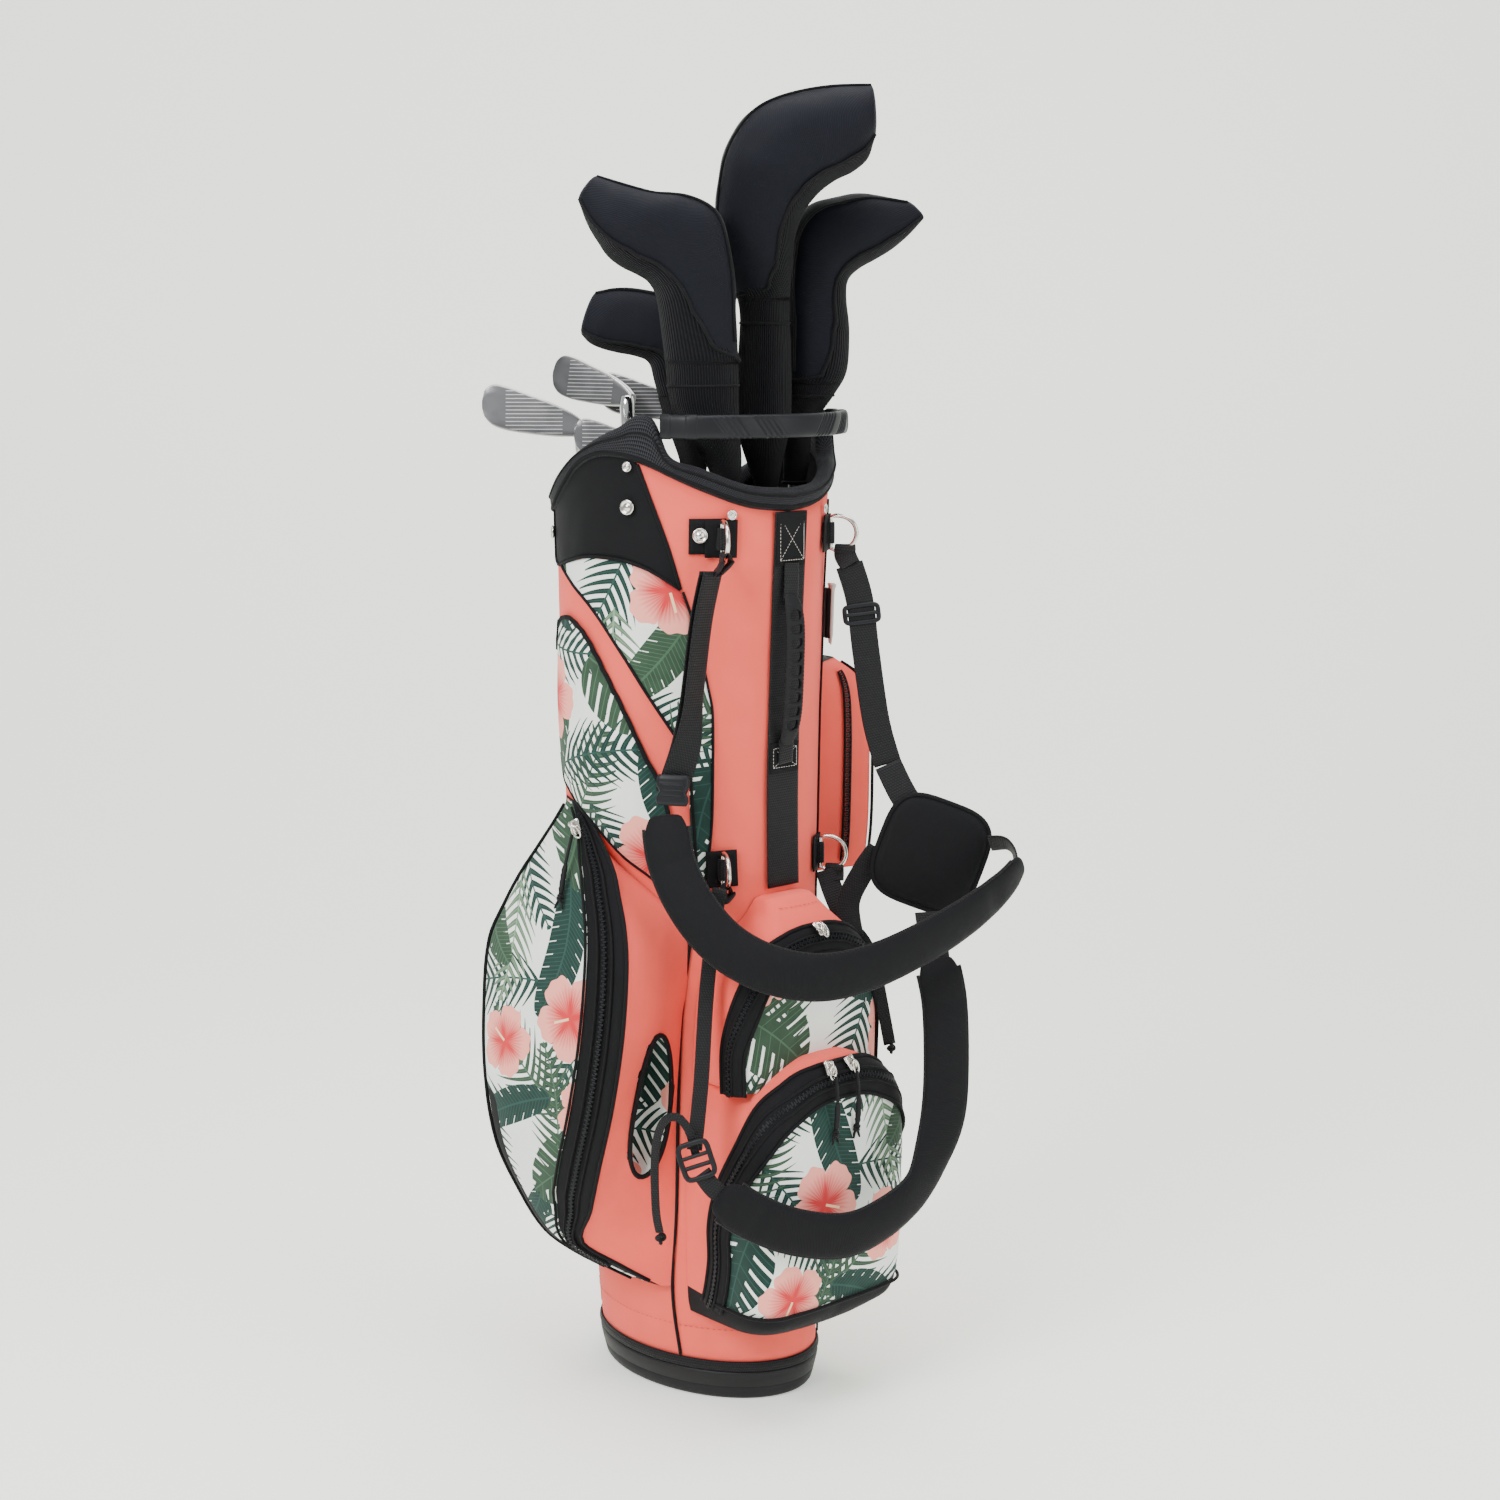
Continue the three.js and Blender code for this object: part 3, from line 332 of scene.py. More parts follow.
def solidify(obj, thickness, offset=1.0, inner_look=0):
    m = obj.modifiers.new("thickness", "SOLIDIFY")
    m.thickness = thickness * MM
    m.offset = offset
    m.use_even_offset = False
    m.material_offset = inner_look
    return obj


def smooth_more(obj, levels=1):
    m = obj.modifiers.new("smooth", "SUBSURF")
    m.levels = levels
    m.render_levels = levels
    return obj


def inflate(obj, pinned, pressure, cap, frames=14, stiffness=12.0):
    """Puffs a mesh out by cloth simulation between its pinned points, and applies the result."""
    start = np.array([v.co for v in obj.data.vertices], float)
    group = obj.vertex_groups.new(name="held")
    group.add([int(i) for i in pinned], 1.0, "REPLACE")
    m = obj.modifiers.new("puff", "CLOTH")
    m.settings.vertex_group_mass = "held"
    m.settings.use_pressure = True
    m.settings.uniform_pressure_force = pressure
    m.settings.effector_weights.gravity = 0
    m.settings.quality = 4
    m.settings.tension_stiffness = stiffness
    m.settings.compression_stiffness = stiffness
    m.settings.bending_stiffness = 0.6
    m.collision_settings.use_collision = False
    scene = bpy.context.scene
    for f in range(1, frames + 1):
        scene.frame_set(f)
    evaluated = obj.evaluated_get(bpy.context.evaluated_depsgraph_get())
    end = np.array([v.co for v in evaluated.data.vertices], float)
    obj.modifiers.remove(m)
    move = end - start
    far = np.linalg.norm(move, axis=1)[:, None]
    limit = cap * MM
    move = np.where(far > 1e-9, move / np.maximum(far, 1e-9) * limit * np.tanh(far / limit), 0)
    move[np.asarray(pinned, int)] = 0
    obj.data.vertices.foreach_set("co", (start + move).astype(np.float32).ravel())
    obj.data.update()
    scene.frame_set(1)
    return obj


# ---- Materials ----------------------------------------------------------------------------------


class Val:
    """A shader value that takes part in plain arithmetic."""

    def __init__(self, tree, source):
        self.tree = tree
        self.source = source

    def use(self, socket):
        if isinstance(self.source, (int, float)):
            socket.default_value = self.source
        else:
            self.tree.links.new(self.source, socket)

    def math(self, operation, *others):
        node = self.tree.nodes.new("ShaderNodeMath")
        node.operation = operation
        self.use(node.inputs[0])
        for i, other in enumerate(others):
            value = other if isinstance(other, Val) else Val(self.tree, float(other))
            value.use(node.inputs[i + 1])
        return Val(self.tree, node.outputs[0])

    def inside(self, low, high):
        return (self > low) * (self < high)


VAL_OPERATIONS = {
    "__add__": "ADD", "__sub__": "SUBTRACT", "__mul__": "MULTIPLY", "__truediv__": "DIVIDE",
    "__pow__": "POWER", "__lt__": "LESS_THAN", "__gt__": "GREATER_THAN", "abs": "ABSOLUTE",
    "sin": "SINE", "cos": "COSINE", "fract": "FRACT", "most": "MAXIMUM", "least": "MINIMUM"
}
for _method, _operation in VAL_OPERATIONS.items():
    setattr(Val, _method, lambda self, *others, _with=_operation: self.math(_with, *others))


def split(tree, socket):
    node = tree.nodes.new("ShaderNodeSeparateXYZ")
    tree.links.new(socket, node.inputs[0])
    return [Val(tree, node.outputs[i]) for i in range(3)]


class Look:
    """A material's node tree with its cloth coordinates in millimetres at hand."""

    def __init__(self, name, color, roughness, **shader):
        self.material = bpy.data.materials.new(name)
        self.material.use_nodes = True
        self.tree = self.material.node_tree
        self.shader = self.tree.nodes["Principled BSDF"]
        self.shader.inputs["Base Color"].default_value = (*color, 1)
        self.shader.inputs["Roughness"].default_value = roughness
        for key, value in shader.items():
            socket = self.shader.inputs[key.replace("_", " ")]
            socket.default_value = (*value, 1) if isinstance(value, tuple) else value
        self.color = color
        self.last_bump = None

    def node(self, kind, **values):
        made = self.tree.nodes.new(kind)
        for key, value in values.items():
            setattr(made, key, value)
        return made

    def link(self, a, b):
        self.tree.links.new(a, b)

    def cloth(self):
        """Cloth coordinates in millimetres."""
        uv = self.node("ShaderNodeUVMap", uv_map="cloth")
        scale = self.node("ShaderNodeVectorMath", operation="SCALE")
        scale.inputs["Scale"].default_value = 1000
        self.link(uv.outputs[0], scale.inputs[0])
        return scale.outputs[0]

    def space(self):
        """Places in the piece's own frame, in millimetres."""
        at = self.node("ShaderNodeTexCoord")
        scale = self.node("ShaderNodeVectorMath", operation="SCALE")
        scale.inputs["Scale"].default_value = 1000
        self.link(at.outputs["Object"], scale.inputs[0])
        return scale.outputs[0]

    def noise(self, where, size, detail=3.0, rough=0.5):
        made = self.node("ShaderNodeTexNoise")
        made.inputs["Scale"].default_value = 1 / size
        made.inputs["Detail"].default_value = detail
        made.inputs["Roughness"].default_value = rough
        self.link(where, made.inputs["Vector"])
        return Val(self.tree, made.outputs[0])

    def bump(self, height, distance, strength=1.0):
        """Adds a height field, in millimetres, over what is there."""
        made = self.node("ShaderNodeBump")
        made.inputs["Distance"].default_value = distance * MM
        made.inputs["Strength"].default_value = strength
        height.use(made.inputs["Height"])
        if self.last_bump is not None:
            self.link(self.last_bump, made.inputs["Normal"])
        self.last_bump = made.outputs[0]
        self.link(made.outputs[0], self.shader.inputs["Normal"])

    def mix(self, amount, low, high):
        """A colour between two others, each given as a colour or as a socket."""
        made = self.node("ShaderNodeMix", data_type="RGBA")
        amount.use(made.inputs[0])
        for socket, color in ((made.inputs[6], low), (made.inputs[7], high)):
            if isinstance(color, tuple):
                socket.default_value = (*color, 1)
            else:
                self.link(color, socket)
        return made.outputs[2]

    def tint(self, amount, dark, light):
        """Colour that runs from dark to light with a value from 0 to 1."""
        mixed = self.mix(amount, dark, light)
        self.link(mixed, self.shader.inputs["Base Color"])
        return mixed

    def roughen(self, amount, low, high):
        value = amount * (high - low) + low
        value.use(self.shader.inputs["Roughness"])


def shade(color, factor):
    return tuple(min(1.0, c * factor) for c in color)


def weave_height(look, where, pitch):
    """A plain weave: threads going over and under each other."""
    u, v, _ = split(look.tree, where)
    turn = 2 * math.pi / pitch
    return (u * turn).sin() * (v * turn).sin() * 0.5 + 0.5


def canvas(name, color, pitch=0.9, sheen=0.06):
    look = Look(name, color, 0.78, Sheen_Weight=sheen, Sheen_Roughness=0.5, Specular_IOR_Level=0.12)
    where = look.cloth()
    weave = weave_height(look, where, pitch)
    cloud = look.noise(where, 38, 4)
    fibre = look.noise(where, 1.3, 2)
    look.tint(cloud * 0.7 + fibre * 0.3, shade(color, 0.86), shade(color, 1.1))
    look.roughen(fibre, 0.68, 0.88)
    look.bump(weave, 0.12, 0.5)
    look.bump(cloud, 0.6, 0.35)
    return look.material


def spacer_mesh(name, color):
    """Knitted spacer cloth with a grid of small holes."""
    look = Look(name, color, 0.7, Sheen_Weight=0.04, Specular_IOR_Level=0.12)
    where = look.cloth()
    u, v, _ = split(look.tree, where)
    turn = 2 * math.pi / 3.4
    holes = ((u + v * 0.58) * turn).sin() * ((u - v * 0.58) * turn).sin() * ((v * 1.16) * turn).sin()
    depth = (holes * 2.2 + 0.5).most(0).least(1)
    # Painted shade in the holes and painted highlight on the knit between them: the colour follows the same
    # depth as the bump.
    look.tint(depth, shade(color, 0.15), shade(color, 3.6))
    look.bump(depth, 0.9, 0.9)
    return look.material


def twill(name, color, pitch=1.6, sheen=0.025):
    """Neoprene faced with a fine slanting rib."""
    look = Look(name, color, 0.62, Sheen_Weight=sheen, Specular_IOR_Level=0.09)
    where = look.cloth()
    u, v, _ = split(look.tree, where)
    rib = ((u * 0.55 + v) * (2 * math.pi / pitch)).sin() * 0.5 + 0.5
    cloud = look.noise(where, 22, 4)
    # Painted shade in the rib's grooves and painted highlight on its ridges, mixed with a random cloudy tone.
    look.tint(rib * 0.6 + cloud * 0.4, shade(color, 0.7), shade(color, 1.45))
    look.roughen(cloud, 0.55, 0.75)
    look.bump(rib, 0.25, 0.6)
    look.bump(cloud, 0.8, 0.3)
    return look.material


def rib_knit(name, color, pitch=2.6):
    """Ribbed knitting: upright ribs with small rows of stitches."""
    look = Look(name, color, 0.85, Sheen_Weight=0.04, Specular_IOR_Level=0.08)
    where = look.cloth()
    u, v, _ = split(look.tree, where)
    rib = (u * (2 * math.pi / pitch)).sin() * 0.5 + 0.5
    stitch = (v * (2 * math.pi / 1.4)).sin() * 0.5 + 0.5
    # Painted shade between the ribs and painted highlight on their crowns, following the rib height of the
    # bump.
    look.tint(rib, shade(color, 0.45), shade(color, 1.6))
    look.bump(rib, 1.0, 0.8)
    look.bump(stitch * rib, 0.25, 0.5)
    return look.material


def webbing(name, color):
    """Narrow woven tape: rows of short slanting floats."""
    look = Look(name, color, 0.6, Sheen_Weight=0.04, Specular_IOR_Level=0.18)
    where = look.cloth()
    u, v, _ = split(look.tree, where)
    rows = (v * (2 * math.pi / 2.2)).sin() * 0.5 + 0.5
    floats = ((u * 1.0 + v * 0.5) * (2 * math.pi / 2.4)).sin() * 0.5 + 0.5
    # Painted highlight on the floats and painted shade between the rows, following the same pattern as the
    # bump.
    look.tint(rows * floats, shade(color, 0.5), shade(color, 2.4))
    look.bump(rows * 0.6 + floats * 0.4, 0.4, 0.8)
    return look.material


def plastic(name, color, rough=0.5, grain=0.8):
    look = Look(name, color, rough, Specular_IOR_Level=0.2)
    where = look.space()
    fine = look.noise(where, grain, 2)
    broad = look.noise(where, 60, 3)
    look.tint(broad, shade(color, 0.85), shade(color, 1.2))
    look.roughen(fine, rough - 0.08, rough + 0.1)
    look.bump(fine, 0.06, 0.35)
    return look.material


def metal(name, color, rough, brushed=0.0):
    look = Look(name, color, rough, Metallic=1.0)
    where = look.space()
    smudge = look.noise(where, 9, 4)
    look.tint(smudge, shade(color, 0.9), shade(color, 1.05))
    look.roughen(smudge, rough * 0.7, rough * 1.5)
    if brushed:
        look.bump(look.noise(where, 0.5, 1), 0.02, brushed)
    return look.material


def lacquer(name, color):
    look = Look(name, color, 0.3, Coat_Weight=0.6, Coat_Roughness=0.12)
    fleck = look.noise(look.space(), 0.8, 2)
    look.tint(fleck, shade(color, 0.8), shade(color, 1.5))
    look.bump(fleck, 0.02, 0.1)
    return look.material


# ---- The palm and hibiscus print ------------------------------------------------------------------

TILE = (196.0, 228.0)
PRINT_SCALE = 0.8
PAPER = (0.80, 0.83, 0.78)
DEEP_GREEN = (0.011, 0.033, 0.027)
MID_GREEN = (0.030, 0.060, 0.036)
PALE_GREEN = (0.10, 0.16, 0.10)
PETAL = (0.90, 0.33, 0.27)
PETAL_HEART = (0.60, 0.035, 0.04)
PISTIL = (0.9, 0.62, 0.35)


def motif_group(name, draw, outputs):
    """A node group with a place, a turn and a size, that draws one periodic motif."""
    group = bpy.data.node_groups.new(name, "ShaderNodeTree")
    face = group.interface
    face.new_socket("Point", in_out="INPUT", socket_type="NodeSocketVector")
    face.new_socket("Centre", in_out="INPUT", socket_type="NodeSocketVector")
    for key in ("Turn", "Length", "Width", "Bend"):
        face.new_socket(key, in_out="INPUT", socket_type="NodeSocketFloat")
    for key in outputs:
        face.new_socket(key, in_out="OUTPUT", socket_type="NodeSocketFloat")
    given = group.nodes.new("NodeGroupInput")
    away = group.nodes.new("ShaderNodeVectorMath")
    away.operation = "SUBTRACT"
    group.links.new(given.outputs[0], away.inputs[0])
    group.links.new(given.outputs[1], away.inputs[1])
    wrap = group.nodes.new("ShaderNodeVectorMath")
    wrap.operation = "WRAP"
    group.links.new(away.outputs[0], wrap.inputs[0])
    wrap.inputs[1].default_value = (TILE[0] / 2, TILE[1] / 2, 1)
    wrap.inputs[2].default_value = (-TILE[0] / 2, -TILE[1] / 2, -1)
    spin = group.nodes.new("ShaderNodeVectorRotate")
    spin.rotation_type = "Z_AXIS"
    group.links.new(wrap.outputs[0], spin.inputs["Vector"])
    group.links.new(given.outputs[2], spin.inputs["Angle"])
    x, y, _ = split(group, spin.outputs[0])
    size = [Val(group, given.outputs[i]) for i in (3, 4, 5)]
    results = draw(x, y, *size)
    end = group.nodes.new("NodeGroupOutput")
    for i, value in enumerate(results):
        value.use(end.inputs[i])
    return group


def leaf_frame(x, y, length, bend):
    """Along the rib from 0 to 1, and the distance from the bent rib."""
    along = x / length + 0.5
    side = y - bend * (along * (along - 1.0)) * -4.0
    return along, side.abs()


def draw_frond(x, y, length, width, bend):
    """A palm frond: narrow leaflets swept forward from a rib."""
    along, side = leaf_frame(x, y, length, bend)
    on = along.inside(0.0, 1.0)
    swell = ((along * 1.02).least(1.0) * ((along * -1.0) + 1.0) * 4.0).most(0.0) ** 0.55
    reach = side / (width * swell + 0.01)
    row = (x - side * (reach * 0.35 + 0.6)) / 7.8
    leaflet = (row.fract() - 0.5).abs()
    tip = (row.math("FLOOR") * 2.4).sin() * 0.1 + 0.9
    thick = (reach * reach) * -0.27 + 0.28
    mask = (leaflet < thick) * (reach < tip) * on
    rib = (side < 0.7) * on
    return [mask.most(rib), (leaflet < 0.03).most(rib)]


def draw_banana(x, y, length, width, bend):
    """A broad leaf with a pale rib, fine veins and torn edges."""
    along, side = leaf_frame(x, y, length, bend)
    on = along.inside(0.0, 1.0)
    swell = (along * ((along * -1.0) + 1.0) * 4.0).most(0.0) ** 0.45
    reach = side / (width * swell + 0.01)
    slant = (x - side * 0.55) / 9.5
    tear = ((slant.fract() - 0.5).abs() > 0.462) * (reach > 0.6)
    mask = (reach < 1.0) * on * ((tear * -1.0) + 1.0)
    vein = (((x - side * 0.55) / 3.2).fract() > 0.8).most(side < 0.8)
    return [mask, vein]


def draw_monstera(x, y, length, width, bend):
    """A heart-shaped leaf cut by wide slits."""
    along, side = leaf_frame(x, y, length, bend)
    on = along.inside(0.0, 1.0)
    swell = (along.most(0.0) ** 0.42) * ((along * -1.0 + 1.0).most(0.0) ** 0.5) * 1.55
    reach = side / (width * swell + 0.01)
    slant = (x - side * 0.5) / 10.5
    slit = ((slant.fract() - 0.5).abs() > 0.36) * (reach > 0.34)
    mask = (reach < 1.0) * on * ((slit * -1.0) + 1.0)
    vein = ((slant.fract() - 0.5).abs() < 0.035).most(side < 0.7)
    return [mask, vein]


def draw_hibiscus(x, y, length, *_):
    """Five ruffled petals round a dark heart, with a pale pistil."""
    radius = (x * x + y * y).math("SQRT")
    angle = y.math("ARCTAN2", x)
    lobe = ((angle * 2.5).cos().abs()).most(0.001) ** 0.42
    ruffle = (angle * 17.0).sin() * 0.022 + (angle * 9.0).sin() * 0.02
    edge = length * (lobe * 0.34 + 0.66 + ruffle)
    share = radius / edge
    mask = share < 1.0
    vein = ((angle * 40.0).sin() * 0.5 + 0.5) * (share * (share * -1.0 + 1.0) * 4.0).most(0.0)
    fold = (lobe * -1.0 + 1.0).most(0.0)
    tone = (share * 1.7 - 0.12 - vein * 0.3 - fold * 0.9).most(0.0).least(1.0)
    pistil = (y.abs() < 0.9) * x.inside(1.0, 15.0)
    return [mask, tone, pistil]


MOTIFS = {
    "frond": motif_group("frond", draw_frond, ("Mask", "Vein")),
    "banana": motif_group("banana", draw_banana, ("Mask", "Vein")),
    "monstera": motif_group("monstera", draw_monstera, ("Mask", "Vein")),
    "hibiscus": motif_group("hibiscus", draw_hibiscus, ("Mask", "Tone", "Pistil"))
}

# Kind, place on the tile, turn in degrees, length, half width, bend, colour. Later ones lie on top.
PRINT = [
    ("frond", (22, 38), 62, 122, 31, 9, DEEP_GREEN), ("frond", (78, 22), -38, 112, 29, -8, MID_GREEN),
    ("frond", (134, 60), 18, 124, 31, 10, DEEP_GREEN),
    ("frond", (176, 100), -58, 116, 29, -9, MID_GREEN),
    ("frond", (98, 168), 118, 120, 30, 8, DEEP_GREEN),
    ("frond", (150, 206), 8, 118, 29, -8, DEEP_GREEN), ("frond", (50, 214), -72, 108, 27, 7, MID_GREEN),
    ("frond", (6, 122), -12, 108, 27, 7, DEEP_GREEN), ("frond", (112, 104), 84, 92, 24, -5, PALE_GREEN),
    ("banana", (60, 104), 74, 104, 17, -6, DEEP_GREEN),
    ("monstera", (24, 172), 38, 72, 36, 3, MID_GREEN),
    ("banana", (138, 122), 128, 92, 16, 6, MID_GREEN),
    ("monstera", (172, 14), 108, 66, 33, -3, DEEP_GREEN),
    ("banana", (90, 206), 28, 84, 15, 5, DEEP_GREEN), ("hibiscus", (44, 58), 20, 31, 0, 0, None),
    ("hibiscus", (146, 162), 75, 30, 0, 0, None), ("hibiscus", (106, 30), -30, 27, 0, 0, None),
    ("hibiscus", (18, 222), 110, 26, 0, 0, None)
]


def printed_cloth(name, shift):
    look = Look(name, PAPER, 0.75, Sheen_Weight=0.05, Specular_IOR_Level=0.15)
    tree = look.tree
    cloth = look.cloth()
    moved = look.node("ShaderNodeVectorMath", operation="MULTIPLY_ADD")
    moved.inputs[1].default_value = (PRINT_SCALE, PRINT_SCALE, 1)
    moved.inputs[2].default_value = (shift[0], shift[1], 0)
    look.link(cloth, moved.inputs[0])
    paper = look.noise(cloth, 40, 3)
    colour = look.tint(paper, shade(PAPER, 0.93), shade(PAPER, 1.04))
    patch = look.noise(cloth, 14, 3)
    for kind, (cx, cy), turn, length, width, bend, leaf in PRINT:
        made = look.node("ShaderNodeGroup")
        made.node_tree = MOTIFS[kind]
        look.link(moved.outputs[0], made.inputs["Point"])
        given = {
            "Centre": (cx, cy, 0), "Turn": turn * DEG, "Length": length, "Width": width, "Bend": bend
        }
        for key, value in given.items():
            made.inputs[key].default_value = value
        out = [Val(tree, s) for s in made.outputs]
        if kind == "hibiscus":
            colour = look.mix(out[0], colour, look.mix(out[1], PETAL_HEART, PETAL))
            colour = look.mix(out[2] * out[0], colour, PISTIL)
        else:
            colour = look.mix(out[0], colour, look.mix(patch, shade(leaf, 0.72), shade(leaf, 1.35)))
            colour = look.mix(out[0] * out[1] * 0.4, colour, shade(leaf, 3.0))
    look.link(colour, look.shader.inputs["Base Color"])
    look.bump(weave_height(look, cloth, 0.9), 0.1, 0.45)
    look.bump(paper, 0.5, 0.3)
    return look.material


CORAL = (0.84, 0.104, 0.076)
BLACK = (0.006, 0.006, 0.007)
coral = canvas("coral_canvas", CORAL)
black_canvas = canvas("black_canvas", BLACK, 1.1, 0.02)
lining = canvas("black_lining", (0.004, 0.004, 0.005), 1.4, 0.04)
spacer = spacer_mesh("spacer_mesh", (0.009, 0.009, 0.011))
neoprene = twill("neoprene", (0.0055, 0.006, 0.0095))
neoprene_grey = twill("neoprene_grey", (0.014, 0.0145, 0.018), 2.2)
knit = rib_knit("rib_knit", (0.0055, 0.0055, 0.007))
tape = webbing("webbing", (0.006, 0.006, 0.007))
cord_look = webbing("cord_braid", (0.005, 0.005, 0.006))
boot_look = plastic("boot_plastic", (0.011, 0.011, 0.012), 0.5)
moulded = plastic("moulded_plastic", (0.008, 0.0085, 0.0105), 0.42)
rubber = plastic("grip_rubber", (0.006, 0.006, 0.007), 0.6, 0.5)
rod_look = plastic("fibreglass", (0.6, 0.58, 0.5), 0.5)
nickel = metal("nickel", (0.72, 0.68, 0.63), 0.2)
chrome = metal("chrome", (0.78, 0.78, 0.79), 0.12)
satin_steel = metal("satin_steel", (0.30, 0.29, 0.285), 0.28, 0.6)
graphite = lacquer("graphite", (0.022, 0.023, 0.028))
crown = lacquer("crown_gloss", (0.015, 0.015, 0.02))
thread = canvas("pale_thread", (0.55, 0.5, 0.47), 0.6)
coral_thread = canvas("coral_thread", (0.62, 0.10, 0.08), 0.6)

# ---- Pull cords: the free cords of the part -------------------------------------------------------


PULLS = {
    "ball_pull_left": ("ball_zip_left", (-16, -171, 315), (0, -0.9, 0.43), 0.0),
    "ball_pull_right": ("ball_zip_right", (10, -171, 315), (0, -0.9, 0.43), 0.0),
    "apparel_pull_left": ("apparel_zip", (-128, 30, 513), (-0.9, -0.42, 0.1), 0.5)
}


CORD_FALL, CORD_THICK = 52, 3.0


def make_pull(node, body, centre, out, lean):
    """A short limp cord from a slider: a thick sleeve and a knotted end with two tails."""
    away = unit([out[0], out[1], 0])
    top = np.array(centre, float) + away * 7.5 + np.array([0, 0, -5.5])
    ts = np.linspace(0, 1, 25)
    path = [
        top + np.array([0, 0, -CORD_FALL * t]) + away * (
            2.4 * math.sin(math.pi * t) + lean * CORD_FALL * t
        )
        for t in ts
    ]
    curve = bpy.data.curves.new(node + "_cord", "CURVE")
    curve.dimensions = "3D"
    curve.bevel_depth = CORD_THICK / 2 * MM
    curve.bevel_resolution = 4
    curve.use_fill_caps = True
    spline = curve.splines.new("POLY")
    spline.points.add(len(path) - 1)
    for point, p in zip(spline.points, path):
        point.co = (*(p * MM), 1)
    curve.materials.append(cord_look)
    cord = bpy.data.objects.new(node + "_cord", curve)
    bpy.context.scene.collection.objects.link(cord)
    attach(cord, body)
    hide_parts(node)
    end, near = path[-1], path[-3]
    down = unit(end - near)
    sleeve_path = [path[i] for i in range(11, 23)]
    sleeve = rings_piece(
        node + "_sleeve",
        sweep_rings(
            sleeve_path, round_outline(1, 1, count=14),
            size=lambda t: 2.5 + 0.25 * math.sin(t * 40) - 0.7 * (abs(2 * t - 1) ** 8)
        ),
        rubber, body, "pull_cord"
    )
    across = unit(np.cross(down, away))
    for side in (-1, 1):
        tail = [
            end, end + down * 3 + across * side * 2.2, end + down * 8 + across * side * 3.6 + away * 1.2
        ]
        rings_piece(
                f"{node}_tail_{'a' if side < 0 else 'b'}",
                sweep_rings(
                    spaced(tail, 7), round_outline(1, 1, count=8), size=lambda t: 1.3 - 0.5 * t**4
                ),
                cord_look, body, "pull_cord"
            )
    turns = np.linspace(0, 3 * 2 * math.pi, 48)
    knot_mid = end - down * 1.5
    knot = [
        knot_mid + across * math.cos(a) * (
            2.0 + 0.4 * math.cos(a * 0.66)
        ) + away * math.sin(a) * 2.0 + down * 2.2 * math.sin(a * 0.66)
        for a in turns
    ]
    rings_piece(
            node + "_knot", sweep_rings(knot, round_outline(1.15, 1.15, count=8)), cord_look, body,
            "pull_cord"
        )
    round(arc_length(path) * MM, 4)


for _node, (_body, _centre, _out, _lean) in PULLS.items():
    make_pull(_node, _body, _centre, _out, _lean)

# ---- The cloth tube ------------------------------------------------------------------------------

AROUND = 144
SHELL_ROWS = 46
PER_DEGREE = 1.95  # millimetres of cloth round the tube


def shell_fold(angle, z):
    """Soft dents in the hanging cloth, full at middle heights and fading out towards the bottom and the sewn
    seam.
    """
    dent = noise.noise(Vector((angle / 26, z / 95, 3.1))) * 2.0
    dent += noise.noise(Vector((angle / 11, z / 40, 7.7))) * 0.8
    edge = min(1, (z - 30) / 60) * min(1, max(0, (seam(angle) - z) / 40))
    return dent * max(0, edge) - 0.9


def make_shell():
    points, uv = [], []
    for r in range(SHELL_ROWS):
        for c in range(AROUND):
            angle = -180 + 360 * c / AROUND
            z = BOOT_TOP + 0.3 + (seam(angle) + 3 - BOOT_TOP) * r / (SHELL_ROWS - 1)
            points.append(tube(angle, z, shell_fold(angle, z)))
            uv.append((angle * PER_DEGREE * MM, z * MM))
    obj = piece(
        "bag_cloth", points, reversed_faces(grid_faces(SHELL_ROWS, AROUND, loop_columns=True)),
        [coral, lining], "bag", "coral_fabric", uv=uv
    )
    solidify(obj, 2.0, offset=-1, inner_look=1)
    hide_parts("bag_body")


make_shell()


def tube_patch(name, look, low, high, start, end, offset, thickness, slot, columns=None, rows=24, soft=0.35):
    """A cloth panel on the tube between two height functions of the angle."""
    columns = columns or max(6, int(abs(end - start) / 2.2))
    grid, uv = [], []
    for r in range(rows):
        line_of = []
        for c in range(columns):
            angle = start + (end - start) * c / (columns - 1)
            z0, z1 = low(angle), high(angle)
            z = z0 + (z1 - z0) * r / (rows - 1)
            edge = min(1, 4 * r * (rows - 1 - r) / (rows - 1) ** 2 * 4) * min(
                1, 4 * c * (columns - 1 - c) / (columns - 1) ** 2 * 4
            )
            puff = soft * edge * (0.6 + 0.4 * noise.noise(Vector((angle / 9, z / 30, 1.5))))
            line_of.append(tube(angle, z, offset + max(shell_fold(angle, z), -0.6) * 0.8 + puff))
            uv.append((-angle * PER_DEGREE * MM, z * MM))
        grid.append(line_of)
    obj = piece(
        name, np.array(grid).reshape(-1, 3),
        grid_faces(rows, columns) if start > end else reversed_faces(grid_faces(rows, columns)), look,
        "bag", slot, uv=uv
    )
    return solidify(obj, thickness, offset=-1)


def tube_curve(points, offset, count=None):
    """A line of (angle, height) pairs laid over the tube's cloth."""
    flat = np.array([(a, z, 0) for a, z in points], float)
    scaled = flat * np.array([PER_DEGREE, 1, 1])
    run = arc_length(scaled)
    even = spaced(scaled, count or max(6, int(run / 7)))
    return [
        tube(a / PER_DEGREE, z, offset + max(shell_fold(a / PER_DEGREE, z), -0.6) * 0.8)
        for a, z, _ in even
    ]


def tube_piping(name, points, radius=1.5, look=None, offset=1.0, slot="black_fabric"):
    return rod(name, tube_curve(points, offset), radius, look, "bag", slot, sides=7)


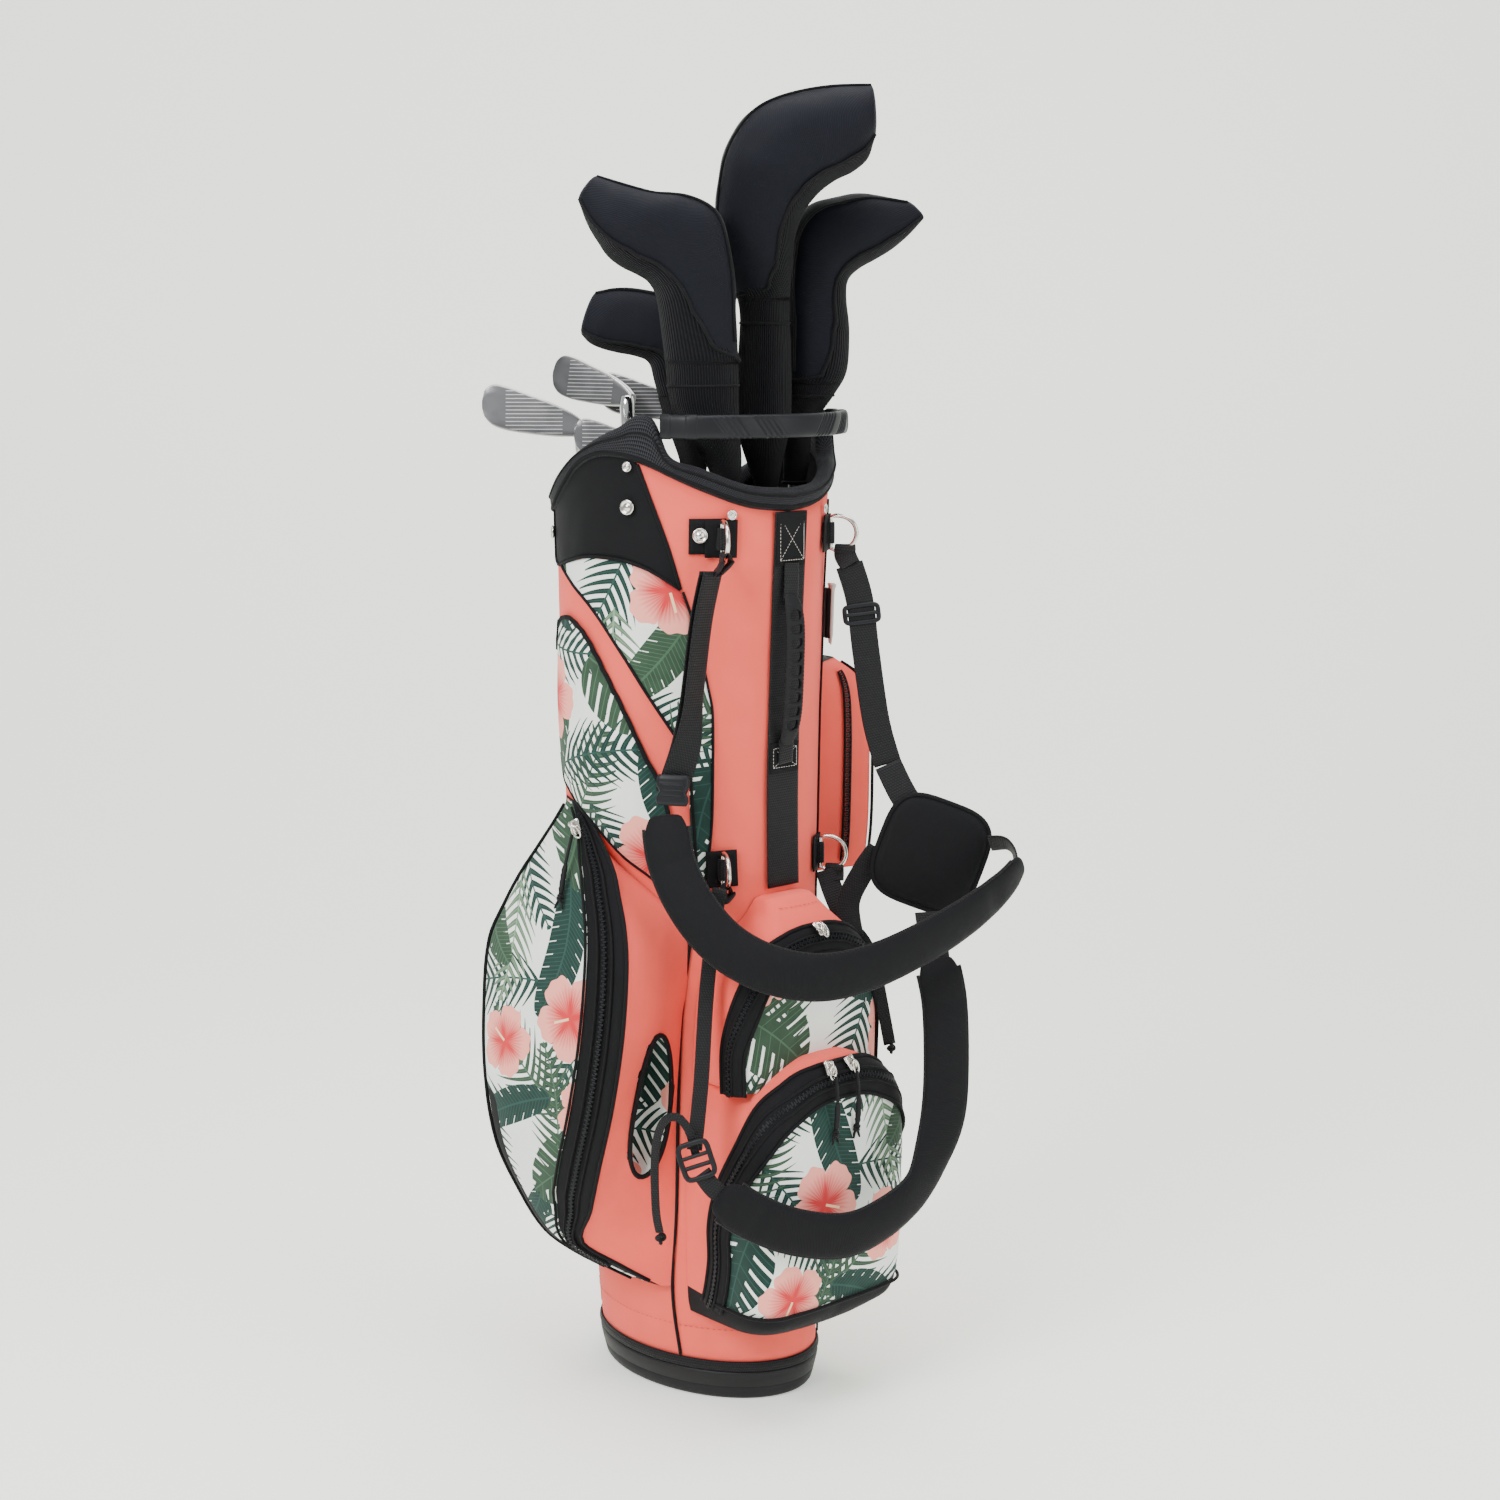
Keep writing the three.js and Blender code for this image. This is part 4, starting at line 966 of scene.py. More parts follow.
# The black yoke round the upper left, then the printed band under it, the slip pocket and gussets.
YOKE_LOW = [(47, 724), (60, 740), (73, 748), (90, 749), (105, 743), (118, 737), (127, 742)]
YOKE_EDGE = [(47, 724), (52, 758), (58, 791), (65, 829)]
tube_patch(
    "yoke_black", black_canvas, lambda a: line(YOKE_LOW, a),
    lambda a: min(seam(a) - 1, line(YOKE_EDGE, a)) if a < 65 else seam(a) - 1, 47.2, 127, 0.5, 1.2,
    "black_fabric", columns=46, rows=16
)
tube_piping("yoke_edge_piping", YOKE_EDGE, 1.6)
tube_piping("yoke_low_piping", YOKE_LOW, 1.4)
tube_piping("yoke_rear_piping", [(127, 742), (128, 765), (127.5, seam(127.5) - 2)], 1.4)

BAND_LEFT = [(40.5, 451), (43, 580), (49, 599), (60, 631), (74, 671), (90, 707), (114, 738)]
BAND_RIGHT = [(33, 542), (33, 612), (35, 638), (38, 664), (42, 698), (46, 722)]
tube_patch(
    "print_band_high", printed_cloth("print_band", (30, 40)),
    lambda a: line([(43, 580), (49, 599), (60, 631), (74, 671), (90, 707), (114, 738)], a),
    lambda a: line([(43, 705)] + YOKE_LOW, a) - 1, 112, 43, 0.45, 1.0, "print_fabric", columns=34,
    rows=16
)
tube_patch(
    "print_band_low", bpy.data.materials["print_band"],
    lambda a: line([(33, 542), (35, 499), (40, 451), (43, 451)], a),
    lambda a: line([(33, 612), (35, 638), (38, 664), (42, 698), (43, 705)], a), 43, 33, 0.45, 1.0,
    "print_fabric", columns=8, rows=36
)
tube_piping("band_left_piping", BAND_LEFT, 1.5)
tube_piping("band_right_piping", [(40, 451), (35, 499), (33, 542)] + BAND_RIGHT[1:], 1.2)
tube_piping("gusset_piping_left", [(45, 424), (51, 366), (55, 311), (62.5, 182), (69, 97), (67, 38)], 1.5)
tube_piping(
    "gusset_piping_right", [(-47, 424), (-51, 366), (-55, 311), (-62.5, 182), (-69, 97), (-67, 38)], 1.5
)
tube_piping("front_seam_right", [(-36, 40), (-36, 300), (-36, 470), (-36, 640), (-36, 794)], 1.0)
tube_piping("rear_seam_left", [(150, 40), (150, 300), (150, 560), (150, 776)], 1.2)
tube_piping("rear_seam_right", [(-150, 40), (-150, 300), (-150, 560), (-150, 776)], 1.2)


def ring_band(name, look, low, high, out_of, slot, rows=8, count=AROUND, ridged=0.0):
    """A closed band round the tube: out_of gives its offset for (angle, share of height)."""
    points, uv = [], []
    for r in range(rows):
        share = r / (rows - 1)
        for c in range(count):
            angle = -180 + 360 * c / count
            z = low(angle) + (high(angle) - low(angle)) * share
            lift = out_of(angle, share) + (ridged if c % 2 else 0) * math.sin(math.pi * share)
            points.append(tube(angle, z, lift))
            uv.append((angle * PER_DEGREE * MM, z * MM))
    obj = piece(
        name, points, reversed_faces(grid_faces(rows, count, loop_columns=True)), look, "bag", slot,
        uv=uv
    )
    return solidify(obj, 1.2, offset=-1)


ring_band(
    "base_binding", tape, lambda a: BOOT_TOP + 0.5, lambda a: BINDING_TOP,
    lambda a, s: 0.7 + 1.0 * math.sin(math.pi * s), "black_fabric", count=288, ridged=0.45
)


def stitches(name, path, length=3.2, gap=2.2, radius=0.4, look=None, body="bag", slot="coral_fabric"):
    """A row of separate short threads, all in one mesh."""
    path = np.asarray(path, float)
    run = run_along(path)
    points, faces = [], []
    at = 0.0
    while at + length < run[-1]:
        a = np.array([np.interp(at, run, path[:, k]) for k in range(3)])
        b = np.array([np.interp(at + length, run, path[:, k]) for k in range(3)])
        along = unit(b - a)
        side = unit(np.cross(along, UP if abs(along[2]) < 0.9 else [1, 0, 0]))
        up = np.cross(side, along)
        base = len(points)
        for spot, share in ((a, 0.45), ((a + b) / 2, 1.0), (b, 0.45)):
            for k in range(4):
                turn = math.pi / 2 * k
                points.append(spot + radius * share * (side * math.cos(turn) + up * math.sin(turn)))
        for r in range(2):
            for k in range(4):
                i, j = base + r * 4 + k, base + r * 4 + (k + 1) % 4
                faces.append((i, j, j + 4, i + 4))
        faces.append((base + 3, base + 2, base + 1, base))
        faces.append((base + 8, base + 9, base + 10, base + 11))
        at += length + gap
    return piece(name, points, faces, look or coral_thread, body, slot)


stitches("base_stitches", [tube(a, 66, 0.5) for a in np.linspace(-180, 180, 200)])

# ---- Boot, collar, lift handle ----------------------------------------------------------------------

FOOT_RADIUS = 10.5


def boot_ring(z, inset, count=96):
    a, b = 77 + 6.5 * z / 27 - inset, 111 + 6.5 * z / 27 - inset
    t = full_turn(count)
    return [np.array([-a * math.sin(k), -b * math.cos(k), z]) for k in t]


def make_boot():
    profile = [
        (0, 32), (0, 3.0), (1.0, 1.2), (3.0, 0.2), (11, 0), (11.8, 0.9), (12.6, 0), (22, 0),
        (24.8, 0.3), (26.6, 1.4), (27.2, 3.0), (26.4, 4.6), (8.4, 5.2)
    ]
    rings = [boot_ring(z, inset) for z, inset in profile]
    obj = rings_piece("boot_shell", rings, boot_look, "bag", "boot_plastic", caps=True)
    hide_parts("base_boot")
    for i, angle in enumerate((40, 140, 220, 320)):
        s, c = math.sin(angle * DEG), math.cos(angle * DEG)
        centre = np.array([-52 * s, -82 * c, 0])
        pad = [
            centre + np.array([0, 0, 0.2]) + FOOT_RADIUS * np.array([math.cos(t), math.sin(t), 0])
            for t in full_turn(20)
        ]
        rings = [pad, [p + np.array([0, 0, 1.3]) for p in pad]]
        rings_piece(f"boot_foot_{i + 1}", rings, rubber, "bag", "boot_plastic")


make_boot()


def collar_profile(angle):
    """A rolled section from the sewn seam over the padded rim and down inside: offset and height."""
    low, high = seam(angle), rim(angle)
    tall = high - low
    return [
        (0.8, low - 3), (3.0, low + 0.5), (4.6, low + tall * 0.35), (4.4, low + tall * 0.7),
        (2.2, high - 1.2), (-2.0, high + 0.3), (-6.5, high - 1.0), (-10.2, high - 5.5),
        (-11.6, low + tall * 0.45), (-11.2, low - 2), (-8.0, low - 4.5), (-3.6, low - 4.5)
    ]


def make_collar():
    rings = []
    for c in range(160):
        angle = -180 + 360 * c / 160
        row = [
            tube(angle, z, o + 0.35 * noise.noise(Vector((angle / 5, k * 0.7, 9))))
            for k, (o, z) in enumerate(collar_profile(angle))
        ]
        rings.append(row)
    r = np.array(rings)
    count, n, _ = r.shape
    faces = turned_out(r.reshape(-1, 3), grid_faces(count, n, loop_columns=True, loop_rows=True))
    uv = [(-(-180 + 360 * c / 160) * 2.15 * MM, k * 5.2 * MM) for c in range(count) for k in range(n)]
    obj = piece("collar_roll", r.reshape(-1, 3), faces, spacer, uv=uv)
    smooth_more(obj)
    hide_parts("top_collar")
    for name, offset, rise, radius in (
        ("collar_binding", 2.2, 0.6, 2.0), ("collar_binding_rim", 4.6, None, 1.1)
    ):
        path = []
        for c in range(180):
            angle = -180 + 2 * c
            z = seam(angle) + rise if rise is not None else seam(angle) + (rim(angle) - seam(angle)) * 0.6
            path.append(tube(angle, z, offset))
        rod(name, path, radius, sides=6, looped=True)


make_collar()

# Angle from the front and how far the lift handle stands off the tube there.
HANDLE_REACH = [(0, 12.5), (30, 11.5), (44, 9.5), (50, 5), (55, 1)]
HANDLE_Z, HANDLE_SPAN = 861, 55
GROOVE_DEPTH, GROOVE_PITCH = 1.3, 2.2


def make_lift_handle():
    """A moulded handle over the front dip, with two groups of slanting grooves."""
    rings = []
    for angle in np.linspace(-HANDLE_SPAN, HANDLE_SPAN, 280):
        offset = float(read(HANDLE_REACH, abs(angle))[0])
        centre = tube(angle, HANDLE_Z, offset)
        normal = tube_out(angle, HANDLE_Z)
        a = abs(angle)
        grooved = 9 < a < 19 or 24 < a < 33
        groove = GROOVE_DEPTH * (0.5 + 0.5 * math.cos(angle * 2 * math.pi / GROOVE_PITCH)) if grooved else 0
        lean = math.copysign(float(np.interp(a, [2, 9, 33, 41], [0, 0.75, 0.75, 0])), angle)
        collar = 0.8 if 41 < a < 45 or a > 51 else 0
        half_out, half_high = 4.6 - groove + collar, 10.0 + collar * 0.7
        ring = []
        for t in (np.arange(24) + 0.5) / 24 * 2 * math.pi:
            c, s = math.cos(t), math.sin(t)
            x = signed_power(c, 0.62) * half_out
            y = signed_power(s, 0.62) * half_high
            ring.append(centre + normal * x + UP * y + unit(np.cross(normal, UP)) * y * lean)
        rings.append(ring)
    obj = rings_piece("lift_handle_grip", rings, moulded, "bag", "moulded_plastic")
    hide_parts("lift_handle")


make_lift_handle()


def sweep_piece(name, path, half_wide, half_thick, look, body, slot, face, count=None, power=5.0):
    """Flat webbing along a path, its broad side facing out."""
    n = count or max(6, int(arc_length(path) / 6))
    even = spaced(path, n)
    rings = sweep_rings(even, round_outline(half_wide, half_thick, power, 12), face=face)
    obj = rings_piece(name, rings, look, body, slot)
    shape = round_outline(half_wide, half_thick, power, 12)
    step = arc_length(even) / (n - 1)
    flat = np.array([(shape[k % 12, 0], (k // 12) * step) for k in range(n * 12)]) * MM
    set_uv(obj, flat)
    return obj


def box_stitch(name, centre, wide, tall, out):
    """A stitched rectangle with a cross, on webbing."""
    out = unit(out)
    side = unit(np.cross(UP, out))
    up = np.cross(out, side)
    c = np.asarray(centre, float)
    at = lambda x, y: c + side * x + up * y
    w, h = wide / 2, tall / 2
    corners = [(-w, -h), (w, -h), (w, h), (-w, h), (-w, -h), (w, h), (w, -h), (-w, h)]
    path = np.concatenate(
        [
            np.linspace(at(*corners[i]), at(*corners[i + 1]), 10, endpoint=False)
            for i in range(len(corners) - 1)
        ]
    )
    stitches(name, path, 2.0, 1.0, 0.35, thread, "bag", "webbing")


def make_spine():
    path = [tube(-1, z, 1.6) for z in np.linspace(461, 788, 40)]
    path = [np.array([2, p[1], p[2]]) for p in path]
    obj = sweep_piece("spine_band", path, 19, 0.8, tape, "bag", "webbing", lambda t: (0, -1, 0), count=56)
    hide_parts("spine_webbing")
    for name, z0, z1, wide in (("spine_patch_top", 742, 787, 17.5), ("spine_patch_low", 562, 588, 17.5)):
        rows = [np.array([2, tube(-1, z, 3.0)[1], z]) for z in np.linspace(z0, z1, 8)]
        sweep_piece(name, rows, wide, 0.7, black_canvas, "bag", "webbing", lambda t: (0, -1, 0), count=8)
        middle = (z0 + z1) / 2
        box_stitch(name + "_stitches", [2, tube(-1, middle, 4.1)[1], middle], 28, z1 - z0 - 9, (0, -1, 0))


make_spine()


def make_side_grip():
    """A bowed rubber grip with nine slots; its webbing ends run back to the spine."""
    mid, half = 652.0, 66.0
    columns, rows = 21, 125
    slots_at = [mid + t * half for t in np.linspace(-0.72, 0.72, 9)]
    xs = np.linspace(-11, 11, columns)
    points = []
    for side in (0, 1):
        for r in range(rows):
            t = -1 + 2 * r / (rows - 1)
            z = mid + t * half
            front = tube(0, z)[1] - 3 - 9 * (1 - t**4)
            taper = 1 - 0.45 * t**8
            for c in range(columns):
                x = xs[c] * taper
                crown = 2.2 * (1 - (xs[c] / 11.5) ** 6)
                ridge = 0.35 * math.cos(z * 2 * math.pi / 3.3) * (abs(xs[c]) > 6.5)
                y = front - 3 - crown - ridge if side else front - 3 + crown * 0.9
                points.append([x, y, z])
    faces = []
    n = rows * columns

    def open_at(r, c):
        x = (xs[c] + xs[c + 1]) / 2
        z = mid + half * (-1 + 2 * (r + 0.5) / (rows - 1))
        return any((x / 6.4) ** 4 + ((z - s) / 4.2) ** 4 < 1 for s in slots_at)

    holes = {(r, c) for r in range(rows - 1) for c in range(columns - 1) if open_at(r, c)}
    for r in range(rows - 1):
        for c in range(columns - 1):
            a = r * columns + c
            quad = (a, a + 1, a + columns + 1, a + columns)
            if (r, c) in holes:
                continue
            faces.append(quad)
            faces.append(tuple(n + i for i in reversed(quad)))
            for (dr, dc), (i, j) in (
                ((-1, 0), (quad[0], quad[1])), ((0, 1), (quad[1], quad[2])),
                ((1, 0), (quad[2], quad[3])), ((0, -1), (quad[3], quad[0]))
            ):
                rr, cc = r + dr, c + dc
                if (rr, cc) in holes or not (0 <= rr < rows - 1 and 0 <= cc < columns - 1):
                    faces.append((j, i, n + i, n + j))
    obj = piece("side_handle_rubber", points, turned_out(points, faces), rubber, "side_handle", "grip_rubber")
    smooth_more(obj)
    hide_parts("side_handle_grip")


make_side_grip()


def blend_strap(name, path, half_wide, half_thick, look, slot, face, body_a, body_b, start, end, **more):
    """Webbing along a path, left in place without a body."""
    obj = sweep_piece(name, path, half_wide, half_thick, look, None, slot, face, **more)
    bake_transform(obj)
    return obj


for _name, _z0, _z1 in (("side_handle_web_top", 744, 712), ("side_handle_web_low", 570, 592)):
    _path = [
        np.array(
            [
                2 * (1 - t), tube(-1, _z0 + (_z1 - _z0) * t)[1] - 4.4 - 2.4 * math.sin(t * math.pi / 2),
                _z0 + (_z1 - _z0) * t
            ]
        )
        for t in np.linspace(0, 1, 9)
    ]
    blend_strap(
        _name, _path, 8.5, 0.9, tape, "webbing", lambda t: (0, -1, 0), "bag", "side_handle", _path[0],
        _path[-1], count=10
    )

# ---- Pockets --------------------------------------------------------------------------------------


def read_rows(rows, z):
    return [float(v) for v in read(rows, z)]


def pinned_of(points_mask):
    return [int(i) for i in np.nonzero(np.asarray(points_mask).ravel())[0]]


# Height, the front and rear root's angle, the face's two edges in X and Y, how far it swells.
APPAREL = [
    (101, 69, 104, -87, -32, -90, 24, 1), (120, 67, 118, -112, -8, -116, 50, 3),
    (142, 65, 126, -138, 14, -138, 66, 5), (178, 63, 134, -148, -8, -149, 90, 8),
    (222, 61, 140, -155, -28, -162, 104, 9), (283, 57, 144, -160, -52, -170, 108, 10),
    (347, 52, 146, -160, -66, -171, 107, 10), (408, 47, 146, -157, -69, -166, 104, 9),
    (440, 51, 144, -151, -60, -152, 98, 8), (465, 65, 140, -144, -45, -140, 91, 6),
    (485, 79, 136, -134, -26, -127, 85, 4), (510, 96, 128, -120, 12, -115, 74, 2),
    (532, 112, 122, -114, 46, -110, 61, 1)
]
SLEEVE_X, SLEEVE_Z, SLEEVE_WIDE, SLEEVE_TALL = -113, 275, 21, 66


def make_apparel():
    """The garment pocket as one skin: gusset, front edge, zip band, face, rear trim, rear wall."""
    heights = np.concatenate(
        [np.linspace(101, 142, 9)[:-1], np.linspace(142, 465, 46)[:-1], np.linspace(465, 532, 13)]
    )
    gusset = np.linspace(0, 1, 13)[:-1]
    rows, kinds, pins, uvs = [], [], [], []
    for z in heights:
        front, rear, ax, ay, bx, by, swell = read_rows(APPAREL, z)
        start, end = tube(front, z, 0.6), tube(rear, z, 0.6)
        a, b = np.array([ax, ay, z]), np.array([bx, by, z])
        out = facing(unit(np.cross(b - a, UP)), tube_out((front + rear) / 2, z))
        wide = np.linalg.norm(b - a)
        band = min(40, wide * 0.36) / wide
        trim = 18 / wide if z < 270 else 10 / wide
        face = np.concatenate(
            [
                np.linspace(0, band, 7)[:-1], np.linspace(band, 1 - trim, 19)[:-1],
                np.linspace(1 - trim, 1, 4)
            ]
        )
        row, kind, pin, u_of = [], [], [], []
        for t in gusset:
            row.append(start + (a - start) * t)
            kind.append(0)
            pin.append(t == 0)
            u_of.append(np.linalg.norm(a - start) * (t - 1))
        for t in face:
            lift = swell * (1 - (2 * t - 1) ** 4)
            row.append(a + (b - a) * t + out * lift)
            kind.append(1 if t < band - 1e-6 else 2 if t < 1 - trim - 1e-6 else 3)
            pin.append(abs(t) < 1e-9 or abs(t - band) < 1e-9 or abs(t - 1) < 1e-9)
            u_of.append(wide * t)
        for t in np.linspace(0, 1, 7)[1:]:
            row.append(b + (end - b) * t)
            kind.append(4)
            pin.append(t == 1)
            u_of.append(wide + np.linalg.norm(end - b) * t)
        rows.append(row)
        kinds.append(kind)
        pins.append(pin)
        uvs.append([(u * MM, z * MM) for u in u_of])
    grid = np.array(rows)
    count, columns, _ = grid.shape
    pin = np.array(pins)
    pin[0, :] = pin[-1, :] = True
    faces, look = [], []
    for r in range(count - 1):
        for c in range(columns - 1):
            kind = kinds[r][c]
            middle = (grid[r, c] + grid[r + 1, c + 1]) / 2
            if kind == 0:
                x = (middle[0] - SLEEVE_X) / (SLEEVE_WIDE + 1)
                z = (middle[2] - SLEEVE_Z) / (SLEEVE_TALL + 1)
                if x * x + z * z < 1:
                    continue
            q = (r * columns + c, r * columns + c + 1, (r + 1) * columns + c + 1, (r + 1) * columns + c)
            faces.append(tuple(reversed(q)))
            look.append({0: 0, 1: 1, 2: 2, 3: 1 if middle[2] < 270 else 2, 4: 3}[kind])
    faces.append(tuple((count - 1) * columns + c for c in range(columns)))
    look.append(1)
    faces.append(tuple(reversed(range(columns))))
    look.append(3)
    obj = piece(
        "apparel_pocket", grid.reshape(-1, 3), faces, [coral, black_canvas, print_main, black_canvas],
        "bag", "print_fabric", face_look=look, uv=np.array(uvs).reshape(-1, 2)
    )
    inflate(obj, pinned_of(pin), 4.0, 5.5)
    smooth_more(obj)
    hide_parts("apparel_pocket_left")
    return grid


print_main = printed_cloth("print_main", (0, 0))
apparel_grid = make_apparel()
FACE_START = 12
ZIP_END = FACE_START + 6


def grid_line(grid, column, low, high, lift=0.8):
    """A line up one column of a grid, lifted a little off it."""
    points = []
    for r in range(low, high):
        p = grid[r, column]
        side = grid[r, min(column + 1, grid.shape[1] - 1)] - grid[r, max(column - 1, 0)]
        up = grid[min(r + 1, len(grid) - 1), column] - grid[max(r - 1, 0), column]
        points.append(p + facing(unit(np.cross(up, side)), [p[0], p[1] - MIDDLE_Y, 0]) * lift)
    return points


def zip_between(name, rail_a, rail_b, body="bag", slot="black_fabric", lift=1.2, wide=0.34):
    """A closed zip along a band: two raised lips and a row of teeth between them."""
    a, b = np.asarray(rail_a, float), np.asarray(rail_b, float)
    n = max(12, int(arc_length(a) / 4))
    a, b = spaced(a, n), spaced(b, n)
    middle = (a + b) / 2
    out = []
    for i in range(n):
        along = middle[min(i + 1, n - 1)] - middle[max(i - 1, 0)]
        away = middle[i] - np.array([0, MIDDLE_Y, middle[i][2]])
        out.append(facing(unit(np.cross(along, b[i] - a[i])), away))
    out = np.array(out)
    for tag, mix in (("lip_a", 0.5 - wide / 2), ("lip_b", 0.5 + wide / 2)):
        path = a * (1 - mix) + b * mix + out * lift
        rod(f"{name}_{tag}", path, 1.15, black_canvas, body, slot, sides=6)
    run = arc_length(middle)
    teeth = int(run / 2.2)
    spine = spaced(middle + out * (lift + 0.4), teeth)
    points, faces = [], []
    for i in range(teeth):
        j = min(n - 1, int(round(i / max(teeth - 1, 1) * (n - 1))))
        along = unit(spine[min(i + 1, teeth - 1)] - spine[max(i - 1, 0)])
        o = out[j]
        side = unit(np.cross(along, o))
        shift = side * (0.7 if i % 2 else -0.7)
        base = len(points)
        for sx, sy, sz in (
            (-1, -1, 0), (1, -1, 0), (1, 1, 0), (-1, 1, 0), (-1, -1, 1), (1, -1, 1), (1, 1, 1),
            (-1, 1, 1)
        ):
            points.append(spine[i] + shift + side * sx * 1.7 + along * sy * 0.7 + o * (sz * 1.2 - 0.4))
        faces += [
            tuple(base + k for k in f)
            for f in (
                (3, 2, 1, 0), (4, 5, 6, 7), (0, 1, 5, 4), (1, 2, 6, 5), (2, 3, 7, 6), (3, 0, 4, 7)
            )
        ]
    piece(f"{name}_teeth", points, faces, moulded, body, slot, smooth=False)


_top = len(apparel_grid) - 2
zip_between(
    "apparel_zip", grid_line(apparel_grid, FACE_START, 4, _top, 1.5),
    grid_line(apparel_grid, ZIP_END, 4, _top, 3.5)
)
rod("apparel_front_piping", grid_line(apparel_grid, FACE_START, 1, _top + 1, 0.6), 1.7)
rod("apparel_band_piping", grid_line(apparel_grid, ZIP_END, 1, _top + 1, 2.6), 1.3)
rod("apparel_rear_piping", grid_line(apparel_grid, apparel_grid.shape[1] - 7, 1, _top + 1, 0.6), 1.7)


def make_sleeve():
    """The open oval sleeve in the gusset: a floral tub with a piped mouth."""
    mouth, rings = [], []
    for t in full_turn(40):
        x, z = SLEEVE_X + SLEEVE_WIDE * math.cos(t), SLEEVE_Z + SLEEVE_TALL * math.sin(t)
        front, _, ax, ay, *_ = read_rows(APPAREL, z)
        start = tube(front, z, 0.6)
        share = (x - start[0]) / (ax - start[0])
        mouth.append(np.array([x, start[1] + (ay - start[1]) * share, z]))
    mouth = np.array(mouth)
    middle = mouth.mean(axis=0)
    for deep, scale in (
        (1.5, 1.02), (-6, 1.0), (-18, 0.98), (-28, 0.93), (-33, 0.8), (-34, 0.4), (-34, 0.05)
    ):
        ring = middle + (mouth - middle) * scale
        ring[:, 1] = np.where(
            deep > -20, ring[:, 1] - deep, middle[1] - deep + (ring[:, 1] - middle[1]) * 0.3
        )
        rings.append(ring)
    faces = grid_faces(len(rings), 40, loop_columns=True)
    points = np.array(rings).reshape(-1, 3)
    flat = np.stack([points[:, 0] * 0.5 - points[:, 1] * 0.9, points[:, 2]], axis=1)
    obj = piece("sleeve_lining", points, faces, print_main, "bag", "print_fabric", uv=flat * MM)
    solidify(obj, 1.0, offset=0)
    rod("sleeve_binding", mouth - np.array([0, 1.6, 0]), 2.3, looped=True)


make_sleeve()

# Angle, low edge, high edge.
SLIP = [
    (49, 449, 492), (54, 460, 548), (61, 474, 577), (74, 491, 628), (90, 517, 676), (101, 530, 692),
    (110, 541, 693), (118, 550, 685), (123, 570, 662)
]


def make_slip():
    """The open-topped slip pocket: a slack printed panel hanging from a gathered elastic edge."""
    angles = np.linspace(49, 123, 44)
    rows = 26
    grid, uv = [], []
    for r in range(rows):
        s = r / (rows - 1)
        row = []
        for angle in angles:
            low, high = read_rows(SLIP, angle)
            z = low + (high - low) * s
            side = 1 - ((2 * (angle - 49) / 74) - 1) ** 6
            bulge = 5.5 * math.sin(math.pi * min(1, s * 1.05)) ** 0.6 * side + 1.8
            gather = 0.9 * s**3 * math.sin(angle * 2.4) * side
            row.append(tube(angle, z, max(1.6, bulge + gather)))
            uv.append((-angle * PER_DEGREE * MM + 0.05, z * MM))
        grid.append(row)
    g = np.array(grid)
    columns = len(angles)
    faces = grid_faces(rows, columns)
    obj = piece("slip_panel", g.reshape(-1, 3), faces, print_slip, "bag", "print_fabric", uv=uv)
    pin = np.zeros((rows, columns), bool)
    pin[0, :] = pin[-1, :] = pin[:, 0] = pin[:, -1] = True
    inflate(obj, pinned_of(pin), 2.0, 3.0)
    solidify(obj, 1.2, offset=-1)
    smooth_more(obj)
    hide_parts("slip_pocket_left")
    rod("slip_edge_top", g[-1] + 0.6 * np.array([tube_out(a, 600) for a in angles]), 2.1)
    rod("slip_edge_low", g[0] + 0.6 * np.array([tube_out(a, 500) for a in angles]), 1.7)


print_slip = printed_cloth("print_slip", (95, 120))
make_slip()

# Height, rear root's angle, half width, share of the reach.
VALUABLES = [
    (456, -106, 40, 0.7), (466, -110, 46, 0.95), (540, -112, 50, 1), (610, -110, 46, 1),
    (632, -106, 34, 0.9), (646, -98, 14, 0.55)
]


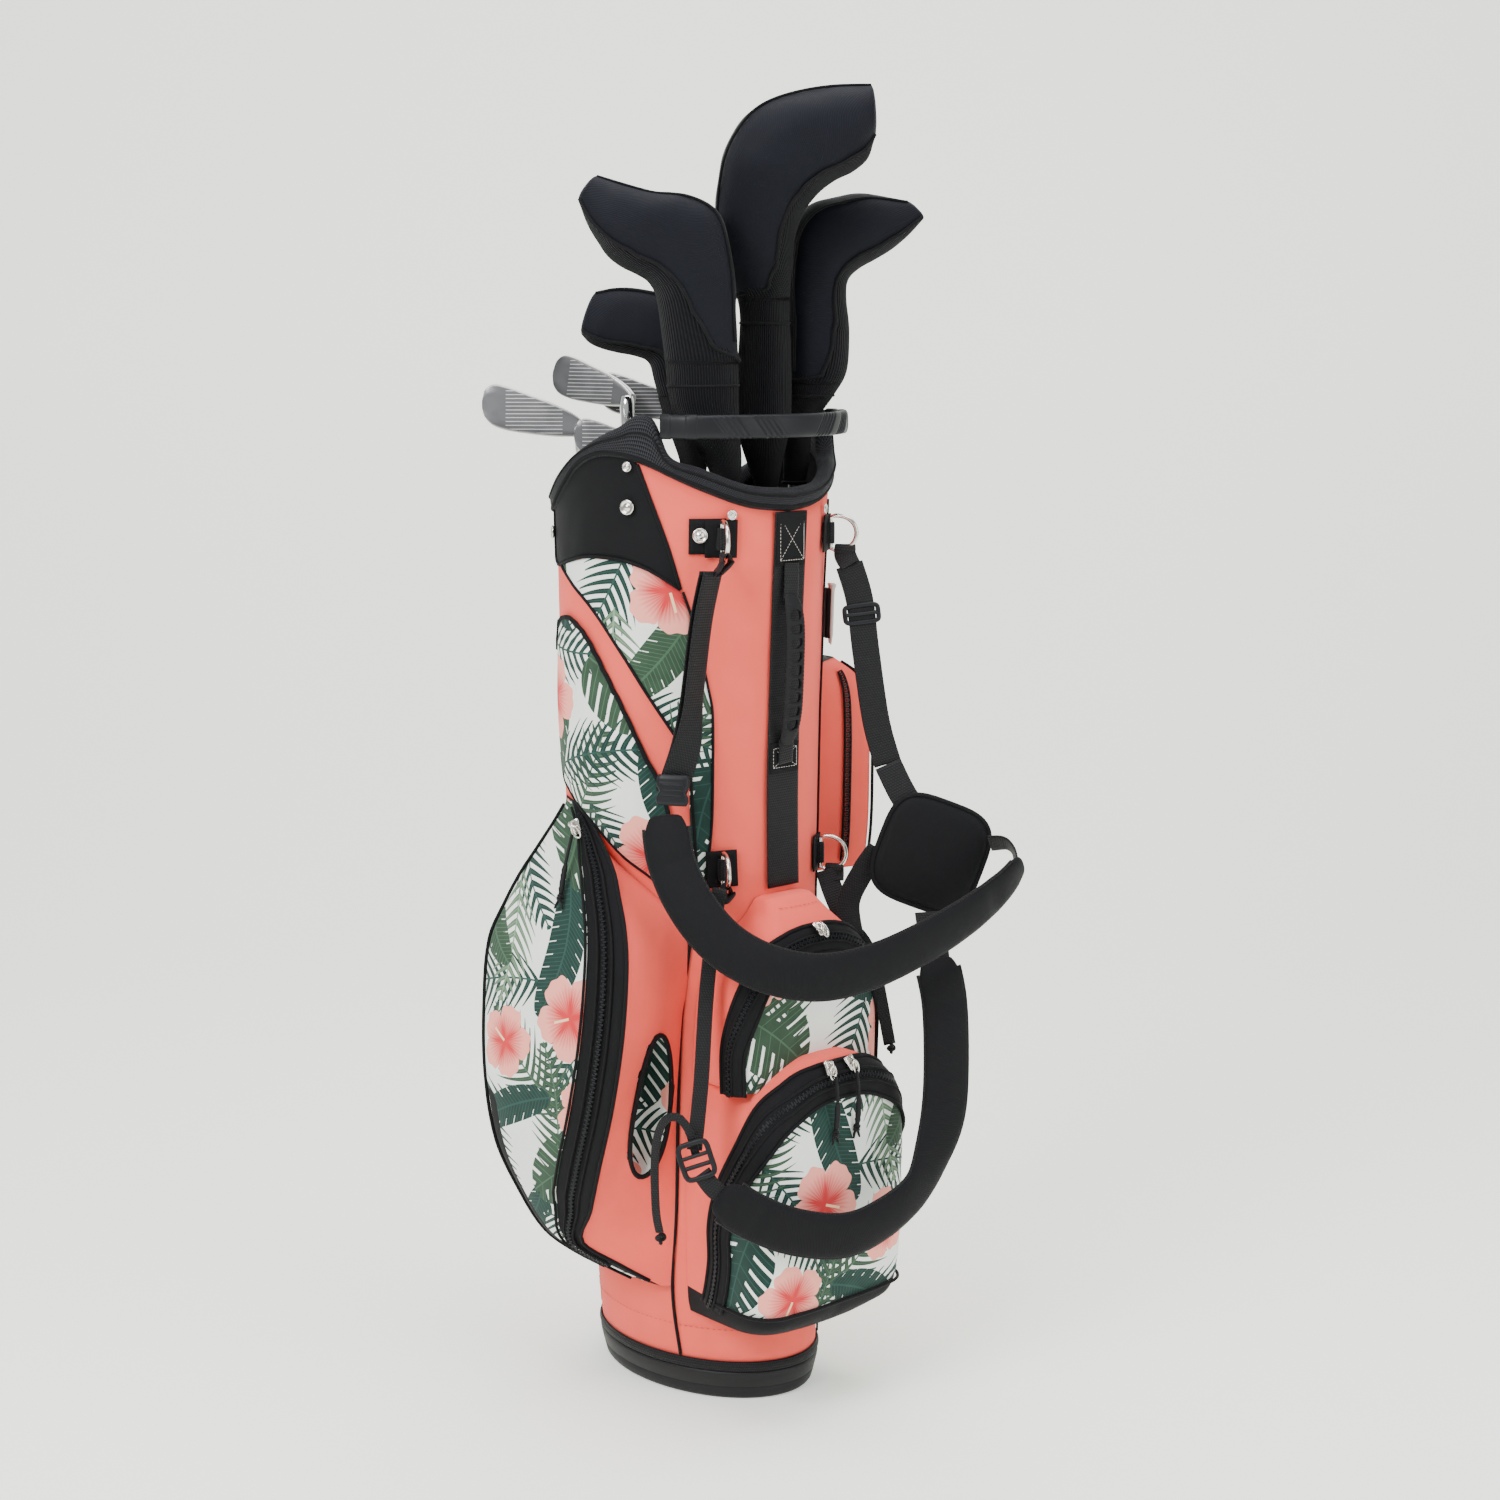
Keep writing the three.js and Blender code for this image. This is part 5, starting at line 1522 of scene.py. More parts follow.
def make_valuables(reach):
    """The zipped valuables pocket on the far side."""
    rows, pins = [], []
    heights = np.concatenate(
        [np.linspace(456, 466, 5)[:-1], np.linspace(466, 632, 24)[:-1], np.linspace(632, 646, 5)]
    )
    for z in heights:
        rear, half, share = read_rows(VALUABLES, z)
        x = 108 + (reach - 108) * share
        start, end = tube(-50, z, 0.6), tube(rear, z, 0.6)
        a, b = np.array([x, -24 - half, z]), np.array([x, -4 + half, z])
        row, pin = [], []
        for t in np.linspace(0, 1, 7)[:-1]:
            row.append(start + (a - start) * t)
            pin.append(t == 0)
        for t in np.linspace(0, 1, 19):
            row.append(a + (b - a) * t + np.array([5 * (1 - (2 * t - 1) ** 4), 0, 0]))
            pin.append(t in (0, 1))
        for t in np.linspace(0, 1, 7)[1:]:
            row.append(b + (end - b) * t)
            pin.append(t == 1)
        rows.append(row)
        pins.append(pin)
    g = np.array(rows)
    count, columns, _ = g.shape
    faces = grid_faces(count, columns)
    faces.append(tuple((count - 1) * columns + c for c in reversed(range(columns))))
    faces.append(tuple(range(columns)))
    look = [1 if 6 <= c < 24 else 0 for _ in range(count - 1) for c in range(columns - 1)] + [2, 2]
    pin = np.array(pins)
    pin[0, :] = pin[-1, :] = True
    obj = piece(
        "valuables_pocket", g.reshape(-1, 3), faces, [coral, print_main, black_canvas], "bag",
        "print_fabric", face_look=look, uv=grid_uv(g)
    )
    inflate(obj, pinned_of(pin), 4.0, 4.0)
    smooth_more(obj)
    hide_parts("valuables_pocket_right")
    zip_between("valuables_zip", g[3:-3, 2] + [0.4, -1.2, 0], g[3:-3, 4] + [0.4, -1.2, 0])
    rod("valuables_piping_front", g[1:-1, 6] + [0.6, -0.4, 0], 1.5)
    rod("valuables_piping_rear", g[1:-1, 24] + [0.6, 0.4, 0], 1.5)


# Height, half width, the face's Y, corner radius, root's angle.
FRONT = [
    (292, 84, -138, 16, 50), (350, 85, -138, 16, 46), (384, 80, -138, 18, 42), (408, 68, -137, 20, 36),
    (426, 50, -134, 18, 28), (440, 36, -124, 12, 20), (456, 26, -106, 5, 14)
]
BALL = [
    (78, 74, -148, 30, 60), (92, 85, -165, 28, 61), (130, 90, -171, 26, 60), (200, 91, -173, 26, 57),
    (250, 89, -172, 24, 54), (280, 81, -169, 24, 50), (300, 66, -166, 22, 42), (314, 42, -162, 18, 26),
    (322, 20, -156, 10, 14)
]


def front_row(rows, z, side_count=9, corner_count=7, face_count=21):
    """One level of a pocket on the front: left gusset, rounded corner, face, corner, gusset."""
    wide, face, radius, root = read_rows(rows, z)
    back = tube(root, z)[1]
    inner = wide - radius
    left_root, right_root = tube(root, z, 0.6), tube(-root, z, 0.6)
    edge_y = face + radius
    row = []
    for t in np.linspace(0, 1, side_count)[:-1]:
        mid = np.array([-wide, min(back - 4, (back + face) / 2), z])
        end = np.array([-wide, edge_y, z])
        row.append((1 - t) ** 2 * left_root + 2 * t * (1 - t) * mid + t * t * end)
    for t in np.linspace(0, 90, corner_count)[:-1]:
        row.append(np.array([-inner - radius * math.cos(t * DEG), edge_y - radius * math.sin(t * DEG), z]))
    for t in np.linspace(-1, 1, face_count):
        row.append(np.array([inner * t, face - 2.5 * (1 - t**4), z]))
    half = row[: side_count - 1 + corner_count - 1]
    for p in reversed(half):
        row.append(np.array([-p[0], p[1], p[2]]))
    row[-1] = right_root
    return row


# The outer edge of each front zip band, up the left side to the middle of its arch.
BALL_EDGE = [
    (-83, -78, 100), (-89, -92, 140), (-90, -99, 175), (-90, -109, 212), (-89, -130, 250),
    (-80, -146, 286), (-60, -156, 304), (-33, -161, 314), (0, -163, 317)
]
FRONT_EDGE = [
    (-84, -110, 294), (-85, -111, 330), (-84, -117, 356), (-77, -123, 386), (-63, -128, 411),
    (-42, -131, 425), (-20, -132, 431), (0, -133, 432)
]
BALL_BAND, FRONT_BAND = 30.0, 24.0
ROW_CACHE = {}


def level_run(rows, z):
    """A pocket's level at a height, with each point's run from the middle of the face."""
    key = (len(rows), round(z, 2))
    if key not in ROW_CACHE:
        row = np.array(front_row(rows, min(max(z, rows[0][0]), rows[-1][0])))
        run = run_along(row)
        ROW_CACHE[key] = (row, run - run[len(row) // 2])
    return ROW_CACHE[key]


def on_skin(rows, u, z, lift=0.0):
    """The place on a pocket's skin at a run from the middle and a height."""

    def at(uu, zz):
        row, run = level_run(rows, zz)
        return np.array([np.interp(uu, run, row[:, k]) for k in range(3)])

    across = at(u + 2, z) - at(u - 2, z)
    rise = at(u, min(z + 3, rows[-1][0])) - at(u, max(z - 3, rows[0][0]))
    return at(u, z) + unit(np.cross(across, rise)) * lift


def flat_edge(rows, edge):
    """A zip band's outer edge laid flat as evenly spaced (run, height) pairs, left foot to right foot."""
    flat = []
    for x, y, z in edge:
        row, run = level_run(rows, z)
        half = len(row) // 2 + 1
        near = np.linalg.norm(row[:half, :2] - np.array([x, y]), axis=1)
        k = int(np.argmin(near))
        flat.append((float(run[k]) if x else 0.0, z, 0))
    flat += [(-u, z, 0) for u, z, _ in reversed(flat[:-1])]
    return spaced(flat, 120)[:, :2]


def inset_edge(flat, inset):
    """A flat edge moved in by a distance."""
    step = np.gradient(flat, axis=0)
    normal = np.stack([step[:, 1], -step[:, 0]], axis=1)
    return flat + normal / np.linalg.norm(normal, axis=1)[:, None] * inset


def inside(loop, u, z):
    """Whether (u, z) lies within an arch closed along its foot."""
    a, b = loop, np.roll(loop, -1, axis=0)
    cross = (a[:, 1] > z) != (b[:, 1] > z)
    with np.errstate(divide="ignore", invalid="ignore"):
        at = (b[:, 0] - a[:, 0]) * (z - a[:, 1]) / (b[:, 1] - a[:, 1]) + a[:, 0]
    return bool(np.count_nonzero(cross & (u < at)) % 2)


def make_front_pocket(tag, rows, heights, node, edge, band, foot, printed):
    """A pocket on the bag's front: gussets, a zip band that runs over its corners, a printed face."""
    flat = flat_edge(rows, edge)
    middle = inset_edge(flat, band / 2)
    middle = np.concatenate([[[middle[0][0], foot - 60]], middle, [[middle[-1][0], foot - 60]]])
    rims = np.concatenate([flat, inset_edge(flat, band)])

    def look_of(p, run):
        if p[2] < foot:
            return 1
        return 2 if inside(middle, run, p[2]) else 0

    grid = np.array([front_row(rows, z) for z in heights])
    count, columns, _ = grid.shape
    run = np.array([level_run(rows, z)[1] for z in heights])
    uv = np.stack([run.ravel(), grid[:, :, 2].ravel()], axis=1) * MM
    faces, look = [], []
    for r in range(count - 1):
        for c in range(columns - 1):
            a = r * columns + c
            faces.append((a, a + 1, a + columns + 1, a + columns))
            u = (run[r, c] + run[r, c + 1]) / 2
            look.append(look_of((grid[r, c] + grid[r + 1, c + 1]) / 2, u))
    faces.append(tuple((count - 1) * columns + c for c in range(columns)))
    faces.append(tuple(reversed(range(columns))))
    look += [0, 1]
    obj = piece(
        f"{tag}_pocket_skin", grid.reshape(-1, 3), faces, [coral, black_canvas, printed], "bag",
        "print_fabric", face_look=look, uv=uv
    )
    pin = np.zeros((count, columns), bool)
    pin[0, :] = pin[-1, :] = pin[:, 0] = pin[:, -1] = True
    for r in range(count):
        for c in range(columns):
            d = np.hypot(rims[:, 0] - run[r, c], rims[:, 1] - heights[r])
            if d.min() < 3.5:
                pin[r, c] = True
    inflate(obj, pinned_of(pin), 4.0, 3.0)
    smooth_more(obj)
    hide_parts(node)
    shares = np.linspace(0, 1, 11)
    strip = [
        [
            on_skin(rows, u, z, 1.3 + 1.9 * math.sin(math.pi * w) ** 0.5)
            for u, z in inset_edge(flat, band * w)
        ]
        for w in shares
    ]
    g = np.array(strip)
    across = np.repeat(shares * band, len(flat))
    along = np.tile(np.linspace(0, arc_length(g[0]), len(flat)), len(shares))
    tape_piece = piece(
        f"{tag}_zip_tape", g.reshape(-1, 3), reversed_faces(grid_faces(len(shares), len(flat))),
        black_canvas, uv=np.stack([across, along], axis=1) * MM
    )
    solidify(tape_piece, 1.8, offset=-1)

    def laid(inset, lift):
        return np.array([on_skin(rows, u, z, lift) for u, z in inset_edge(flat, inset)])

    rod(f"{tag}_arch_outer", laid(0, 1.8), 1.9)
    rod(f"{tag}_arch_inner", laid(band, 1.8), 1.6)
    zip_between(f"{tag}_zip", laid(7, 3.0), laid(band - 9, 3.0), lift=0.6, wide=0.72)


print_ball = printed_cloth("print_ball", (66, 128))
make_front_pocket(
    "ball", BALL,
    np.concatenate(
        [np.linspace(78, 104, 9)[:-1], np.linspace(104, 280, 40)[:-1], np.linspace(280, 322, 18)]
    ),
    "ball_pocket", BALL_EDGE, BALL_BAND, 104, print_ball
)
make_front_pocket(
    "front", FRONT, np.concatenate([np.linspace(294, 350, 12)[:-1], np.linspace(350, 456, 30)]),
    "front_pocket", FRONT_EDGE, FRONT_BAND, 0, print_ball
)
rod("ball_seam_low", [on_skin(BALL, u, 104, 2.6) for u in np.linspace(-150, 150, 70)], 1.5)
stitches("front_flap_stitches", [on_skin(FRONT, u, 447, 1.2) for u in np.linspace(-24, 24, 20)])
make_valuables(136)

# ---- Zip sliders, snaps, rings --------------------------------------------------------------------


def frame_of(out, up):
    out = unit(out)
    side = unit(np.cross(up, out))
    return side, np.cross(out, side), out


def make_slider(name, node, body, centre, out, up):
    """A cast slider: a bridged body with flared wings and a pierced pull."""
    side, top, out = frame_of(out, up)
    c = np.asarray(centre, float)
    at = lambda x, y, z: c + side * x + top * y + out * z
    rings = []
    for y, half in ((-6.5, 2.6), (-5.5, 3.7), (-2, 4.1), (1.5, 4.8), (4.5, 5.8), (6, 5.2), (6.5, 4.2)):
        rings.append([at(x * half, y, z * 1.9 - 0.6) for x, z in round_outline(1, 1, 4, 14)])
    rings_piece(name + "_plate", rings, nickel, body, "nickel")
    bridge = [at(0, y, z) for y, z in ((-5, 1), (-4, 3.2), (-1.5, 4.6), (1.5, 4.6), (4, 3.2), (5, 1))]
    obj = rings_piece(
        name + "_bridge",
        sweep_rings(spaced(bridge, 16), round_outline(1.5, 0.8, 3, 10), face=lambda t: side), nickel,
        body, "nickel"
    )
    loop = [
        at(3.1 * math.sin(t), -4.6 - 5.4 * math.cos(t), 3.6 - 1.6 * math.cos(t)) for t in full_turn(28)
    ]
    rod(name + "_pull_loop", loop, 0.95, nickel, body, "nickel", looped=True)
    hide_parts(node)


make_slider(
    "ball_slide_left", "ball_slider_left", "ball_zip_left", (-16, -171, 315), (0, -0.9, 0.43),
    (0.2, 0, 1)
)
make_slider(
    "ball_slide_right", "ball_slider_right", "ball_zip_right", (10, -171, 315), (0, -0.9, 0.43),
    (-0.2, 0, 1)
)
make_slider("front_slide", "front_slider", "front_zip", (0, -143, 431), (0, -0.7, 0.71), (0, 0.3, 1))
make_slider(
    "apparel_slide", "apparel_slider_left", "apparel_zip", (-128, 30, 513), (-0.9, -0.42, 0.1),
    (0.42, 0.64, 0.643)
)


def turned(name, centre, out, profile, look, body, slot, count=24):
    """A turned part: profile of (radius, rise) along its axis."""
    side, top, out = frame_of(out, (0, 0.1, 1) if abs(unit(out)[2]) < 0.9 else (1, 0, 0))
    c = np.asarray(centre, float)
    rings = [
        [c + side * r * math.cos(t) + top * r * math.sin(t) + out * h for t in full_turn(count)]
        for r, h in profile
    ]
    return rings_piece(name, rings, look, body, slot)


# Radius and rise of a snap's profile.
SNAP = [
    (0.4, -0.6), (5.6, -0.6), (6.6, 0.2), (6.6, 1.0), (5.7, 1.8), (4.8, 1.1), (4.0, 0.5), (3.0, 0.6),
    (2.3, 1.6), (0.4, 1.8)
]
for _i, (_angle, _z, _size) in enumerate(
    [
        (39.5, 770, 1.0), (69, 827, 0.66), (69, 793, 1.0), (27, 787, 0.66), (-26.5, 787, 0.66),
        (125, 765, 0.9)
    ]
):
    turned(
        f"snap_{_i + 1}", tube(_angle, _z, 2.9), tube_out(_angle, _z),
        [(r * _size, h * _size) for r, h in SNAP], nickel, "bag", "nickel"
    )

# Each D-ring's angle and height.
RINGS = {
    "ring_upper_left": (31, 767), "ring_upper_right": (-33, 765), "ring_lower_left": (30, 482),
    "ring_lower_right": (-33, 480)
}


def make_ring(name, angle, z):
    """A welded D: a straight bar next to the bag and a bow standing off it."""
    out = tube_out(angle, z)
    base = tube(angle, z, 5)
    path = []
    for t in np.linspace(-1, 1, 9):
        path.append(base + UP * (13.5 * t))
    for t in np.linspace(90, -90, 25):
        c, s = math.cos(t * DEG), math.sin(t * DEG)
        path.append(base + out * (4 + 19 * max(c, 0) ** 0.8) + UP * 15 * s)
    rings = sweep_rings(np.array(path), round_outline(2.0, 2.0, count=12), looped=True)
    obj = rings_piece(name + "_wire", rings, nickel, name + "_body", "nickel", looped=True)
    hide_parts(name)
    strap = [
        base + out * o + np.cross(UP, out) * w
        for o, w in (
            (-4.2, 12), (-3.9, 6), (-2.6, 2.8), (0.4, 2.9), (2.9, 0.6), (2.6, -1.6), (0.2, -3.1),
            (-2.6, -3.0), (-3.9, -6), (-4.2, -12)
        )
    ]
    steps = np.gradient(np.array(strap), axis=0)

    def keeper_face(t):
        return out if t in (0, 1) else unit(np.cross(UP, steps[min(9, int(t * 9))]))

    sweep_piece(name + "_keeper", strap, 9.5, 0.7, tape, "bag", "webbing", keeper_face, count=24)
    patch = [tube(angle, z - 16 + 32 * t, 1.6) for t in np.linspace(0, 1, 6)]
    sweep_piece(name + "_patch", patch, 14, 0.8, black_canvas, "bag", "webbing", lambda t: out, count=8)


for _name, (_angle, _z) in RINGS.items():
    make_ring(_name, _angle, _z)


def along_at(path, count=60):
    """The way along a path at a share of its length."""
    even = spaced(path, count)
    return lambda t: unit(
        even[min(count - 1, int(t * (count - 1)) + 1)] - even[max(0, int(t * (count - 1)) - 1)]
    )


def ring_loop(name, ring, foot, half_wide):
    """A webbing end passed round a D-ring's lower bend, from a foot on the bag."""
    angle, z = RINGS[ring]
    out = tube_out(angle, z)
    tangent = unit(np.cross(UP, out))
    wire = tube(angle, z, 5) + out * 13 - UP * 13.2
    foot = np.array(foot, float)
    path = [
        foot + tangent * 1.4, wire + tangent * 3.6 - UP * 6, wire + tangent * 2.9, wire + UP * 3.0,
        wire - tangent * 2.9, wire - tangent * 3.6 - UP * 6, foot - tangent * 1.4
    ]
    way = along_at(path)
    blend_strap(
        name, path, half_wide, 0.8, tape, "webbing", lambda t: np.cross(out, way(t)), "bag",
        ring + "_body", foot, wire, count=40
    )


ring_loop("upper_left_ring_loop", "ring_upper_left", (-84, -102, 738), 9)
ring_loop("upper_right_ring_loop", "ring_upper_right", (73, -106, 738), 9)
ring_loop("lower_left_ring_loop", "ring_lower_left", (-80, -103, 458), 6.5)
ring_loop("lower_right_ring_loop", "ring_lower_right", (66, -96, 456), 8)
tube_patch(
    "ring_patch_wide", black_canvas, lambda a: 754, lambda a: 784, 44, 29, 1.6, 1.0, "webbing",
    columns=10, rows=8
)

# ---- Harness --------------------------------------------------------------------------------------

STRAP_UPPER_LEFT = [
    (-86, -101, 742), (-90, -93, 701), (-94, -88, 650), (-98, -83, 599), (-105, -76, 566),
    (-109, -73, 553)
]
PAD_LEFT = [
    (-117, -74, 537), (-120, -84, 500), (-116, -105, 463), (-102, -131, 431), (-78, -161, 411),
    (-44, -187, 403), (-3, -205, 408), (42, -221, 423), (88, -231, 441), (125, -238, 461),
    (150, -242, 482)
]
PAD_RIGHT = [
    (81, -204, 402), (83, -213, 365), (81, -218, 313), (76, -220, 269), (63, -220, 236),
    (40, -220, 205), (4, -213, 185), (-35, -206, 179), (-80, -192, 190), (-117, -177, 210),
    (-140, -164, 230)
]
STRAP_UPPER_RIGHT = [(73, -105, 738), (79, -112, 707), (80, -119, 663), (83, -129, 602), (88, -139, 564)]


def outward(path):
    """A strap's outward side, plainly away from the bag's middle."""
    even = spaced(path, 60)
    return lambda t: unit([*(even[min(59, int(round(t * 59)))][:2] - np.array([0, MIDDLE_Y])), 0])


def towards(path, way, low, high):
    """A strap's outward side that turns from a given way to plain outward between two shares."""
    plain = outward(path)

    def face(t):
        s = min(1, max(0, (t - low) / (high - low)))
        s = s * s * (3 - 2 * s)
        return unit(np.asarray(way, float) * (1 - s) + plain(t) * s)

    return face


TO_LENS = unit((-0.55, -0.83, 0))


def make_pad(name, node, path, half_wide, half_thick, face):
    """A shoulder pad: a puffed cloth tube with piped edges and stitched cross seams."""
    n, m = 76, 22
    even = spaced(path, n)
    shape = round_outline(half_wide * 0.97, half_thick * 0.74, 2.3, m)

    def at(t):
        end = min(1, t * 16 + 0.35, (1 - t) * 16 + 0.35)
        cut = min(1, abs(t - 0.1) * 40 + 0.45, abs(t - 0.9) * 40 + 0.45)
        return shape * np.array([min(1, end**0.4), end**0.5 * cut])

    rings = sweep_rings(even, at, face=face)
    obj = rings_piece(name, rings, pad_look)
    edge = [r * m + k for r in range(n) for k in range(m) if abs(shape[k, 0]) > half_wide * 0.93]
    held = edge + list(range(m)) + list(range((n - 1) * m, n * m))
    held += [
        r * m + k for r in range(n) for k in range(m)
        if abs(r / (n - 1) - 0.1) < 0.007 or abs(r / (n - 1) - 0.9) < 0.007
    ]
    inflate(obj, sorted(set(held)), 4.0, 2.4)
    smooth_more(obj)
    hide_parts(node)
    for tag, way in (("a", -1), ("b", 1)):
        side = sweep_rings(
            even[2:-2], np.array([[way * half_wide * 0.95, 0.0]]), face=lambda t: face(0.03 + 0.94 * t)
        )
        rod(f"{name}_piping_{tag}", side[:, 0], 1.5, tape, sides=7)


pad_look = twill("pad_cloth", (0.006, 0.006, 0.007), 1.3)
make_pad("pad_left_cloth", "shoulder_pad_left", PAD_LEFT, 20.5, 8, outward(PAD_LEFT))
make_pad("pad_right_cloth", "shoulder_pad_right", PAD_RIGHT, 20, 8, towards(PAD_RIGHT, TO_LENS, 0.3, 0.55))


def strap(name, path, half_wide, node=None, thick=1.0, count=None, face=None):
    obj = sweep_piece(
        name, path, half_wide, thick, tape, "bag", "webbing", face or outward(path), count=count
    )
    if node:
        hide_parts(node)


strap(
    "strap_left_upper", STRAP_UPPER_LEFT, 12.3, "strap_upper_left", count=40,
    face=towards(STRAP_UPPER_LEFT, (0.15, -0.99, 0), 0.55, 0.95)
)
strap(
    "strap_left_return", [np.array(p) + np.array([-3.5, 4.0, 0]) for p in STRAP_UPPER_LEFT], 9.0,
    thick=0.8, count=40, face=towards(STRAP_UPPER_LEFT, (0.1, -0.99, 0), 0.5, 0.95)
)
strap("strap_right_upper", STRAP_UPPER_RIGHT, 12.3, "strap_upper_right", count=40, face=lambda t: TO_LENS)

HIP_CENTRE = np.array([110.0, -171.0, 485.0])
HIP_ACROSS = unit((0.77, -0.64, 0))
HIP_NORMAL = unit((0.64, 0.77, 0))
HIP_HALF_WIDE, HIP_HALF_TALL = 49, 50


def make_hip_pad():
    """The lumbar pad: a rounded diamond cushion with a quilted middle and a bound edge."""
    count = 56
    ring_rows = []
    for shift, scales in (
        (-1, (0.03, 0.3, 0.55, 0.78, 0.92)), (0, (1.0,)), (1, (0.92, 0.78, 0.55, 0.3, 0.03))
    ):
        for scale in scales:
            thick = 5.6 * (1 - scale**6) ** 0.5 if scale < 1 else 0
            thick *= 1 - 0.35 * math.exp(-(((scale - 0.62) / 0.05) ** 2))
            ring = []
            for i in range(count):
                t = i / count * 2 * math.pi
                x = signed_power(math.cos(t), 0.56)
                y = signed_power(math.sin(t), 0.56)
                c, s = x * 0.9 + y * 0.34, y * 0.9 - x * 0.34
                ring.append(
                    HIP_CENTRE + HIP_NORMAL * shift * thick
                    + (HIP_ACROSS * c * HIP_HALF_WIDE + UP * s * HIP_HALF_TALL) * scale
                )
            ring_rows.append(ring)
    obj = rings_piece("hip_cushion", ring_rows, pad_look)
    flat = np.array(ring_rows).reshape(-1, 3) - HIP_CENTRE
    set_uv(obj, np.stack([flat @ HIP_ACROSS, flat @ UP], axis=1) * MM)
    pinned = list(
        range(5 * count, 6 * count)
    ) + list(range(3 * count, 4 * count)) + list(range(7 * count, 8 * count))
    inflate(obj, pinned, 3.0, 2.0)
    smooth_more(obj)
    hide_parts("hip_pad")
    rod("hip_binding", ring_rows[5], 2.2, looped=True)


make_hip_pad()


def framed(name, centre, along, face, half_wide, half_long, bar, half_thick, look, body, slot, wave=0.0):
    """A moulded frame: a rounded rectangular loop with a cross bar."""
    along = unit(along)
    face = square_to(np.array(face, float), along)
    across = np.cross(along, face)
    c = np.asarray(centre, float)
    loop = []
    for t in full_turn(44):
        x = signed_power(math.cos(t), 0.35) * (half_wide - bar / 2)
        y = signed_power(math.sin(t), 0.35) * (half_long - bar / 2)
        loop.append(c + across * x + along * y + face * wave * math.cos(y / half_long * 4.5))
    obj = rings_piece(
        name,
        sweep_rings(
            np.array(loop), round_outline(bar / 2, half_thick, 3.5, 12), face=lambda t: face,
            looped=True
        ),
        look, body, slot, looped=True
    )
    return obj, across, c


def make_ladder_lock():
    along, face = (0.1, -0.35, -0.93), (-0.75, -0.62, 0.15)
    obj, across, c = framed(
        "ladder_lock_frame", (-151, -148, 258), along, face, 15, 17, 4.4, 2.6, moulded, "bag",
        "moulded_plastic", 0.7
    )
    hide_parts("ladder_lock_left")
    a = unit(along)
    f = square_to(np.array(face), a)
    for tag, y, r in (("bar_mid", -4.0, 1.7), ("bar_low", 4.5, 1.9)):
        rod(
            f"ladder_lock_{tag}",
            [
                c + across * x + a * y + f * (0.9 if tag == "bar_mid" else 0)
                for x in np.linspace(-13, 13, 9)
            ],
            r, moulded, "bag", "moulded_plastic"
        )


make_ladder_lock()


def make_adjuster():
    path = spaced(STRAP_UPPER_RIGHT, 101)
    centre, along = path[25], unit(path[26] - path[24])
    face = TO_LENS
    obj, across, c = framed(
        "strap_adjuster_frame", centre, along, face, 17, 9.5, 4.0, 2.6, moulded, "strap_adjuster",
        "moulded_plastic"
    )
    f = square_to(face, along)
    rod(
        "strap_adjuster_bar", [c + across * x + f * 1.8 for x in np.linspace(-15, 15, 9)], 1.8, moulded,
        "strap_adjuster", "moulded_plastic"
    )
    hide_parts("strap_adjuster_right")


make_adjuster()

LOWER_LEFT = [(-81, -103, 471), (-88, -102, 437), (-103, -109, 380), (-120, -121, 315), (-141, -135, 262)]
LOWER_LEFT_TAIL = [
    (-148, -144, 262), (-150, -138, 281), (-155, -130, 292), (-160, -119, 288), (-161, -110, 269),
    (-159, -105, 241), (-156, -103, 204), (-151, -102, 184)
]
UPPER_RIGHT_LOW = [(88, -139, 564), (92, -152, 540), (98, -163, 522)]
LOWER_RIGHT = [
    (63, -88, 465), (61, -101, 444), (63, -116, 419), (59, -125, 410), (61, -118, 440), (68, -128, 468),
    (76, -140, 490)
]
RIGHT_TAIL = [(66, -126, 413), (72, -131, 401), (77, -137, 377), (82, -142, 342), (86, -146, 312)]

strap("lower_left_web", LOWER_LEFT, 6.5, thick=0.8, count=50)
strap(
    "lower_left_web_back", [np.array(p) + np.array([2.2, 2.2, 0.5]) for p in LOWER_LEFT], 6.2,
    thick=0.7, count=50
)
strap("lower_left_tail", LOWER_LEFT_TAIL, 3.6, thick=0.8, count=44, face=lambda t: (-0.8, -0.5, 0.2))
strap("upper_right_web_low", UPPER_RIGHT_LOW, 12.3, count=16, face=lambda t: TO_LENS)
strap("lower_right_web", LOWER_RIGHT[:4], 9.5, thick=0.8, count=24, face=lambda t: TO_LENS)
strap("lower_right_web_return", LOWER_RIGHT[3:], 10.5, thick=0.8, count=26, face=lambda t: TO_LENS)
strap("lower_right_tail", RIGHT_TAIL, 5.5, thick=0.8, count=26, face=lambda t: TO_LENS)
strap(
    "pad_link_web", [(146, -239, 479), (149, -233, 491), (148, -224, 497), (141, -212, 496)], 11,
    thick=0.9, count=20, face=lambda t: (0.75, -0.3, 0.55)
)
strap(
    "pad_right_end_web", [(-137, -165, 228), (-144, -160, 236), (-149, -152, 248)], 8, thick=0.9,
    count=12, face=lambda t: TO_LENS
)
strap(
    "pad_right_top_web", [(82, -203, 398), (86, -196, 418), (92, -186, 438)], 13, thick=0.9, count=14,
    face=lambda t: TO_LENS
)


def knot(name, centre, size):
    points = []
    for a in full_turn(60):
        x, y = math.sin(a) + 2 * math.sin(2 * a), math.cos(a) - 2 * math.cos(2 * a)
        z = -math.sin(3 * a)
        points.append(np.array(centre) + np.array([x * 0.9, z * 1.1, y]) * size / 3)
    rod(name, points, size * 0.42, tape, "bag", "webbing", looped=True)


knot("left_tail_knot", (-149, -101, 178), 4.2)
knot("right_web_knot", (60, -127, 408), 5.2)
knot("right_tail_knot", (87, -147, 308), 3.6)


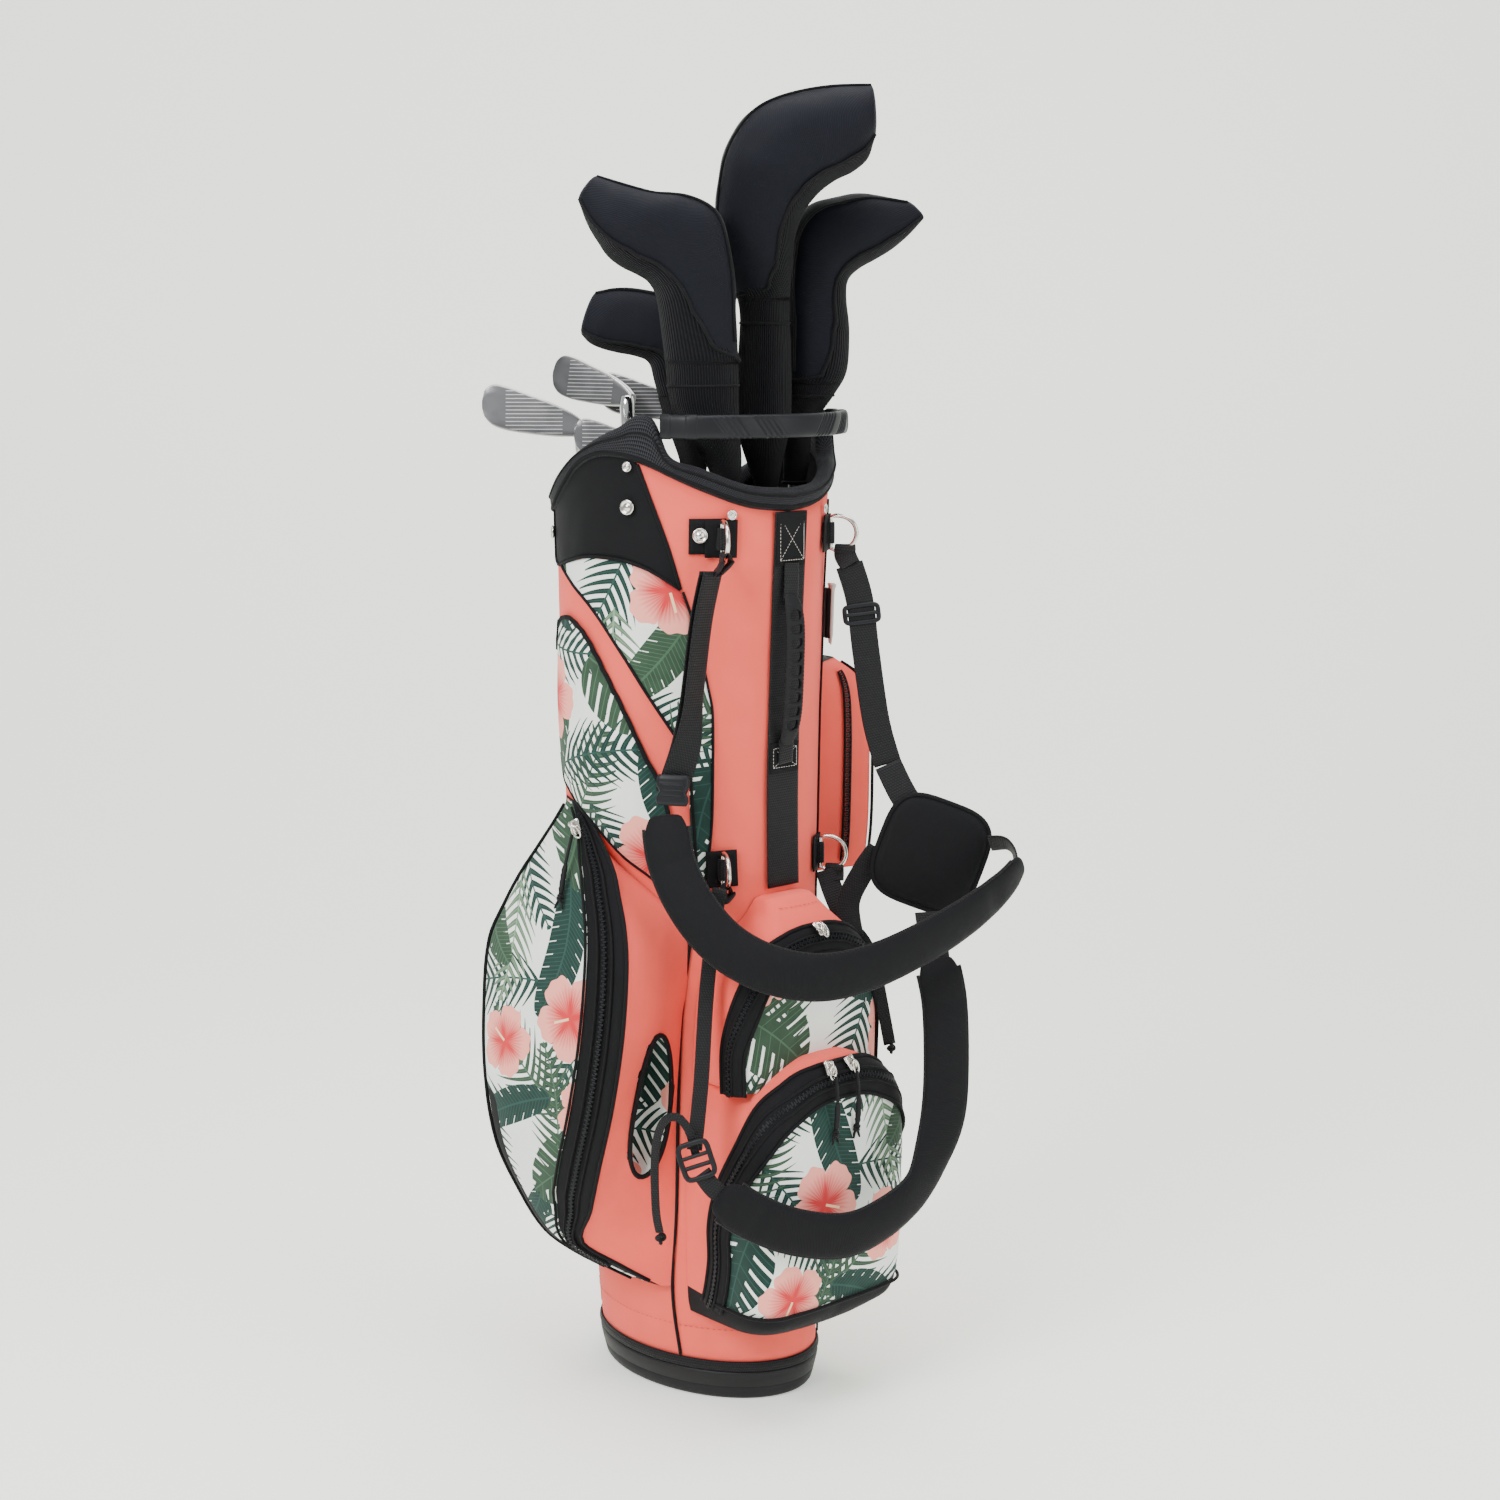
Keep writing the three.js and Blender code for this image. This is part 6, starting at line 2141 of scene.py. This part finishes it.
def side_buckle(name, centre, along, face, wide, long):
    """A side-release buckle: a ribbed body with two prongs' shoulders."""
    a = unit(along)
    f = square_to(np.array(face, float), a)
    x = np.cross(a, f)
    c = np.asarray(centre, float)
    rings = []
    for t in np.linspace(-1, 1, 21):
        w = wide * (1 - 0.18 * math.exp(-(((t - 0.1) / 0.25) ** 2))) * (1 - 0.12 * abs(t) ** 8)
        h = 3.6 * (1 - 0.45 * abs(t) ** 6) * (1 + 0.12 * math.cos(t * 26) * (abs(t) > 0.55))
        rings.append([c + a * long * t + x * u * w + f * v * h for u, v in round_outline(1, 1, 3.4, 18)])
    rings_piece(name, rings, moulded, "bag", "moulded_plastic")
    for tag, shift in (("rib_a", -0.35), ("rib_b", 0.0), ("rib_c", 0.35)):
        rod(
            f"{name}_{tag}",
            [c + a * long * shift + x * u * wide * 0.7 + f * 3.4 for u in np.linspace(-1, 1, 7)], 0.7,
            moulded, "bag", "moulded_plastic"
        )


side_buckle("left_strap_buckle", (-111, -77, 557), (-0.12, -0.05, -1), (-0.78, -0.62, 0), 14, 13)
sweep_piece(
    "tee_holder", [tube(-52, z, 4.0) for z in np.linspace(668, 712, 10)], 8, 2.6, black_canvas, "bag",
    "black_fabric", lambda t: tube_out(-52, 690), count=12, power=4
)
for _i in range(3):
    _base = [tube(-52 + (_i - 1) * 3.1, z, 7.2) for z in np.linspace(662, 716, 12)]
    rings_piece(
        f"tee_{_i + 1}",
        sweep_rings(
            np.array(_base), round_outline(1, 1, count=10),
            size=lambda t: 0.6 + 1.2 * min(1, t * 5) + 2.0 * max(0, t - 0.9) * 10 * 0.8
        ),
        thread
    )

# ---- Divider and stays ----------------------------------------------------------------------------

DIVIDER_LOW, DIVIDER_HIGH = 750, 770


def make_divider():
    a, b, middle = read_rows(TUBE, DIVIDER_LOW)
    a, b = a - 5, b - 5
    ring = [np.array([-a * math.sin(t), middle - b * math.cos(t), DIVIDER_HIGH]) for t in full_turn(96)]
    rod("divider_rim", ring, 3.1, spacer, sides=10, looped=True)

    def padded_bar(name, start, end):
        path = spaced([(*start, DIVIDER_HIGH - 2.5), (*end, DIVIDER_HIGH - 2.5)], 18)
        rings = sweep_rings(path, round_outline(3.4, 2.6, 2.2, 14), face=(0, 0, 1))
        rings_piece(name, rings, spacer)
        skirt = sweep_rings(path, round_outline(1.2, 8.0, 6, 10), face=(0, 0, 1)) - np.array([0, 0, 9.0])
        rings_piece(name + "_skirt", skirt, lining)

    def half_x(y):
        return a * math.sqrt(max(0, 1 - ((y - middle) / b) ** 2)) - 2

    def half_y(x):
        return b * math.sqrt(max(0, 1 - (x / a) ** 2)) - 2

    for i, y in enumerate((-12, 57)):
        padded_bar(f"divider_row_{i + 1}", (-half_x(y), y), (half_x(y), y))
    bars = [
        (-4, None, -12), (49, None, -12), (-17, -12, 57), (53, -12, 57), (-40, 57, None),
        (12, 57, None), (71, 57, None)
    ]
    for i, (x, low, high) in enumerate(bars):
        y0 = middle - half_y(x) if low is None else low
        y1 = middle + half_y(x) if high is None else high
        padded_bar(f"divider_column_{i + 1}", (x, y0), (x, y1))


make_divider()

# ---- Clubs ----------------------------------------------------------------------------------------

BUTT_Z, RIM_Z, GRIP_LENGTH = 12, 830, 265
CLUBS = {
    "driver": ((24, -40), (30, -45)), "fairway_left": ((-10, -75), (-40, -66)),
    "fairway_right": ((19, -4), (75, -37)), "hybrid": ((22, 30), (7, 24)),
    "iron_1": ((-15, 44), (-69, 84)), "iron_2": ((5, 72), (-10, 90)), "iron_3": ((42, 48), (52, 77)),
    "iron_4": ((-40, 5), (-50, 6))
}
FAN = -44 * DEG
ACROSS = np.array([math.cos(FAN), math.sin(FAN), 0])
NEAR = np.array([math.sin(FAN), -math.cos(FAN), 0])


class Club:
    """A club's line, from the butt of its grip up through the rim."""

    def __init__(self, name):
        butt, at_rim = CLUBS[name]
        self.start = np.array([*butt, BUTT_Z], float)
        self.along = unit(np.array([*at_rim, RIM_Z]) - self.start)

    def at(self, z):
        return self.start + self.along * (z - BUTT_Z) / self.along[2]

    def rod(self, name, rows, look, slot, sides):
        """A turned part of the club: rows of (distance from the butt, radius)."""
        side = unit(np.cross(self.along, NEAR))
        other = np.cross(self.along, side)
        t = full_turn(sides)
        rings = []
        for d, r in rows:
            centre = self.start + self.along * d
            rings.append([centre + r * (side * math.cos(k) + other * math.sin(k)) for k in t])
        return rings_piece(name, rings, look, None, slot)


def make_grip_and_shaft(name, club, top, tip, shaft_look, shaft_slot):
    """A ribbed grip with a cap, and a shaft that steps down in short sections."""
    rows = [(-0.0, 2.0), (0.2, 10.6), (1.2, 12.2), (2.4, 12.5)]
    for d in np.linspace(6, GRIP_LENGTH - 3, 88):
        base = 12.5 + (9.0 - 12.5) * d / GRIP_LENGTH
        groove = 0.45 if (int(d / 3) % 2 and 20 < d < GRIP_LENGTH - 24) else 0
        rows.append((d, base - groove))
    rows += [(GRIP_LENGTH - 1.4, 9.0), (GRIP_LENGTH, 8.1), (GRIP_LENGTH, 7.2)]
    obj = club.rod(name + "_grip_rubber", rows, rubber, "grip_rubber", 18)
    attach(obj, name)
    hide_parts(name + "_grip")
    length = (top - BUTT_Z) / club.along[2]
    rows = [(GRIP_LENGTH + 0.1, 7.1)]
    steps = 15
    for i in range(steps):
        d0 = GRIP_LENGTH + 10 + (length - GRIP_LENGTH - 12) * i / steps
        r = 7.1 + (tip - 7.1) * (i / (steps - 1)) * 0.98
        rows += [(d0, r + (0.12 if i else 0)), (d0 + 1.2, r)]
    rows.append((length - 0.2, tip))
    obj = club.rod(name + "_shaft_tube", rows, shaft_look, shaft_slot, 18)
    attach(obj, name)
    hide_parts(name + "_shaft")


BLADE = [
    (-5, -4, 6, 5, 4), (6, -6, 14, 6, 3.5), (24, -7, 22, 7.5, 3), (46, -6, 29, 8, 3),
    (66, -4, 35, 7.5, 3), (78, 0, 36, 6, 3), (85, 7, 30, 4, 3), (87, 14, 22, 2.5, 2.5)
]
IRONS = {
    "iron_1": (853, 1, 0), "iron_2": (878, 0.97, -33), "iron_3": (864, 0.94, 0),
    "iron_4": (831, 0.84, 0)
}
BLADE_LOFT = 12 * DEG


def spun(v, degrees):
    c, s = math.cos(degrees * DEG), math.sin(degrees * DEG)
    return np.array([v[0] * c - v[1] * s, v[0] * s + v[1] * c, v[2]])


def make_iron(name, height, scale, turn):
    """A cavity-back iron: a flat scored face, a thick rounded sole, a thin top line and its hosel."""
    club = Club(name)
    socket = club.at(height)
    face = spun(NEAR, turn)
    toe = unit(spun(-ACROSS, turn) + UP * 0.06)
    up = UP * math.cos(BLADE_LOFT) - face * math.sin(BLADE_LOFT)
    back = -face * math.cos(BLADE_LOFT) - UP * math.sin(BLADE_LOFT)
    outs = np.concatenate([np.linspace(-5, 84, 40), [85, 86, 86.7, 87]])
    rings = []
    for out in outs:
        top, sole, sole_half, top_half = read_rows(BLADE, out)
        base = socket + toe * out * scale
        cavity = 1.6 * max(0, min(1, (out - 14) / 6)) * max(0, min(1, (80 - out) / 5))
        profile = [
            (top + 0.3, -1.7), (top + 1.4, -2.0), ((top * 3 + sole) / 4, -2.0),
            ((top + sole) / 2, -2.0), ((top + sole * 3) / 4, -2.0), (sole - 2.4, -2.0),
            (sole - 1.0, -1.5), (sole, 0.2), (sole + 0.25, sole_half - 2),
            (sole - 0.4, 2 * sole_half - 4.2), (sole - 2, 2 * sole_half - 3),
            (sole * 0.82 + top * 0.18, 2 * sole_half - 3.2),
            (sole * 0.72 + top * 0.28, 2 * top_half - 0.6 - cavity),
            (sole * 0.5 + top * 0.5, 2 * top_half - 1.4 - cavity),
            (sole * 0.15 + top * 0.85, 2 * top_half - 1.6 - cavity), (top + 2.6, 2 * top_half - 2),
            (top + 1.0, 2 * top_half - 2.2), (top + 0.1, 2 * top_half - 3.4)
        ]
        rings.append([base + up * r * scale + back * d * scale for r, d in profile])
    r = np.array(rings)
    count, n, _ = r.shape
    faces = grid_faces(count, n, loop_columns=True)
    look = [
        1 if c in (1, 2, 3, 4) else (2 if c in (6, 7, 8, 9) else 0) for _ in range(count - 1)
        for c in range(n)
    ]
    faces += [tuple(range(n))[::-1], tuple((count - 1) * n + i for i in range(n))]
    look += [0, 0]
    points = r.reshape(-1, 3)
    flipped = turned_out(points, faces)
    uv = np.array([((outs[i // n]) * scale * MM, 0.0) for i in range(count * n)])
    for i in range(count):
        for k in range(n):
            uv[i * n + k, 1] = float(np.dot(points[i * n + k] - socket, up)) * MM
    obj = piece(
        name + "_blade", points, flipped, [satin_steel, scored, chrome], name, "iron_steel",
        face_look=look, uv=uv
    )
    bevel = obj.modifiers.new("edge", "BEVEL")
    bevel.width = 0.0005
    bevel.segments = 2
    bevel.limit_method = "ANGLE"
    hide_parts(name + "_head")
    length = (height - BUTT_Z) / club.along[2]
    hosel_rows = [
        (length - 52, 5.3), (length - 51.4, 5.7), (length - 48.6, 6.4), (length - 30, 6.5),
        (length - 28.6, 6.2), (length - 27.4, 6.5), (length - 4, 6.7), (length + 3, 5.4),
        (length + 4.4, 3.0)
    ]
    hosel = club.rod(name + "_hosel", hosel_rows, chrome, "iron_steel", 28)
    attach(hosel, name)
    make_grip_and_shaft(name, club, height - 52 * club.along[2], 4.8, steel_shaft, "steel_shaft")


def scored_steel():
    """Brushed steel with level score lines over the hitting part of the face."""
    look = Look("scored_steel", (0.42, 0.42, 0.43), 0.36, Metallic=1.0)
    where = look.cloth()
    u, v, _ = split(look.tree, where)
    lines = ((v / 3.4).fract() < 0.2) * u.inside(16.0, 66.0)
    blast = look.noise(look.space(), 0.7, 2)
    smudge = look.noise(look.space(), 12, 3)
    look.tint(lines, (0.13, 0.13, 0.135), (0.55, 0.55, 0.55))
    look.roughen(smudge, 0.28, 0.5)
    look.bump(blast, 0.03, 0.5)
    look.bump(lines * -1.0, 0.4, 0.8)
    return look.material


scored = scored_steel()
steel_shaft = metal("steel_shaft_plate", (0.7, 0.7, 0.71), 0.14)
for _name, (_height, _scale, _turn) in IRONS.items():
    make_iron(_name, _height, _scale, _turn)

WOODS = {
    "driver": (1083, 1, (51, 23, 43), 25, 20, 4.5), "fairway_left": (996, -1, (40, 15, 24), 18, 4, 4.4),
    "fairway_right": (1010, 1, (42, 17, 25), 20, -4, 4.4), "hybrid": (934, -1, (38, 14, 15), 14, 0, 4.4)
}


def make_wood(name, height, toe, size, rise, shift, tip):
    """A wood: a domed crown, a flat face towards the target, a rounded sole, its neck and ferrule."""
    club = Club(name)
    half_toe, half_high, half_deep = size
    socket = club.at(height)
    outward_way = ACROSS * toe
    toe_way = outward_way * math.cos(rise * DEG) + UP * math.sin(rise * DEG)
    top_way = UP * math.cos(rise * DEG) - outward_way * math.sin(rise * DEG)
    centre = socket + toe_way * half_toe * 0.8 + NEAR * shift
    rings = []
    columns = 40
    for lat in np.linspace(-88, 88, 29):
        s, c = math.sin(lat * DEG), math.cos(lat * DEG)
        ring = []
        for k in range(columns):
            t = 2 * math.pi * k / columns
            x = c**0.9 * math.cos(t) * half_toe * 0.985
            y = c**0.9 * math.sin(t) * half_deep * 0.985
            y = min(y, half_deep * 0.78)
            z = s * half_high * (0.98 if s > 0 else 0.86)
            if s < 0:
                z = max(z, -half_high * 0.66 + 0.12 * z)
            ring.append(centre + toe_way * x + NEAR * y + top_way * z)
        rings.append(ring)
    obj = rings_piece(name + "_crown", rings, crown, name, "wood_head")
    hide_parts(name + "_head")
    length = (height - BUTT_Z) / club.along[2]
    hosel = club.rod(
        name + "_neck", [(length - 34, 5.8), (length - 33, 6.2), (length - 20, 6.9), (length + 6, 7.8)],
        crown, "wood_head", 24
    )
    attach(hosel, name)
    ferrule = club.rod(
        name + "_ferrule",
        [
            (length - 40.6, tip + 0.3), (length - 40, tip + 1.2), (length - 34.2, 6.3),
            (length - 34.1, 5.2)
        ],
        moulded, "wood_head", 24
    )
    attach(ferrule, name)
    make_grip_and_shaft(name, club, height - 34 * club.along[2], tip, graphite, "graphite_shaft")


for _name, (_height, _toe, _size, _rise, _shift, _tip) in WOODS.items():
    make_wood(_name, _height, _toe, _size, _rise, _shift, _tip)

# ---- Head covers ----------------------------------------------------------------------------------

# Each section's inner and outer edge across the fan and in height, then its half depth.
COVERS = {
    "driver": (
        20,
        [
            (44, 803, 63, 803, 9), (35, 828, 68, 828, 15), (26, 863, 75, 863, 21),
            (28, 914, 75, 914, 22), (29, 961, 73, 961, 24), (15, 991, 75, 991, 30),
            (9, 1025, 78, 1018, 38), (10, 1060, 86, 1041, 46), (18, 1094, 97, 1055, 51),
            (38, 1123, 112, 1065, 53), (66, 1137, 126, 1072, 53), (104, 1144, 139, 1083, 50),
            (141, 1145, 144, 1098, 38)
        ]
    ),
    "fairway_left": (
        4,
        [
            (8, 803, 29, 803, 9), (2, 826, 32, 826, 13), (-27, 873, 30, 873, 20),
            (-33, 911, 30, 911, 22), (-39, 960, 28, 949, 25), (-46, 978, 27, 982, 28),
            (-56, 986, 22, 1015, 31), (-70, 993, 12, 1040, 33), (-81, 1001, -12, 1052, 34),
            (-88, 1012, -38, 1054, 33), (-97, 1027, -63, 1060, 29), (-104, 1046, -88, 1067, 18)
        ]
    ),
    "fairway_right": (
        -4,
        [
            (88, 806, 68, 806, 9), (92, 829, 68, 829, 12), (96, 858, 68, 858, 16),
            (114, 884, 70, 884, 20), (125, 906, 70, 908, 22), (127, 940, 70, 957, 25),
            (124, 967, 70, 985, 27), (126, 983, 72, 1008, 30), (136, 993, 76, 1030, 32),
            (149, 1000, 90, 1048, 33), (163, 1009, 112, 1055, 32), (178, 1021, 138, 1058, 27),
            (191, 1036, 175, 1052, 14)
        ]
    ),
    "hybrid": (
        0,
        [
            (-20, 803, -1, 803, 9), (-25, 830, 2, 830, 13), (-38, 866, 5, 866, 18),
            (-45, 892, 6, 896, 19), (-50, 911, 5, 925, 20), (-62, 917, -2, 950, 21),
            (-78, 920, -20, 966, 21), (-92, 923, -46, 974, 20), (-102, 928, -74, 977, 18),
            (-109, 936, -96, 973, 11)
        ]
    )
}
# Where the ribbed sock ends and the hood begins, as a section number.
SOCK_END = {"driver": 4.2, "fairway_left": 3.1, "fairway_right": 3.5, "hybrid": 2.6}
# Half the knit strip's angle along the inner bend, at shares of the way up the hood.
HEM_SHARES = [-0.01, 0.0, 0.03, 0.12, 0.45, 1.0]
HEM_ANGLES = {
    "driver": [180, 172, 78, 62, 48, 40], "fairway_left": [180, 172, 112, 84, 58, 42],
    "fairway_right": [180, 172, 82, 66, 52, 42], "hybrid": [180, 172, 96, 74, 56, 42]
}
# The angle from the ridge's middle to each of its two seams.
RIDGE_ANGLE = {"driver": 26, "fairway_left": 24, "fairway_right": 46, "hybrid": 26}


def cover_section(name, index, count, inset=0.0):
    """A level of a cover at a section number between its rows: points and the section's middle."""
    shift, rows = COVERS[name]
    club = Club(name)
    x0, z0, x1, z1, depth = read([(i, *row) for i, row in enumerate(rows)], index)
    nearness = float(np.dot(club.at((z0 + z1) / 2), NEAR))
    swing = shift * min(max((index - 4) / 4, 0), 1)
    low, high = ACROSS * x0 + UP * z0, ACROSS * x1 + UP * z1
    middle = (low + high) / 2 + NEAR * (nearness + swing)
    half = np.linalg.norm(high - low) / 2
    wide = unit(high - low)
    power = 2.05 if index < 5 else 2.4
    ring = []
    for k in range(count):
        t = 2 * math.pi * k / count
        c, s = math.cos(t), math.sin(t)
        x = signed_power(c, 2 / power) * (half - inset)
        y = signed_power(s, 2 / power) * (depth - inset)
        ring.append(middle + wide * x + NEAR * y)
    return np.array(ring), middle


def make_cover(name, concave, grey_top):
    """A hooded cover: a ribbed sock that runs up the inner bend, and a neoprene hood with piped seams."""
    last = len(COVERS[name][1]) - 1

    def hem(level):
        share = (level - SOCK_END[name]) / (last - SOCK_END[name])
        return float(np.interp(share, HEM_SHARES, HEM_ANGLES[name]))

    count = 96
    body = name + "_cover_body"
    sock_top = SOCK_END[name]
    levels = np.concatenate([np.linspace(0, sock_top, 44)[:-1], np.linspace(sock_top, last, 62)])
    rings = []
    for level in levels:
        ring, middle = cover_section(name, level, count)
        if level < sock_top:
            ribs = 0.55 * (np.arange(count) % 2) * min(1, level * 2)
            pulse = 0.25 * math.sin(level * 9)
            fold = np.array([0.5 * noise.noise(Vector((*(p / 22),))) for p in ring])
            ring = middle + (ring - middle) * (1 - ((ribs + pulse) * 0.02 + 0.015))[:, None]
            ring = ring + (ring - middle) / 30 * fold[:, None]
        else:
            fold = np.array([1.3 * noise.noise(Vector((*(p / 30),)) + Vector((5, 0, 0))) for p in ring])
            ring = ring + (ring - middle) / 40 * fold[:, None] - (ring - middle) * 0.012
        rings.append(ring)
    r = np.array(rings)
    top_middle = r[-1].mean(axis=0)
    ahead = unit(r[-1].mean(axis=0) - r[-4].mean(axis=0))
    for scale, push in ((0.82, 1.6), (0.55, 2.6), (0.25, 3.0)):
        r = np.concatenate([r, (top_middle + (rings[-1] - top_middle) * scale + ahead * push)[None]])
    n_rows = len(r)
    levels_all = list(levels) + [last] * 3
    faces = grid_faces(n_rows, count, loop_columns=True)
    look = []
    for i in range(n_rows - 1):
        for k in range(count):
            t = 360 * (k + 0.5) / count
            if levels_all[i] < sock_top - 0.01 or abs((t - concave + 180) % 360 - 180) < hem(levels_all[i]):
                look.append(1)
            elif grey_top(levels_all[i], t):
                look.append(2)
            else:
                look.append(0)
    faces.append(tuple((n_rows - 1) * count + i for i in range(count)))
    look.append(0)
    points = r.reshape(-1, 3)
    outward_faces = turned_out(points, faces)
    along = run_along(r.mean(axis=1))
    uv = []
    for i in range(n_rows):
        size = arc_length(r[min(i, len(levels) - 1)])
        for k in range(count):
            share = abs(2 * k / count - 1)
            uv.append((share * (110 if levels_all[i] < sock_top - 0.01 else size / 2) * MM, along[i] * MM))
    obj = piece(
        name + "_hood", points, outward_faces, [neoprene, knit, neoprene_grey], body, "neoprene",
        face_look=look, uv=uv
    )
    solidify(obj, 1.6, offset=-1)
    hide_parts(name + "_cover")
    ring, middle = cover_section(name, sock_top - 0.55, 72)
    rod(
        name + "_elastic_seam", middle + (ring - middle) * 0.985, 1.1, black_canvas, body, "neoprene",
        sides=6, looped=True
    )
    ring, middle = cover_section(name, 0.02, 48)
    rod(name + "_foot_hem", ring, 1.5, knit, body, "neoprene", sides=7, looped=True)

    def hood_line(tag, places, radius=1.3):
        path = []
        for level, turn in places:
            ring, middle = cover_section(name, min(level, last - 0.02), 180)
            p = ring[int(round(turn / 2)) % 180]
            path.append(middle + (p - middle) * 1.004 + unit(p - middle) * 0.4)
        rod(f"{name}_{tag}", spaced(path, 70), radius, black_canvas, body, "neoprene", sides=6)

    ups = sock_top + (last - sock_top) * np.linspace(0, 1, 22) ** 1.5
    hood_line("hem_near", [(u, (concave + hem(u)) % 360) for u in ups], 1.7)
    hood_line("hem_far", [(u, (concave - hem(u)) % 360) for u in ups], 1.7)
    highs = np.linspace(sock_top + 0.4, last, 16)
    hood_line("ridge_near", [(u, (concave + 180 - RIDGE_ANGLE[name]) % 360) for u in highs], 1.2)
    hood_line("ridge_far", [(u, (concave + 180 + RIDGE_ANGLE[name]) % 360) for u in highs], 1.2)


make_cover("driver", 0, lambda level, t: level > 6 and 156 < t < 204)
make_cover("fairway_left", 180, lambda level, t: level > 6 and (t < 24 or t > 336))
make_cover("fairway_right", 180, lambda level, t: level > 6 and (t < 24 or t > 336))
make_cover("hybrid", 180, lambda level, t: level > 5 and (t < 24 or t > 336))

# ---- What the CAD nodes left showing look like ------------------------------------------------------

NODE_LOOKS = {"divider_grid": lining, "stay_rod_left": rod_look, "stay_rod_right": rod_look}
for _node, _look in NODE_LOOKS.items():
    _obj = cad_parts[_node]
    _obj.data.materials.clear()
    _obj.data.materials.append(_look)

# ---- Stage, light and the finish --------------------------------------------------------------------


def make_stage():
    """A floor that curves up into a plain wall behind the bag."""
    s, c = math.sin(CAMERA_AZIMUTH), math.cos(CAMERA_AZIMUTH)
    look = Look("studio_paper", (0.86, 0.885, 0.85), 0.9)
    look.tint(look.noise(look.space(), 900, 2), (0.88, 0.905, 0.85), (0.91, 0.93, 0.88))
    look.shader.inputs["Emission Color"].default_value = (0.95, 1.0, 0.90, 1)
    look.shader.inputs["Emission Strength"].default_value = 0.42
    profile = [(-3500, 0)] + [
        (1500 + 900 * math.sin(t), 900 * (1 - math.cos(t))) for t in np.linspace(0, math.pi / 2, 16)
    ]
    profile.append((2400, 4200))
    points, faces = [], []
    for x in (-4500, 4500):
        for y, z in profile:
            points.append([x * c - y * s, x * s + y * c, z - 0.05])
    n = len(profile)
    for i in range(n - 1):
        faces.append((i, n + i, n + i + 1, i + 1))
    stage = piece("studio_backdrop", points, faces, look.material, None, None)


make_stage()


def area_light(name, place, aim, size, power, color=(1, 1, 1)):
    data = bpy.data.lights.new(name, "AREA")
    data.shape = "RECTANGLE"
    data.size, data.size_y = size
    data.energy = power
    data.color = color
    light = bpy.data.objects.new(name, data)
    bpy.context.scene.collection.objects.link(light)
    light.location = place
    light.rotation_euler = (Vector(aim) - Vector(place)).to_track_quat("-Z", "Y").to_euler()


def from_camera(right, near, up):
    s, c = math.sin(CAMERA_AZIMUTH), math.cos(CAMERA_AZIMUTH)
    return (right * c + near * s, right * s - near * c, up)


area_light("key", from_camera(-1.5, 2.0, 2.3), (0, 0, 0.6), (1.2, 1.4), 100)
area_light("fill", from_camera(2.2, 1.6, 1.3), (0, 0, 0.5), (1.6, 2.0), 36)
area_light("top", from_camera(0.2, 0.2, 2.9), (0, 0, 0.5), (2.2, 2.2), 90)

world = bpy.data.worlds.new("studio")
bpy.context.scene.world = world
world.use_nodes = True
world.node_tree.nodes["Background"].inputs[0].default_value = (0.93, 0.96, 0.95, 1)
world.node_tree.nodes["Background"].inputs[1].default_value = 0.55
